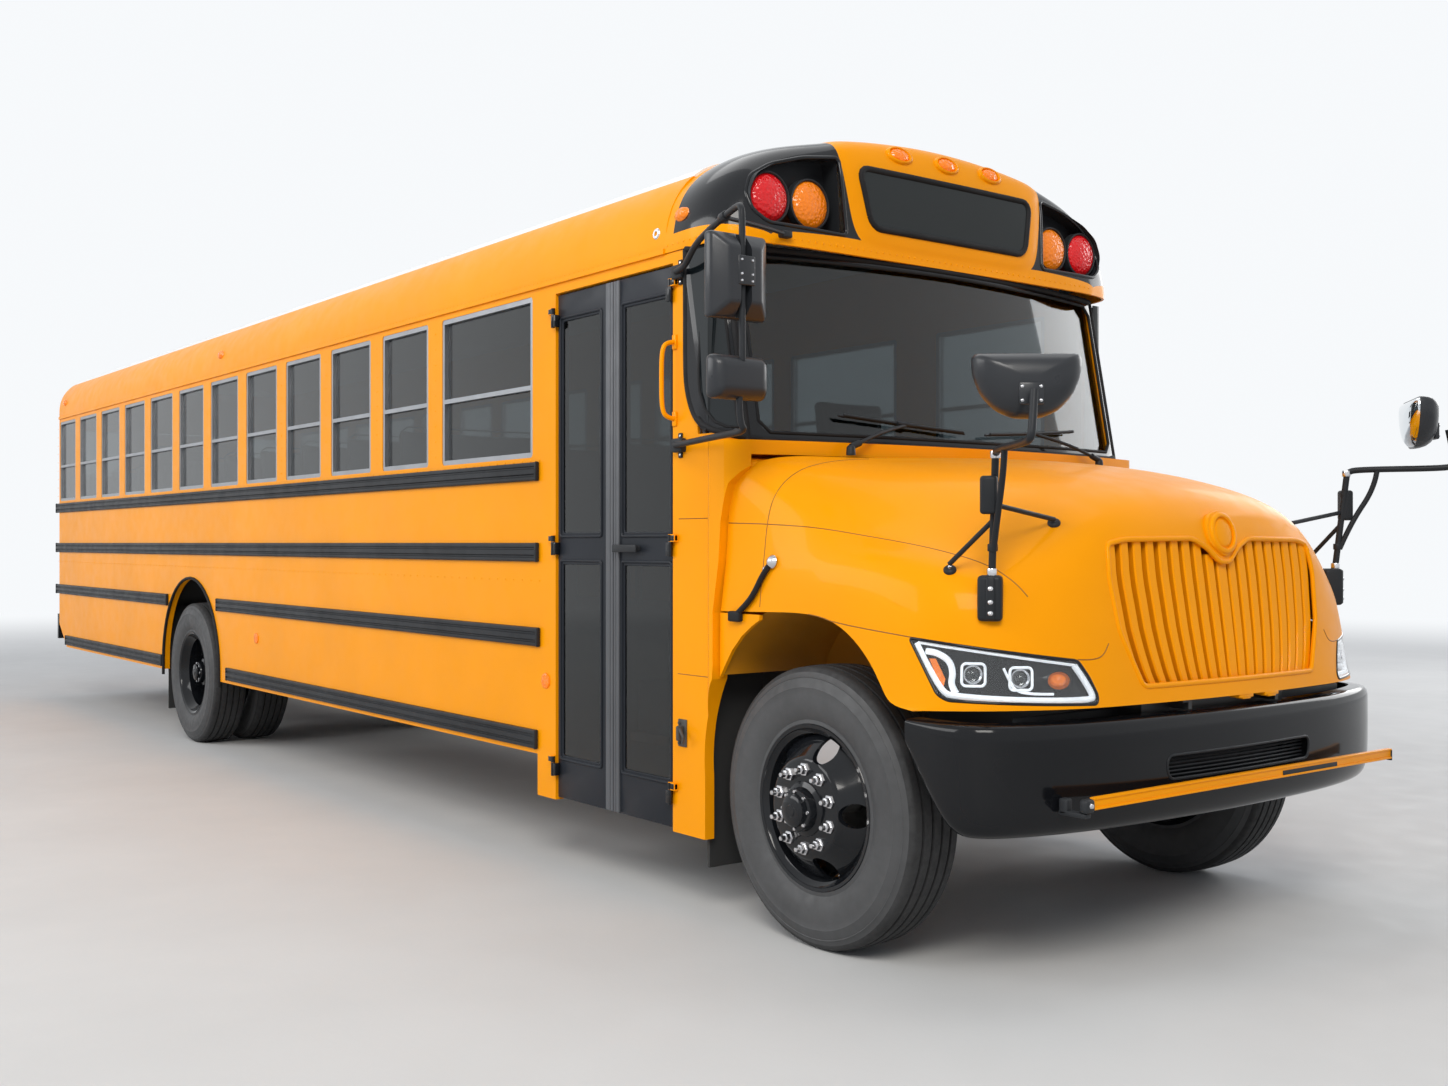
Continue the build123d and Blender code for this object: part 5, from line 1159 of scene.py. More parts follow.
# %% Cage of the cap
# each row runs from the middle to the foot of the side: distance ahead of the axle, y, z
CAP_ROWS = [
    [(-0.85, 0, 3.189), (-0.85, 0.33, 3.173), (-0.85, 0.6, 3.137), (-0.85, 0.77, 3.104),
     (-0.85, 0.93, 3.062), (-0.85, 1.07, 2.977), (-0.85, 1.165, 2.865), (-0.85, 1.2, 2.705),
     (-0.85, 1.2, 2.652)],
    [(-0.8, 0, 3.191), (-0.8, 0.33, 3.175), (-0.8, 0.6, 3.139), (-0.8, 0.77, 3.106), (-0.8, 0.93, 3.064),
     (-0.8, 1.07, 2.979), (-0.8, 1.167, 2.867), (-0.8, 1.202, 2.705), (-0.8, 1.2, 2.652)],
    [(-0.7, 0, 3.192), (-0.7, 0.33, 3.176), (-0.7, 0.6, 3.142), (-0.7, 0.77, 3.112), (-0.7, 0.94, 3.072),
     (-0.7, 1.08, 2.985), (-0.7, 1.178, 2.87), (-0.7, 1.212, 2.705), (-0.7, 1.202, 2.652)],
    [(-0.52, 0, 3.187), (-0.52, 0.33, 3.17), (-0.52, 0.605, 3.135), (-0.53, 0.75, 3.108),
     (-0.54, 0.92, 3.065), (-0.55, 1.06, 2.985), (-0.57, 1.165, 2.875), (-0.6, 1.208, 2.705),
     (-0.6, 1.2, 2.652)],
    [(-0.455, 0, 3.16), (-0.455, 0.33, 3.142), (-0.455, 0.605, 3.108), (-0.46, 0.73, 3.078),
     (-0.465, 0.88, 3.03), (-0.475, 1.01, 2.95), (-0.49, 1.115, 2.85), (-0.51, 1.175, 2.705),
     (-0.51, 1.17, 2.652)],
    [(-0.428, 0, 3.06), (-0.428, 0.32, 3.045), (-0.43, 0.59, 3.01), (-0.43, 0.71, 2.98),
     (-0.435, 0.84, 2.935), (-0.44, 0.96, 2.88), (-0.45, 1.06, 2.81), (-0.46, 1.12, 2.705),
     (-0.46, 1.12, 2.652)],
    [(-0.415, 0, 2.87), (-0.415, 0.31, 2.865), (-0.418, 0.565, 2.855), (-0.42, 0.68, 2.84),
     (-0.425, 0.8, 2.82), (-0.43, 0.91, 2.79), (-0.435, 1.0, 2.755), (-0.44, 1.06, 2.705),
     (-0.44, 1.06, 2.652)],
    [(-0.405, 0, 2.705), (-0.405, 0.3, 2.705), (-0.408, 0.535, 2.705), (-0.41, 0.65, 2.705),
     (-0.412, 0.76, 2.705), (-0.415, 0.86, 2.705), (-0.42, 0.94, 2.705), (-0.425, 0.99, 2.7),
     (-0.425, 0.99, 2.652)],
    [(-0.4, 0, 2.652), (-0.4, 0.3, 2.652), (-0.403, 0.53, 2.652), (-0.405, 0.65, 2.652),
     (-0.407, 0.76, 2.652), (-0.41, 0.86, 2.652), (-0.415, 0.92, 2.652), (-0.418, 0.95, 2.652),
     (-0.42, 0.97, 2.652)],
]
POD_OUTLINE = [(0.6, 2.728), (0.995, 2.735), (1.06, 2.78), (1.075, 2.85), (1.04, 2.925), (0.95, 2.98),
               (0.8, 3.025), (0.62, 3.05)]
LEFT_POD = rounded(POD_OUTLINE, 0.022)
POD_LINES = (LEFT_POD, [(-y, z) for y, z in reversed(LEFT_POD)])
STRIP_TOP = 2.7
cap_form = sheet_through(CAP_ROWS)
for face in cap_form.faces:
    middle = face.calc_center_median()
    in_pod = middle.z >= STRIP_TOP and middle.x >= at(-0.8) and middle.y > 0.535 + (middle.z - 2.705) * 0.175
    face.material_index = 1 if in_pod else 0
mirrored_whole(cap_form)
panel = [face for face in cap_form.faces if face.material_index == 0
         and face.calc_center_median().z > 2.71 and face.calc_center_median().x > at(-0.7)]
bmesh.ops.inset_region(cap_form, faces=panel, thickness=0.014, depth=0.012, use_even_offset=True)
print("cap cage", len(cap_form.faces), "faces")

# %% What lies on the cap


def on_surface(found, *squash):
    """The matrix that stands a form on a found point and its normal."""
    return placed(*found) @ Matrix.Diagonal((*squash, 1.0)) if squash else placed(*found)


cap_shell = loose_object("cap_shell", cap_form)
paint(cap_shell.data, "yellow_paint gloss_black")
round_off(cap_shell, 3)
cap_skin = skin_of(cap_shell)
lips = joined(*(cord_on_front(cap_skin, line, 0.009, -0.002) for line in POD_LINES))
sign_line = rounded([(-0.47, 2.775), (0.47, 2.775), (0.525, 3.022), (-0.525, 3.022)], 0.05)
gasket = cord_on_front(cap_skin, sign_line, 0.014)
pane_line = [(y * 0.99, 2.9 + (z - 2.9) * 0.97) for y, z in sign_line]
sign_pane = laid_on_front(cap_skin, pane_line, 0.003, 0.004)
marker_lens, marker_bezel = bmesh.new(), bmesh.new()
for y in (-0.279, 0.0, 0.279):
    lie = on_surface(front_of(cap_skin, y, 3.112), 1.0, 0.55, 1.0)
    add(marker_bezel, turned([(0.076, -0.01), (0.074, 0.004), (0.068, 0.01), (0.06, 0.011),
                              (0.055, 0.006), (0.054, -0.01)], 32), lie)
    add(marker_lens, knob(32, (0, 0.017), (0.025, 0.016), (0.045, 0.011), (0.054, 0.003),
                          (0.054, -0.01)), lie)
RIVET_Z = 2.681
found = [front_of(cap_skin, step * 0.0365, RIVET_Z) for step in range(-26, 27)]
found += [side_of(cap_skin, at(-0.83 + 0.04 * step), RIVET_Z, side) for side in SIDES for step in range(7)]
strip_rivets = joined(*((knob(8, (0, 0.003025), (0.00385, 0.0022), (0.0055, 0)), on_surface(place))
                        for place in found))
walled(cap_shell, 0.012, [nose_prism(line, -0.6, 0.2) for line in POD_LINES], even=True)
hand_over(cap_shell, "yellow_paint gloss_black", hides=["front_cap"], angle=38)

# %% Pods, lamps and the sign
pans = bmesh.new()
for line in POD_LINES:
    pan = nose_prism(line, -0.545, -0.452)
    bmesh.ops.delete(pan, geom=[face for face in pan.faces if face.normal.x > 0.9], context="FACES")
    bmesh.ops.reverse_faces(pan, faces=pan.faces[:])
    add(pans, pan)
piece("pod_pans", pans, "satin_black", slot="gloss_black")
piece("pod_lips", lips, "gloss_black", angle=60)
piece("sign_gasket", gasket, "black_rubber", angle=60)
piece("sign_pane", sign_pane, "sign_glass")
piece("marker_bezels", marker_bezel, "yellow_paint", angle=50)
piece("marker_lenses", marker_lens, "amber_lens", angle=50)
piece("strip_rivets", strip_rivets, "yellow_paint", angle=60)

# %% [markdown]
# ## Warning lamps
# Eight round lamps warn the traffic: red outside and amber inside, at the front and at the rear.
# Each is a shallow dome turned about its axis in a black rim.

# %% Warning lamps
LAMP_RADIUS = 0.094
DOME = [(0, 0.03), (LAMP_RADIUS * 0.35, 0.028), (LAMP_RADIUS * 0.65, 0.022), (LAMP_RADIUS * 0.88, 0.011),
        (LAMP_RADIUS, 0.0), (LAMP_RADIUS, -0.03)]
RIM = [(LAMP_RADIUS + 0.001, -0.03), (LAMP_RADIUS + 0.001, 0.006), (LAMP_RADIUS + 0.004, 0.009),
       (LAMP_RADIUS + 0.01, 0.006), (LAMP_RADIUS + 0.011, -0.03)]
red_domes, amber_domes, lamp_rims = bmesh.new(), bmesh.new(), bmesh.new()
for side in SIDES:
    for y, domes in ((0.957, red_domes), (0.744, amber_domes)):
        for x, z, way in ((at(-0.478), 2.846, 1), (at(-10.952), 2.755, -1)):
            place = placed((x, side * y, z), (way, 0, 0))
            add(domes, knob(48, *DOME), place)
            add(lamp_rims, turned(RIM, 48), place)
piece("red_domes", red_domes, "red_lens", hides=["lamps"], angle=50)
piece("amber_domes", amber_domes, "amber_lens", angle=50)
piece("lamp_rims", lamp_rims, "black_plastic", angle=50)


# %% [markdown]
# ## Entrance door
# Two narrow leaves meet at a pair of soft rubber seals. Each leaf is a dark frame round two tall
# panes, and every pane sits in a raised bead. The frames are plates with their panes cut out.

# %% Door leaves
LEAF_FACE = -1.185
LEAF_LIGHTS = [(0.51, 1.385), (1.515, 2.48)]
# columns: leaf from, leaf to, glass from, glass to, all ahead of the axle
LEAVES = {"door_rear_leaf": (-1.71, -1.243, -1.673, -1.354),
          "door_front_leaf": (-1.237, -0.804, -1.172, -0.827)}


def side_loop(x_from, x_to, z_from, z_to, y, radius):
    """A bead laid round an oblong on the bus's side."""
    points = [(x, y, z) for x, z in rounded(oblong(x_from, x_to, z_from, z_to), 0.012, 3)]
    return cord(points + [points[0]], radius)


for name, sizes in LEAVES.items():
    x_from, x_to, glass_from, glass_to = (at(size) for size in sizes)
    leaf = upright(plate(oblong(x_from, x_to, 0.322, 2.598), 0.038, soft=0.004), LEAF_FACE)
    holes = [upright(plate(oblong(glass_from, glass_to, low, high), 0.08, corner=0.012), LEAF_FACE - 0.02)
             for low, high in LEAF_LIGHTS]
    leaf_frame = carved(leaf, *holes)
    panes = bmesh.new()
    for low, high in LEAF_LIGHTS:
        for grow, lift, radius in ((0.011, -0.001, 0.0065), (-0.002, 0.004, 0.0045)):
            add(leaf_frame, side_loop(glass_from - grow, glass_to + grow, low - grow, high + grow,
                                      LEAF_FACE + lift, radius))
        add(panes, soft_box((glass_from + 0.001, glass_to - 0.001), (LEAF_FACE + 0.006, LEAF_FACE + 0.012),
                            (low + 0.001, high - 0.001)))
    piece(name + "_frame", leaf_frame, "door_grey", name, hides=[name], angle=35)
    piece(name + "_panes", panes, "door_glass", name, angle=35)

# %% Seals, handle and hinges of the door
SEAL_SPAN = (LEAF_FACE - 0.01, LEAF_FACE + 0.004, 0.325, 2.595, 0.005, 3)
piece("seal_front", boxes((-1.2365, -1.222, *SEAL_SPAN), (-1.2195, -1.198, *SEAL_SPAN)),
      "seal_grey", "door_front_leaf")
piece("seal_rear", boxes((-1.262, -1.2435, *SEAL_SPAN), (-1.3, -1.265, *SEAL_SPAN)),
      "seal_grey", "door_rear_leaf")
pull = boxes((-1.215, -1.035, LEAF_FACE - 0.034, LEAF_FACE - 0.024, 1.436, 1.468, 0.004, 3),
             *((x - 0.012, x + 0.012, LEAF_FACE - 0.026, LEAF_FACE, 1.442, 1.462, 0.003)
               for x in (-1.195, -1.055)))
piece("door_pull", pull, "black_plastic", "door_front_leaf")
HINGE_HEIGHTS = (0.45, 1.45, 2.48)
HINGE_Y = -1.209
HINGE_FRONT = -1.2145
fixed_hinges = bmesh.new()
for leaf_name, jamb, way in (("door_rear_leaf", -1.716, 1), ("door_front_leaf", -0.798, -1)):
    hinges = bmesh.new()
    for z in HINGE_HEIGHTS:
        add(hinges, barrel(24, 0.0095, 0.03, 0.001), Matrix.Translation((at(jamb), HINGE_Y, z)))
        add(hinges, boxes((jamb, jamb + way * 0.026, HINGE_FRONT, -1.186, z - 0.028, z + 0.028, 0.004)))
        add(fixed_hinges, boxes((jamb, jamb - way * 0.036, HINGE_FRONT, -1.195, z + 0.031, z + 0.059, 0.004)))
        add(fixed_hinges, knob(24, (0, 0.0145), (0.0095, 0.0135), (0.0095, -0.014), (0, -0.0145)),
            Matrix.Translation((at(jamb), HINGE_Y, z + 0.045)))
    piece(leaf_name + "_hinges", hinges, "gloss_black", leaf_name)
piece("fixed_hinges", fixed_hinges, "gloss_black")

# %% [markdown]
# ## Windshield surround
# The glass of a bus is set in thick black rubber, and a black border printed on it hides the glue.
# The border is drawn flat, as a strip unrolled from the side round to the middle, then its holes are
# cut, it is sliced where the screen bends, and every point is wrapped onto the leaning screen.

# %% Wrapping onto the screen
SCREEN_PLAN = [(-0.56, 1.195), (-0.45, 1.16), (-0.4, 1.095)]
SCREEN_RADIUS = 4.677
SCREEN_NOSE = -0.27
SCREEN_RAKE = -0.15 / 0.78
SCREEN_FOOT = 1.87
WIDEST = math.asin(SCREEN_PLAN[2][1] / SCREEN_RADIUS)
FLAT_1 = math.dist(SCREEN_PLAN[0], SCREEN_PLAN[1])
FLAT_2 = FLAT_1 + math.dist(SCREEN_PLAN[1], SCREEN_PLAN[2])
TO_MIDDLE = FLAT_2 + SCREEN_RADIUS * WIDEST


def screen_plan(s):
    """The plan place and outward direction at a length along the screen's foot."""
    if s < 0:
        return Vector((SCREEN_PLAN[0][0] + s, SCREEN_PLAN[0][1])), Vector((0, 1))
    if s < FLAT_2:
        near, start = (0, 0) if s < FLAT_1 else (1, FLAT_1)
        a, b = Vector(SCREEN_PLAN[near]), Vector(SCREEN_PLAN[near + 1])
        way = (b - a).normalized()
        return a + way * (s - start), Vector((-way.y, way.x))
    angle = WIDEST - (s - FLAT_2) / SCREEN_RADIUS
    centre = SCREEN_NOSE - SCREEN_RADIUS
    return (Vector((centre + SCREEN_RADIUS * math.cos(angle), SCREEN_RADIUS * math.sin(angle))),
            Vector((math.cos(angle), math.sin(angle))))


def on_screen(s, z, lift=0.0):
    """The place on the right half of the screen at a length from the post and a height."""
    plan, out = screen_plan(s)
    plan = plan + out * lift
    return Vector((at(plan.x) + SCREEN_RAKE * (z - SCREEN_FOOT), -plan.y, z))


def wrapped(form, lift):
    """A flat form wrapped onto the screen."""
    for point in form.verts:
        s, z, depth = point.co
        point.co = on_screen(s, z, depth + lift)
    return form


def sunk_prism(outline):
    """A prism through a thin plate, for cutting it."""
    form = plate(outline, 0.1)
    bmesh.ops.translate(form, vec=(0, 0, -0.05), verts=form.verts[:])
    return form


BORDER = [(0.004, 2.646), (-0.012, 2.5), (-0.08, 2.147), (-0.074, 2.05), (-0.05, 1.978), (0.004, 1.925),
          (0.117, 1.893), (0.24, 1.874), (TO_MIDDLE, 1.868), (TO_MIDDLE, 2.646)]
QUARTER_HOLE = [(0.074, 2.54), (0, 2.16), (-0.008, 2.07), (0.008, 2.0), (0.045, 1.95), (0.1, 1.926),
                (0.145, 1.922), (0.145, 2.54)]
FRONT_HOLE = rounded([(0.225, 1.905), (1.6, 1.901), (1.6, 2.622), (0.225, 2.614)], 0.05)
border = carved(plate(BORDER, 0.004), sunk_prism(QUARTER_HOLE), sunk_prism(FRONT_HOLE))
for s in [0.0, FLAT_1, FLAT_2] + [FLAT_2 + 0.1 * step for step in range(1, 11)]:
    bmesh.ops.bisect_plane(border, geom=border.verts[:] + border.edges[:] + border.faces[:],
                           plane_co=(s, 0, 0), plane_no=(1, 0, 0))
faced_out(wrapped(border, 0.004))
print("border", len(border.faces), "faces")

# %% Rubber seals and post of the windshield


def screen_cord(line, radius, lift, closed=False):
    flat = [(s, z, 0) for s, z in line]
    points = walk(flat + [flat[0]] if closed else flat, 0.03)
    return cord([on_screen(point.x, point.y, lift) for point in points], radius)


side_line = [(-0.706, 2.646), (-0.704, 2.4), (-0.704, 2.15), (-0.69, 2.07), (-0.655, 1.99), (-0.61, 1.945),
             (-0.56, 1.915)]
foot_line = [(point.x, point.y) for point in eased([(s, z, 0) for s, z in BORDER[:8]], 1)]
foot_line = [(s, z) for s, z in foot_line if z < 1.97 and s > -0.05] + [(TO_MIDDLE, 1.868)]
opening = [(TO_MIDDLE, 1.901), (0.27, 1.905), (0.225, 1.95), (0.225, 2.57), (0.27, 2.614), (TO_MIDDLE, 2.622)]
seals = joined(
    screen_cord(foot_line, 0.013, 0.006),
    cord(eased([(at(x), -(SKIN + 0.002), z) for x, z in side_line]), 0.013),
    screen_cord([(0.004, 2.645), (TO_MIDDLE, 2.645)], 0.013, 0.006),
    screen_cord(QUARTER_HOLE, 0.006, 0.007, closed=True),
    screen_cord(opening, 0.007, 0.008),
    screen_cord([(0.176, 1.872), (0.176, 2.645)], 0.013, 0.007))
post_line = [(-0.69, 2.636), (-0.69, 2.15), (-0.668, 2.05), (-0.625, 1.975), (-0.557, 1.93),
             (-0.557, 2.636)]
post_cover = stood(plate(post_line, 0.003), (1, 0, 0, at(0)), (0, 0, -1, -(SKIN + 0.0005)), (0, 1, 0, 0))
quarter_pane = wrapped(plate(QUARTER_HOLE, 0.001), 0.0035)
add(quarter_pane, post_cover)
add(quarter_pane, boxes((-0.5595, -0.5565, -(SKIN + 0.0035), -1.15, 1.93, 2.636, 0.001)))
piece("quarter_panes", both_sides(quarter_pane), "quarter_tint")
piece("screen_border", both_sides(border), "gloss_black")
piece("screen_seals", both_sides(seals), "black_rubber", angle=60)

# %% [markdown]
# ## Wipers
# Each wiper has a round cap on its spindle, a bent arm and a long thin blade that rests along the
# foot of the glass and points towards the middle.

# %% Wipers
SPINDLE = (at(-0.212), -0.76, 1.818)
arm_line = ahead([(-0.212, -0.76, 1.85), (-0.214, -0.71, 1.868), (-0.245, -0.55, 1.925),
                  (-0.275, -0.4, 1.955)])
wiper = joined((knob(24, (0, 0.04), (0.012, 0.038), (0.017, 0.03), (0.019, 0.0), (0.0, -0.002)),
                Matrix.Translation(SPINDLE)), bent_tube(arm_line, 0.0075), cord(arm_line[:2], 0.013))
# columns: points along the screen and up, lift off it, radius
BLADE_LINES = [(((0.6, 1.985), (0.9, 1.958), (1.22, 1.94)), 0.03, 0.006),
               (((0.58, 1.983), (0.9, 1.953), (1.24, 1.935)), 0.016, 0.0045),
               (((0.86, 1.963), (0.95, 1.955)), 0.031, 0.009)]
for line, lift, radius in BLADE_LINES:
    add(wiper, bent_tube([on_screen(s, z, lift) for s, z in line], radius))
piece("wiper_arms", both_sides(wiper), "satin_black", hides=["wipers"], angle=50)

# %% [markdown]
# ## Rear-view mirrors
# A bent tube stands out from each front post and carries two heads: a tall flat mirror with a
# housing like a low pyramid, and a wide round-cornered one for the near view.

# %% Rear-view mirrors
HEAD_Y = -1.42
POST_BOLT_X = -0.74


def pyramid_head(x, y, z, rim, rise, soft):
    """A mirror housing whose front narrows to a small flat face."""
    form = soft_box(x, y, z)
    front = max(form.faces, key=lambda face: face.calc_center_median().x)
    bmesh.ops.inset_individual(form, faces=[front], thickness=rim, depth=rise)
    return softened(form, form.edges[:], soft, 3)


def mirror_pair(side, rod_x):
    """The housings, glasses, arms and bolts of one side's mirrors."""

    def across(half):
        return (HEAD_Y - half, HEAD_Y + half)

    def from_rod(*points):
        return [(rod_x + x, y, z) for x, y, z in points]

    tall = pyramid_head((rod_x - 0.03, rod_x + 0.012), across(0.127), (2.27, 2.575), 0.078, 0.045, 0.012)
    channel = soft_box((rod_x + 0.012, rod_x + 0.2), across(0.024), (2.2, 2.7), 0.012, 3)
    shells = joined(
        carved(tall, channel),
        pyramid_head((rod_x - 0.03, rod_x + 0.02), across(0.124), (1.985, 2.142), 0.04, 0.03, 0.02),
        soft_box((rod_x + 0.05, rod_x + 0.06), across(0.038), (2.385, 2.49), 0.004))
    glass = joined(*(soft_box((rod_x - 0.033, rod_x - 0.028), across(half), height, 0.001)
                     for half, height in ((0.116, (2.281, 2.564)), (0.11, (2.000, 2.128)))))
    bolts = joined(*((bolt(10, 0.005, 0.004, 0.0055),
                      placed((rod_x + 0.06, HEAD_Y + shift, z), (1, 0, 0)))
                     for shift in (-0.024, 0.024) for z in (2.4, 2.424, 2.474)))
    bolt_x = at(POST_BOLT_X)
    if side > 0:
        upper = [(bolt_x, -1.222, 2.56)] + from_rod(
            (0.03, -1.3, 2.63), (0.03, HEAD_Y + 0.02, 2.664), (0.032, HEAD_Y, 2.64), (0.032, HEAD_Y, 2.12))
        lower = from_rod((0.015, HEAD_Y, 1.995), (0.015, HEAD_Y, 1.895), (0.035, -1.37, 1.868))
    else:
        upper = ahead([(POST_BOLT_X, -1.222, 2.56), (-0.667, -1.235, 2.562), (-0.6, -1.255, 2.6)])
        upper += from_rod((-0.41, -1.285, 2.642), (-0.15, -1.36, 2.674), (-0.03, -1.395, 2.684),
                          (0.028, HEAD_Y, 2.672), (0.032, HEAD_Y, 2.6), (0.032, HEAD_Y, 2.12))
        lower = from_rod((0.015, HEAD_Y, 1.995), (0.015, HEAD_Y, 1.905), (0.02, -1.395, 1.873),
                         (-0.17, -1.355, 1.872))
    arms = joined(bent_tube(upper, 0.0125, 4), bent_tube(lower + [(bolt_x, -1.225, 1.866)], 0.0125, 4))
    if side < 0:
        stay = from_rod((-0.16, -1.355, 2.672)) + ahead([(-0.33, -1.12, 2.688), (-0.405, -0.93, 2.69)])
        add(arms, bent_tube(stay, 0.008))
        add(arms, boxes((-0.43, -0.39, -0.955, -0.905, 2.676, 2.704, 0.006)))
        add(arms, barrel(16, 0.019, 0.022, 0.002),
            placed((rod_x - 0.155, -1.358, 2.673), (0.96, -0.26, 0.06)))
    for z in (2.56, 1.866):
        add(arms, boxes((-0.775, -0.705, -1.222, -1.194, z - 0.028, z + 0.028, 0.006)))
        for height in (z - 0.038, z + 0.038):
            add(bolts, bolt(10, 0.008, 0.005, 0.007), placed((bolt_x, -1.196, height), (0, -1, 0)))
            add(arms, boxes((-0.752, -0.728, -1.203, -1.194, height - 0.012, height + 0.012, 0.003)))
    return shells, glass, arms, bolts


right_and_left = zip(mirror_pair(-1, at(-0.09)), mirror_pair(1, at(-0.85)))
shells, glass, arms, bolts = [joined(right, (left, MIRROR)) for right, left in right_and_left]
piece("mirror_shells", shells, "mirror_shell", hides=["side_mirrors"], angle=50)
piece("mirror_glasses", glass, "mirror_face")
piece("mirror_arms", arms, "satin_black", angle=50)
piece("mirror_bolts", bolts, "bright_steel", angle=50)

# %% [markdown]
# ## Mirrors on the fenders
# A driver must see a child who stands right in front of the bus. So a domed half-moon mirror stands
# on a bent tube over each fender. The dome is a stack of shrinking copies of one outline, bridged.

# %% Half-moon heads
MOON_SIDE = [(-0.168, 0.2), (-0.166, 0.135), (-0.14, 0.072), (-0.095, 0.025), (-0.04, 0.002)]
MOON = rounded(with_mirror_image(MOON_SIDE), 0.02, 3)
MOON_MIDDLE = 0.115
# columns: scale, depth
SHELL_STEPS = [(1.0, 0.0), (1.0, 0.012), (0.975, 0.03), (0.92, 0.048), (0.8, 0.066), (0.62, 0.079),
               (0.4, 0.087), (0.18, 0.09)]
GLASS_STEPS = [(0.95, 0.0), (0.9, -0.012), (0.75, -0.024), (0.5, -0.033), (0.25, -0.037)]
head_place = placed((at(1.022), -1.165, 1.853), (0.78, -0.62, 0))


def dome_form(outline, steps, middle):
    """A dome of shrinking copies of an outline."""
    form = bmesh.new()
    loops = [closed_chain(form, [(a * scale, middle + (b - middle) * scale, depth) for a, b in outline])
             for scale, depth in steps]
    bridged(form, loops)
    for rim in (loops[-1], loops[0]):
        bmesh.ops.holes_fill(form, edges=rim, sides=0)
    return faced_out(form)


moon = joined((dome_form(MOON, SHELL_STEPS, MOON_MIDDLE), head_place),
              (soft_box((-0.037, 0.037), (0.038, 0.104), (0.078, 0.096), 0.004), head_place))
moon_glass = joined((dome_form(MOON, GLASS_STEPS, MOON_MIDDLE), head_place))
print("heads ready")

# %% Arms of the fender mirrors
mast = ahead([(0.757, -1.029, 1.26), (0.803, -1.059, 1.735), (0.806, -1.062, 1.766), (0.84, -1.085, 1.776),
              (1.1, -1.255, 1.776), (1.14, -1.28, 1.785), (1.142, -1.275, 1.815), (1.128, -1.25, 1.93)])
brace = ahead([(0.9, -1.124, 1.774), (0.892, -1.12, 1.7), (0.82, -1.068, 1.56), (0.782, -1.045, 1.45)])
fender_arm = joined(bent_tube(mast, 0.0125, 4), bent_tube(brace, 0.0105, 4))
fender_bolts = bmesh.new()
for foot, top in (((0.62, -1.08, 1.405), 1.55), ((0.765, -0.725, 1.555), 1.6)):
    stay = ahead([(0.785, -1.047, top), foot])
    seat = placed(*hood_skin.find_nearest(Vector(stay[1]))[:2])
    add(fender_arm, cord(stay, 0.0085, 4))
    add(fender_arm, knob(20, (0, 0.012), (0.016, 0.01), (0.022, 0.004), (0.022, -0.002), (0, -0.002)), seat)
    add(fender_bolts, knob(10, (0, 0.018), (0.006, 0.017), (0.007, 0.01)), seat)
for z, whole in ((1.76, fender_bolts), (1.46, fender_arm), (1.38, fender_bolts)):
    rise = z - mast[0][2]
    add(whole, barrel(16, 0.017, 0.012, 0.001),
        Matrix.Translation((at(0.757 + rise * 0.093), -1.029 - rise * 0.061, z)))
CLAMP_WAY = (0.62, -0.785, 0)
clamp_place = placed((at(0.79), -1.075, 1.63), CLAMP_WAY)
foot_place = placed((at(0.755), -1.03, 1.295), CLAMP_WAY)
add(fender_arm, soft_box((-0.028, 0.028), (-0.062, 0.062), (-0.024, 0.024), 0.011, 3), clamp_place)
add(fender_arm, soft_box((-0.04, 0.04), (-0.075, 0.075), (-0.04, 0.036), 0.014, 3), foot_place)
add(fender_arm, soft_box((-0.012, 0.018), (-0.07, 0.07), (0.03, 0.044), 0.006, 2), foot_place)
for height in (0.032, -0.012, -0.048):
    add(fender_bolts, bolt(14, 0.006, 0.006, 0.009), foot_place @ Matrix.Translation((0.003, height, 0.044)))
for height in (0.05, 0.092):
    for across in (-0.028, 0.028):
        add(fender_bolts, bolt(12, 0.004, 0.004, 0.0055),
            head_place @ Matrix.Translation((across, height, 0.096)))
piece("moon_shells", both_sides(moon), "mirror_shell", "hood", hides=["hood_mirrors"], angle=45)
piece("moon_glasses", both_sides(moon_glass), "mirror_face", "hood", angle=60)
piece("fender_arms", both_sides(fender_arm), "satin_black", "hood", angle=50)
piece("fender_bolts", both_sides(fender_bolts), "bright_steel", "hood", angle=50)

# %% [markdown]
# ## Bumpers
# The front bumper is one pressed steel beam that wraps round both corners. Its section is a bevelled
# top, an upright face and a tucked-in foot. That section is repeated along half of the plan, bridged,
# mirrored and given its steel's thickness, and an air slot is cut through the middle.

# %% Front bumper
# columns of the plan: x ahead of the axle, y; of the section: depth behind the face, share of the height
BUMPER_PLAN = [(1.025, 0), (1.02, 0.22), (1.01, 0.44), (0.99, 0.68), (0.955, 0.88), (0.915, 1.02),
               (0.865, 1.125), (0.8, 1.18), (0.72, 1.205), (0.64, 1.21), (0.58, 1.212), (0.545, 1.213)]
BUMPER_SECTION = [(0.075, 1.0), (0.03, 0.998), (0.012, 0.985), (0.002, 0.94), (0, 0.86), (0, 0.4),
                  (0.003, 0.22), (0.014, 0.09), (0.036, 0.02), (0.075, 0)]
BUMPER_FOOT, BUMPER_TOP = 0.522, 0.895


def bumper_rows():
    """The bumper's section at each place of its plan."""
    rows = []
    for index, (x, y) in enumerate(BUMPER_PLAN):
        before = Vector(BUMPER_PLAN[max(0, index - 1)])
        after = Vector(BUMPER_PLAN[min(len(BUMPER_PLAN) - 1, index + 1)])
        way = (after - before).normalized()
        out = Vector((way.y, -way.x)) if index else Vector((1, 0))
        foot = BUMPER_FOOT + max(0.0, 0.7 - x) * 1.75
        rows.append([(x - out.x * depth, y - out.y * depth, foot + (BUMPER_TOP - foot) * share)
                     for depth, share in BUMPER_SECTION])
    return rows


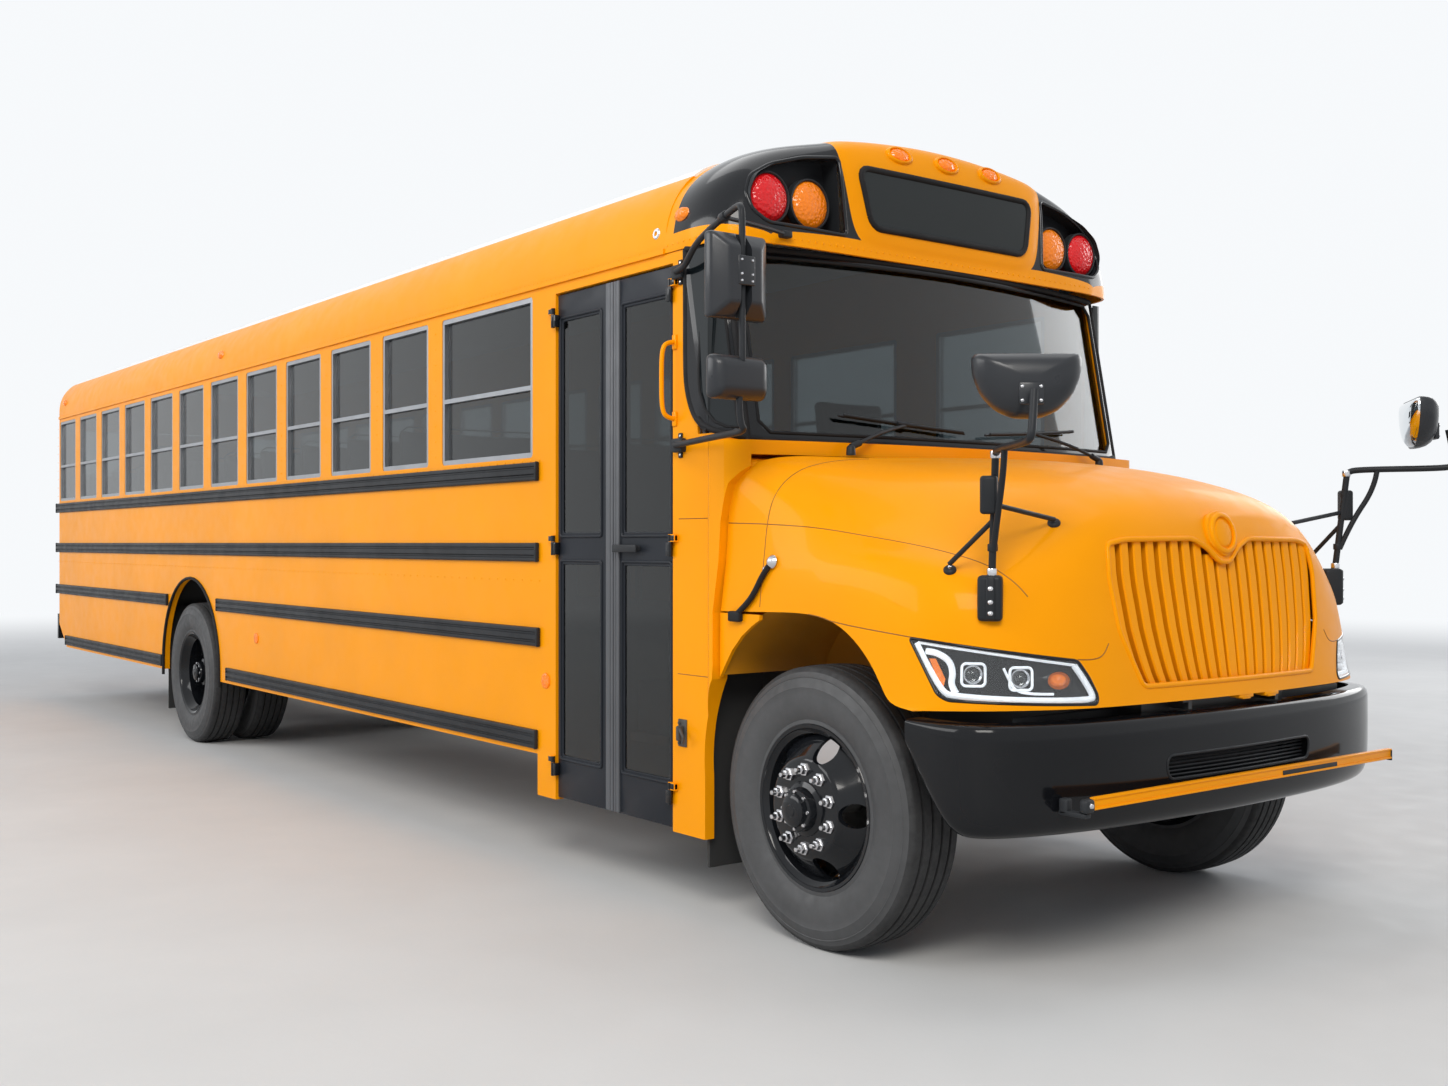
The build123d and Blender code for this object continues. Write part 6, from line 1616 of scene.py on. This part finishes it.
bumper = loose_object("front_bumper", mirrored_whole(sheet_through(bumper_rows())))
round_off(bumper, 2)
bumper_skin = skin_of(bumper)
slot_line = rounded([(-0.43, 0.676), (0.43, 0.676), (0.435, 0.757), (-0.435, 0.757)], 0.03)
walled(bumper, 0.006, [nose_prism(slot_line, 0.9, 1.2)])
hand_over(bumper, "bumper_black", hides=["bumpers"], angle=38)
ribs = bmesh.new()
for step in range(6):
    line = [(front_of(bumper_skin, y, 0.66)[0].x - 0.03, y, 0.683 + 0.0135 * step)
            for y in [-0.43 + 0.086 * part for part in range(11)]]
    add(ribs, cord(line, 0.004, 1))
add(ribs, boxes((0.9, 0.93, -0.52, 0.52, 0.64, 0.8, 0.004)))
add(ribs, cord_on_front(bumper_skin, slot_line, 0.005, -0.001))
add(ribs, boxes((0.8, 0.81, -0.98, 0.98, 0.56, 0.905, 0.004)))
piece("slot_ribs", ribs, "satin_black", angle=50)

# %% Rear bumper and bumper fittings
BEAM_BACK, BEAM_END = -11.0, 1.185
beam = boxes((BEAM_BACK, BEAM_BACK + 0.008, -BEAM_END, BEAM_END, 0.562, 0.798, 0.003),
             *((BEAM_BACK, -10.952, -BEAM_END, BEAM_END, z, z + 0.006, 0.002) for z in (0.562, 0.792)))
for side in SIDES:
    add(beam, boxes((BEAM_BACK, -10.952, side * 1.179, side * BEAM_END, 0.562, 0.798, 0.002),
                    (0.905, 0.955, side * 0.355, side * 0.43, 0.7, 0.88, 0.004)))
piece("rear_beam", beam, "bumper_black")
piece("arm_holder", boxes((0.95, 1.058, -0.928, -0.896, 0.606, 0.6225, 0.005, 3),
                          (0.95, 0.985, -0.928, -0.896, 0.606, 0.66, 0.008, 3)), "black_plastic")
lugs = joined(*(boxes((0.955, 1.000, y - 0.045, y + 0.045, 0.922, 0.938, 0.005),
                      (0.965, 0.998, y - 0.02, y + 0.03, 0.917, 0.926, 0.003)) for y in (0.045, 0.205)))
piece("lip_lugs", lugs, "yellow_paint", "hood")
piece("cowl_shoulders", boxes(*((-0.452, -0.345, side * 0.93, side * 1.15, 1.62, 1.8, 0.03, 4)
                                for side in SIDES)), "yellow_paint")

# %% Crossing arm
piece("crossing_bar", boxes((1.047, 1.064, -0.893, 0.925, 0.632, 0.672, 0.003),
                            (1.06, 1.068, -0.893, 0.925, 0.632, 0.64, 0.0025),
                            (1.06, 1.068, -0.893, 0.925, 0.664, 0.672, 0.0025)),
      "yellow_paint", "crossing_arm", hides=["crossing_arm"])
piece("arm_ends", boxes((1.063, 1.0665, 0.17, 0.53, 0.64, 0.656, 0.001),
                        (1.038, 1.072, -0.938, -0.891, 0.624, 0.669, 0.012, 3),
                        (1.045, 1.068, 0.922, 0.929, 0.625, 0.668, 0.003)), "black_plastic", "crossing_arm")
arm_bolt = (bolt(16, 0.006, 0.007, 0.009), placed((at(1.072), -0.914, 0.648), (1, 0, 0)))
piece("arm_bolts", joined(arm_bolt), "bright_steel", "crossing_arm", slot="black_plastic")


# %% [markdown]
# ## Rub rails
# Four black steel rails run along each side to show where the floor and the seats are. Their section
# has three ridges, so light draws fine lines along them. The section is a plate extruded lengthwise.

# %% Rub rails
# columns: height off the skin, height above the rail's foot
RAIL_SECTION = [(0, 0), (0.014, 0.002), (0.0175, 0.008), (0.0175, 0.018), (0.0125, 0.022), (0.0125, 0.028),
                (0.0215, 0.033), (0.0215, 0.054), (0.0125, 0.059), (0.0125, 0.065), (0.0175, 0.069),
                (0.0175, 0.08), (0.014, 0.086), (0, 0.088)]
RAIL_FOOT = SKIN + 0.001
# columns: bottom z, start and end ahead of the axle on the right, end on the left
RAIL_ROWS = [(1.763, -10.94, -1.86, -0.86), (1.388, -10.94, -1.86, -0.86), (0.996, -10.94, -7.47, -7.47),
             (0.996, -6.325, -1.85, -0.86), (0.522, -10.59, -7.6, -7.6), (0.522, -6.12, -1.87, -0.86)]
rails = bmesh.new()
for side in SIDES:
    for low, start, right_end, left_end in RAIL_ROWS:
        end = right_end if side < 0 else left_end
        add(rails, stood(plate(RAIL_SECTION, end - start - 0.02), (0, 0, 1, at(start) + 0.01),
                         (side, 0, 0, side * RAIL_FOOT), (0, 1, 0, low)))
        add(rails, boxes(*((x, x + 0.014, side * RAIL_FOOT, side * (SKIN + 0.0225), low - 0.001, low + 0.089,
                            0.006, 3) for x in (start, end - 0.014))))
piece("rails", rails, "satin_black", hides=["rub_rails"], angle=25)

# %% [markdown]
# ## Rivets and panel lines
# Sheet metal is riveted to the frame inside. Rows of rivets follow the drip rail and the posts of
# the windows. There are hundreds, so each head has only a few faces.

# %% Rivet rows
DRIP_Z = 2.676
rivet_pattern = joined(knob(6, (0, 0.0028), (0.0032, 0.002), (0.0048, 0.0)))
roof_skin = skin_of(nodes_of["roof"])


def side_place(x, z, side, lift=0.0005):
    """The matrix that stands a form on the flat side wall."""
    return placed((at(x), side * (SKIN + lift), z), (0, side, 0))


rivets = bmesh.new()
for side in SIDES:
    seats = [on_surface(side_of(roof_skin, at(-10.92 + index * 0.04), DRIP_Z, side)) for index in range(250)]
    last = -1.8 if side < 0 else -0.9
    for x in [-10.9 + index * 0.08 for index in range(125)]:
        if x < -0.9 and x <= last:
            seats += [side_place(x, z, side) for z in (1.856, 1.3)]
    for post in range(12):
        seats += [side_place(-10.925 + WINDOW_PITCH * post, 1.92 + step * 0.08, side) for step in range(9)]
    for seat in seats:
        add(rivets, rivet_pattern.copy(), seat)
piece("rivets", rivets, "yellow_paint", angle=60)

# %% Panel lines, arch trims and side fittings
ARCH_X, ARCH_HALF, ARCH_TOP, ARCH_FOOT = -6.94, 0.652, 1.216, 0.46
lines, arch_trim, side_marks = bmesh.new(), bmesh.new(), bmesh.new()
arc = [(-ARCH_HALF * math.cos(angle), ARCH_TOP - ARCH_HALF + ARCH_HALF * math.sin(angle))
       for angle in [math.pi * step / 24 for step in range(25)]]
trim_line = [(-ARCH_HALF, ARCH_FOOT)] + arc + [(ARCH_HALF, ARCH_FOOT)]
for side in SIDES:
    for x_from, x_to, z in ((-0.756, -0.46, 1.572), (-0.763, -0.53, 0.95)):
        add(lines, cord(ahead([(x, side * (SKIN - 0.0004), z) for x in (x_from, x_to)]), 0.002, 1))
    add(arch_trim, cord([(at(ARCH_X + x), side * (SKIN + 0.004), z) for x, z in trim_line], 0.011))
    for x in (-5.56, -1.8):
        add(side_marks, knob(28, (0, 0.01), (0.0252, 0.009), (0.0342, 0.006), (0.036, 0.0)),
            side_place(x, 0.843, side))
    for skin, x, z in ((cap_skin, -0.745, 2.795), (roof_skin, -6.3, 2.8), (roof_skin, -10.7, 2.8)):
        add(side_marks, knob(28, (0, 0.022), (0.02, 0.02), (0.034, 0.012), (0.04, 0.0)),
            on_surface(side_of(skin, at(x), z, side), 1.2, 0.75, 1.0))
vent = turned([(0.01, 0.004), (0.02, 0.004), (0.024, 0.0), (0.01, 0.0)], 24)
piece("panel_lines", lines, "seam_shade", angle=60)
piece("arch_trim", arch_trim, "black_rubber", angle=60)
piece("roof_vent", joined((vent, on_surface(side_of(roof_skin, at(-0.92), 2.745, -1)))),
      "bright_steel", slot="sash_aluminium")
piece("side_marks", side_marks, "amber_lens", angle=50)

# %% Handle, latches and bracket
HANDLE_TOP, HANDLE_FOOT = 2.285, 1.975
handle_line = ahead([(-0.783, -1.192, HANDLE_TOP), (-0.783, -1.235, 2.283), (-0.786, -1.258, 2.25),
                     (-0.786, -1.26, 2.13), (-0.786, -1.258, 2.01), (-0.783, -1.235, 1.977),
                     (-0.783, -1.192, HANDLE_FOOT)])
handle_feet = boxes(*((-0.796, -0.768, -1.203, -1.194, z - 0.03, z + 0.03, 0.004)
                      for z in (HANDLE_TOP, HANDLE_FOOT)))
piece("grab_handle", joined(bent_tube(handle_line, 0.0095, 4), handle_feet), "yellow_paint", angle=50)
LATCH_KNOBS = [(-0.168, 1.405, 0.026), (-0.205, 1.375, 0.016)]
STRAP = [(-0.175, 1.395), (-0.215, 1.35), (-0.245, 1.3), (-0.29, 1.25), (-0.36, 1.205)]
LOWEST_TOUCH = 1.225
latch_knobs, latch_straps = bmesh.new(), bmesh.new()
for side in SIDES:
    for x, z, size in LATCH_KNOBS:
        add(latch_knobs, knob(20, (0, size * 1.1), (size * 0.6, size * 0.95), (size, size * 0.4),
                              (size * 0.85, 0.0), (0, 0)), on_surface(side_of(hood_skin, at(x), z, side)))
    points = []
    for x, z in STRAP:
        point, _ = side_of(hood_skin, at(x), max(z, LOWEST_TOUCH), side)
        points.append((point.x, point.y + side * 0.014, z))
    add(latch_straps, bent_tube(points, 0.011, 4))
    add(latch_straps, boxes((-0.405, -0.335, side * 1.196, side * 1.222, 1.176, 1.216, 0.008, 3)))
piece("latch_knobs", latch_knobs, "bright_steel", "hood", slot="cast_grey", angle=50)
piece("latch_straps", latch_straps, "black_rubber", "hood", angle=50)
hook_line = ahead([(-0.725, -1.215, 0.735), (-0.69, -1.236, 0.73), (-0.665, -1.236, 0.7),
                   (-0.69, -1.225, 0.68)])
side_hook = boxes((-0.755, -0.7, -1.201, -1.194, 0.66, 0.77, 0.003),
                  (-0.735, -0.715, -1.228, -1.199, 0.685, 0.745, 0.006))
add(side_hook, bent_tube(hook_line, 0.006, 4))
for z in (0.675, 0.755):
    add(side_hook, bolt(12, 0.008, 0.006, 0.009), placed((at(-0.742), -1.201, z), (0, -1, 0)))
piece("side_hook", side_hook, "cast_iron", angle=50)

# %% [markdown]
# ## Rear end
# The back has round stop, turn and reversing lamps in rubber rings, windows set in rubber, and the
# emergency door with its own seal, strap hinges and a lever handle.

# %% Tail lamps
# columns: name, distance from the middle, radius, height, lens, slot
TAIL_LAMPS = [("tail_red", 0.78, 0.075, 1.22, "red_lens", "stop_red"),
              ("tail_amber", 1.01, 0.095, 1.22, "amber_lens", "lamp_plastic"),
              ("tail_clear", 1.01, 0.075, 1.01, "clear_lens", "lamp_clear")]
tail_rings = bmesh.new()
for name, y, radius, z, lens, slot in TAIL_LAMPS:
    whole = bmesh.new()
    for side in SIDES:
        place = placed((REAR, side * y, z), (-1, 0, 0))
        add(whole, knob(40, (0, 0.022), (radius * 0.5, 0.0215), (radius * 0.82, 0.018),
                        (radius * 0.93, 0.012), (radius * 0.95, 0.0)), place)
        add(tail_rings, turned([(radius + 0.012, 0.0), (radius + 0.01, 0.01), (radius, 0.013),
                                (radius * 0.94, 0.01), (radius * 0.94, 0.0)], 40), place)
    piece(name, whole, lens, slot=slot, angle=50)
piece("tail_rings", tail_rings, "black_rubber", angle=50)

# %% Rear windows, emergency door seal, hinges and handle


def rear_loop(y0, y1, z0, z1, radius, corner, lift):
    """A cord laid round a rectangle on the back wall."""
    points = [(REAR - lift, y, z) for y, z in rounded(oblong(y0, y1, z0, z1), corner)]
    return cord(points + [points[0]], radius)


def behind(*row):
    """A softened box whose x is given behind the back wall."""
    (near, far), y, z, *softness = row
    return soft_box((REAR - far, REAR - near), y, z, *softness)


rear_seals = joined(*(rear_loop(side * 0.56, side * 1.01, 1.873, 2.561, 0.011, 0.06, 0.002)
                      for side in SIDES), rear_loop(-0.456, 0.456, 1.084, 2.566, 0.007, 0.03, 0.0))
lever = [(REAR - back, y, z) for back, y, z in ((0.004, 0.38, 1.36), (0.03, 0.38, 1.36), (0.036, 0.36, 1.36),
                                               (0.036, 0.22, 1.35))]
door_fittings = joined(rear_loop(-0.335, 0.335, 1.495, 2.445, 0.011, 0.06, 0.002),
                       behind((0, 0.008), (0.335, 0.425), (1.3, 1.42), 0.006, 3), bent_tube(lever, 0.009, 4))
straps = bmesh.new()
for z in (1.25, 1.72, 2.3):
    add(straps, behind((0, 0.006), (-0.442, -0.35), (z - 0.03, z + 0.03), 0.003))
    for y in (-0.425, -0.375):
        add(straps, bolt(12, 0.005, 0.006, 0.008), placed((REAR - 0.006, y, z), (-1, 0, 0)))
piece("rear_seals", rear_seals, "black_rubber", angle=60)
piece("rear_door_fittings", door_fittings, "satin_black", "rear_door", slot="black_rubber", angle=50)
piece("rear_door_pane", behind((-0.0415, 0.0015), (-0.331, 0.331), (1.499, 2.441), 0.001),
      "quarter_tint", "rear_door")
piece("rear_door_straps", straps, "yellow_paint", "rear_door", angle=50)

# %% [markdown]
# ## Stop sign arm
# The sign is left blank. Its red octagon has a white border and two red flashers on each face.

# %% Stop sign trim
SIGN_Z, FLASHER_SHIFT = 1.62, 0.125


def octagon(apothem):
    reach = apothem / math.cos(math.pi / 8)
    angles = [math.pi * (2 * corner + 1) / 8 for corner in range(8)]
    return [(reach * math.cos(angle), reach * math.sin(angle)) for angle in angles]


sign_ring = carved(plate(octagon(0.221), 0.0016), sunk_prism(octagon(0.203)))
sign_border, sign_lamps = bmesh.new(), bmesh.new()
for way in (-1, 1):
    add(sign_border, sign_ring.copy(), placed((at(-1.669), 1.24 + way * 0.006, SIGN_Z), (0, way, 0)))
    for shift in (-FLASHER_SHIFT, FLASHER_SHIFT):
        add(sign_lamps, knob(28, (0, 0.018), (0.03, 0.016), (0.05, 0.009), (0.055, 0.0)),
            placed((at(-1.669), 1.24 + way * 0.006, SIGN_Z + shift), (0, way, 0)))
piece("sign_border", sign_border, "white_paint", "stop_arm", angle=30)
piece("sign_lamps", sign_lamps, "red_lens", "stop_arm", slot="stop_red", angle=50)

# %% [markdown]
# ## Roof hatches
# Each hatch is a white plastic lid with a rounded rim and a raised middle.

# %% Hatch lids


def node_box(name):
    """The lowest and highest corner of a solid."""
    points = [nodes_of[name].matrix_world @ Vector(corner) for corner in nodes_of[name].bound_box]
    return [[limit(point[axis] for point in points) for axis in range(3)] for limit in (min, max)]


def lid_step(name, inset, under_top, over_top, soft):
    """One step of a lid, drawn in from the solid's edges and measured down from its top."""
    low, high = node_box(name)
    return soft_box((low[0] + inset, high[0] - inset), (low[1] + inset, high[1] - inset),
                    (high[2] - under_top, high[2] - over_top), soft, 3)


for name in ("hatch_front", "hatch_rear"):
    lid = joined(lid_step(name, 0.001, 0.024, 0.006, 0.007), lid_step(name, 0.09, 0.012, 0.0005, 0.005))
    piece(name + "_lid", lid, "white_paint", name, hides=[name], angle=50)

# %% [markdown]
# ## Seats
# A bench is two padded pieces: a cushion and a tall back. Each starts as a slightly small block, is
# remeshed evenly, and is blown up by a cloth simulation, so its sides crown and its corners pull in.
# One bench is simulated and then repeated along the bus, made light enough for twenty-two copies.

# %% Padding by simulation


def padded_form(name, x, y, z, grow, faces):
    """A padded block, softened, remeshed evenly and blown up by a cloth simulation.
    Softened only in a quick test, simulated otherwise.
    """
    inset = grow * 0.5
    form = soft_box(*((low + inset, high - inset) for low, high in (x, y, z)), 0.028, 3)
    pad = loose_object(name, form)
    remesh = pad.modifiers.new("even", "REMESH")
    remesh.mode = "VOXEL"
    remesh.voxel_size = 0.011
    settle(pad)
    start = [point.co.copy() for point in pad.data.vertices]
    cloth = pad.modifiers.new("filling", "CLOTH")
    cloth.settings.use_pressure = True
    cloth.settings.uniform_pressure_force = 4.0
    cloth.settings.tension_stiffness = 12
    cloth.settings.effector_weights.gravity = 0.0
    for frame_number in range(1, 21):
        scene.frame_set(frame_number)
    settle(pad)
    scene.frame_set(1)
    for point, home in zip(pad.data.vertices, start):
        moved = point.co - home
        if moved.length > grow:
            point.co = home + moved * (grow / moved.length)
    thin = pad.modifiers.new("lighter", "DECIMATE")
    thin.ratio = min(1.0, faces / max(1, len(pad.data.polygons) * 2))
    settle(pad)
    return taken_back(pad)


BENCH_IN, BENCH_OUT = 0.16, 1.146
BACK_FOOT = 1.5
# columns: name, x, y, z, how far it may swell, faces
PADS = [("cushion", (0.055, 0.47), (BENCH_IN + 0.01, BENCH_OUT - 0.01), (1.405, 1.52), 0.024, 1500),
        ("bench_back", (0.0, 0.095), (BENCH_IN + 0.006, BENCH_OUT - 0.006), (1.46, 2.125), 0.022, 1800),
        ("driver_cushion", (0.06, 0.49), (0.355, 0.845), (1.425, 1.53), 0.022, 900),
        ("driver_back", (0.0, 0.11), (0.36, 0.84), (1.5, 2.24), 0.022, 1200)]
cushion, bench_back, driver_cushion, driver_back = [padded_form(*pad) for pad in PADS]
for form, lean in ((bench_back, 0.066), (driver_back, 0.085)):
    for point in form.verts:
        point.co.x -= (point.co.z - BACK_FOOT) * lean
print("padding ready")

# %% Bench rows
bench_start = node_box("seats")[0][0] + 0.04
bench_places = [Matrix.Translation((bench_start + index * WINDOW_PITCH, 0, 0))
                @ (MIRROR if side < 0 else Matrix.Identity(4)) for side in SIDES for index in range(11)]
driver_place = Matrix.Translation((at(-1.72), 0, 0))


def repeated(form):
    """Copies of a form at each bench's place, as one form."""
    return joined(*((form.copy(), place) for place in bench_places))


WELT_HALF = [(0.098, 0.02, 1.55), (0.06, 0.02, 2.09), (0.056, 0.06, 2.118)]
welt_line = [(x, BENCH_IN + y, z) for x, y, z in WELT_HALF]
welt_line += [(x, BENCH_OUT - y, z) for x, y, z in reversed(WELT_HALF)]
legs = joined(*(soft_box((x - 0.016, x + 0.016), (BENCH_IN + 0.06, BENCH_IN + 0.095), (1.056, 1.42), 0.004)
                for x in (0.1, 0.38)),
              soft_box((0.06, 0.45), (BENCH_IN + 0.03, BENCH_OUT - 0.03), (1.385, 1.412), 0.006))
piece("seat_backs", joined(repeated(bench_back), (driver_back, driver_place)), "seat_vinyl",
      hides=["seats"], angle=60)
piece("seat_cushions", joined(repeated(cushion), (driver_cushion, driver_place)), "seat_vinyl", angle=60)
piece("seat_welts", repeated(cord(welt_line, 0.005, 1)), "black_rubber", slot="seat_vinyl", angle=60)
driver_foot = boxes((-1.64, -1.32, 0.45, 0.75, 1.056, 1.44, 0.01))
piece("seat_legs", joined(repeated(legs), driver_foot), "satin_black")

# %% [markdown]
# ## Sheen
# Dark paint looks grey when it mirrors a pale studio, so the strength of the plain reflection is
# lowered on the dark finishes, and the yellow paint mirrors a warmer light than white.

# %% Sheen of the paints and glass
WARM = tint((1.0, 0.6, 0.15))
# columns: finish, strength of the plain reflection, what else changes
SHEEN = [("yellow_paint", 0.16, {"Coat Weight": 0.08, "Specular Tint": WARM}),
         ("roof_paint", 0.16, {"Coat Weight": 0.08, "Specular Tint": WARM}),
         ("gloss_black", 0.2, {"Coat Weight": 0.22}), ("bumper_black", 0.15, {"Coat Weight": 0.2}),
         ("quarter_tint", 0.3, {"Coat Weight": 0.15}), ("satin_black", 0.15, {}), ("black_plastic", 0.18, {}),
         ("black_rubber", 0.15, {}), ("door_grey", 0.12, {}), ("mirror_shell", 0.3, {}),
         ("window_glass", 0.22, {}), ("sign_glass", 0.22, {}), ("door_glass", 0.22, {})]
for name, level, others in SHEEN:
    tree = FINISHES[name].node_tree
    feed(tree, tree.nodes["Principled BSDF"], {"Specular IOR Level": level, **others})
print("sheen set")

# %% [markdown]
# ## Studio floor
# The floor is one large sheet of pale concrete, which fades into the surround far away.

# %% Finish
sheet = bmesh.new()
bmesh.ops.create_grid(sheet, x_segments=1, y_segments=1, size=60)
studio_floor = loose_object("studio_floor", sheet)
paint(studio_floor.data, "floor_finish")
tree = FINISHES["floor_finish"].node_tree
reach = add_node(tree, "VectorMath", {0: own_place(tree)}, operation="LENGTH").outputs["Value"]
fade = add_node(tree, "MapRange", {"From Min": 8.0, "From Max": 24.0, "Value": reach},
                interpolation_type="SMOOTHSTEP")
share = add_node(tree, "Math", {0: fade.outputs["Result"], 1: rays_that_see(tree)}, operation="MULTIPLY")
glow = add_node(tree, "Emission", {"Color": SURROUND})
blend = add_node(tree, "MixShader", {0: share.outputs[0], 1: tree.nodes["Principled BSDF"].outputs[0],
                                     2: glow.outputs[0]})
feed(tree, tree.nodes["Material Output"], {0: blend.outputs[0]})
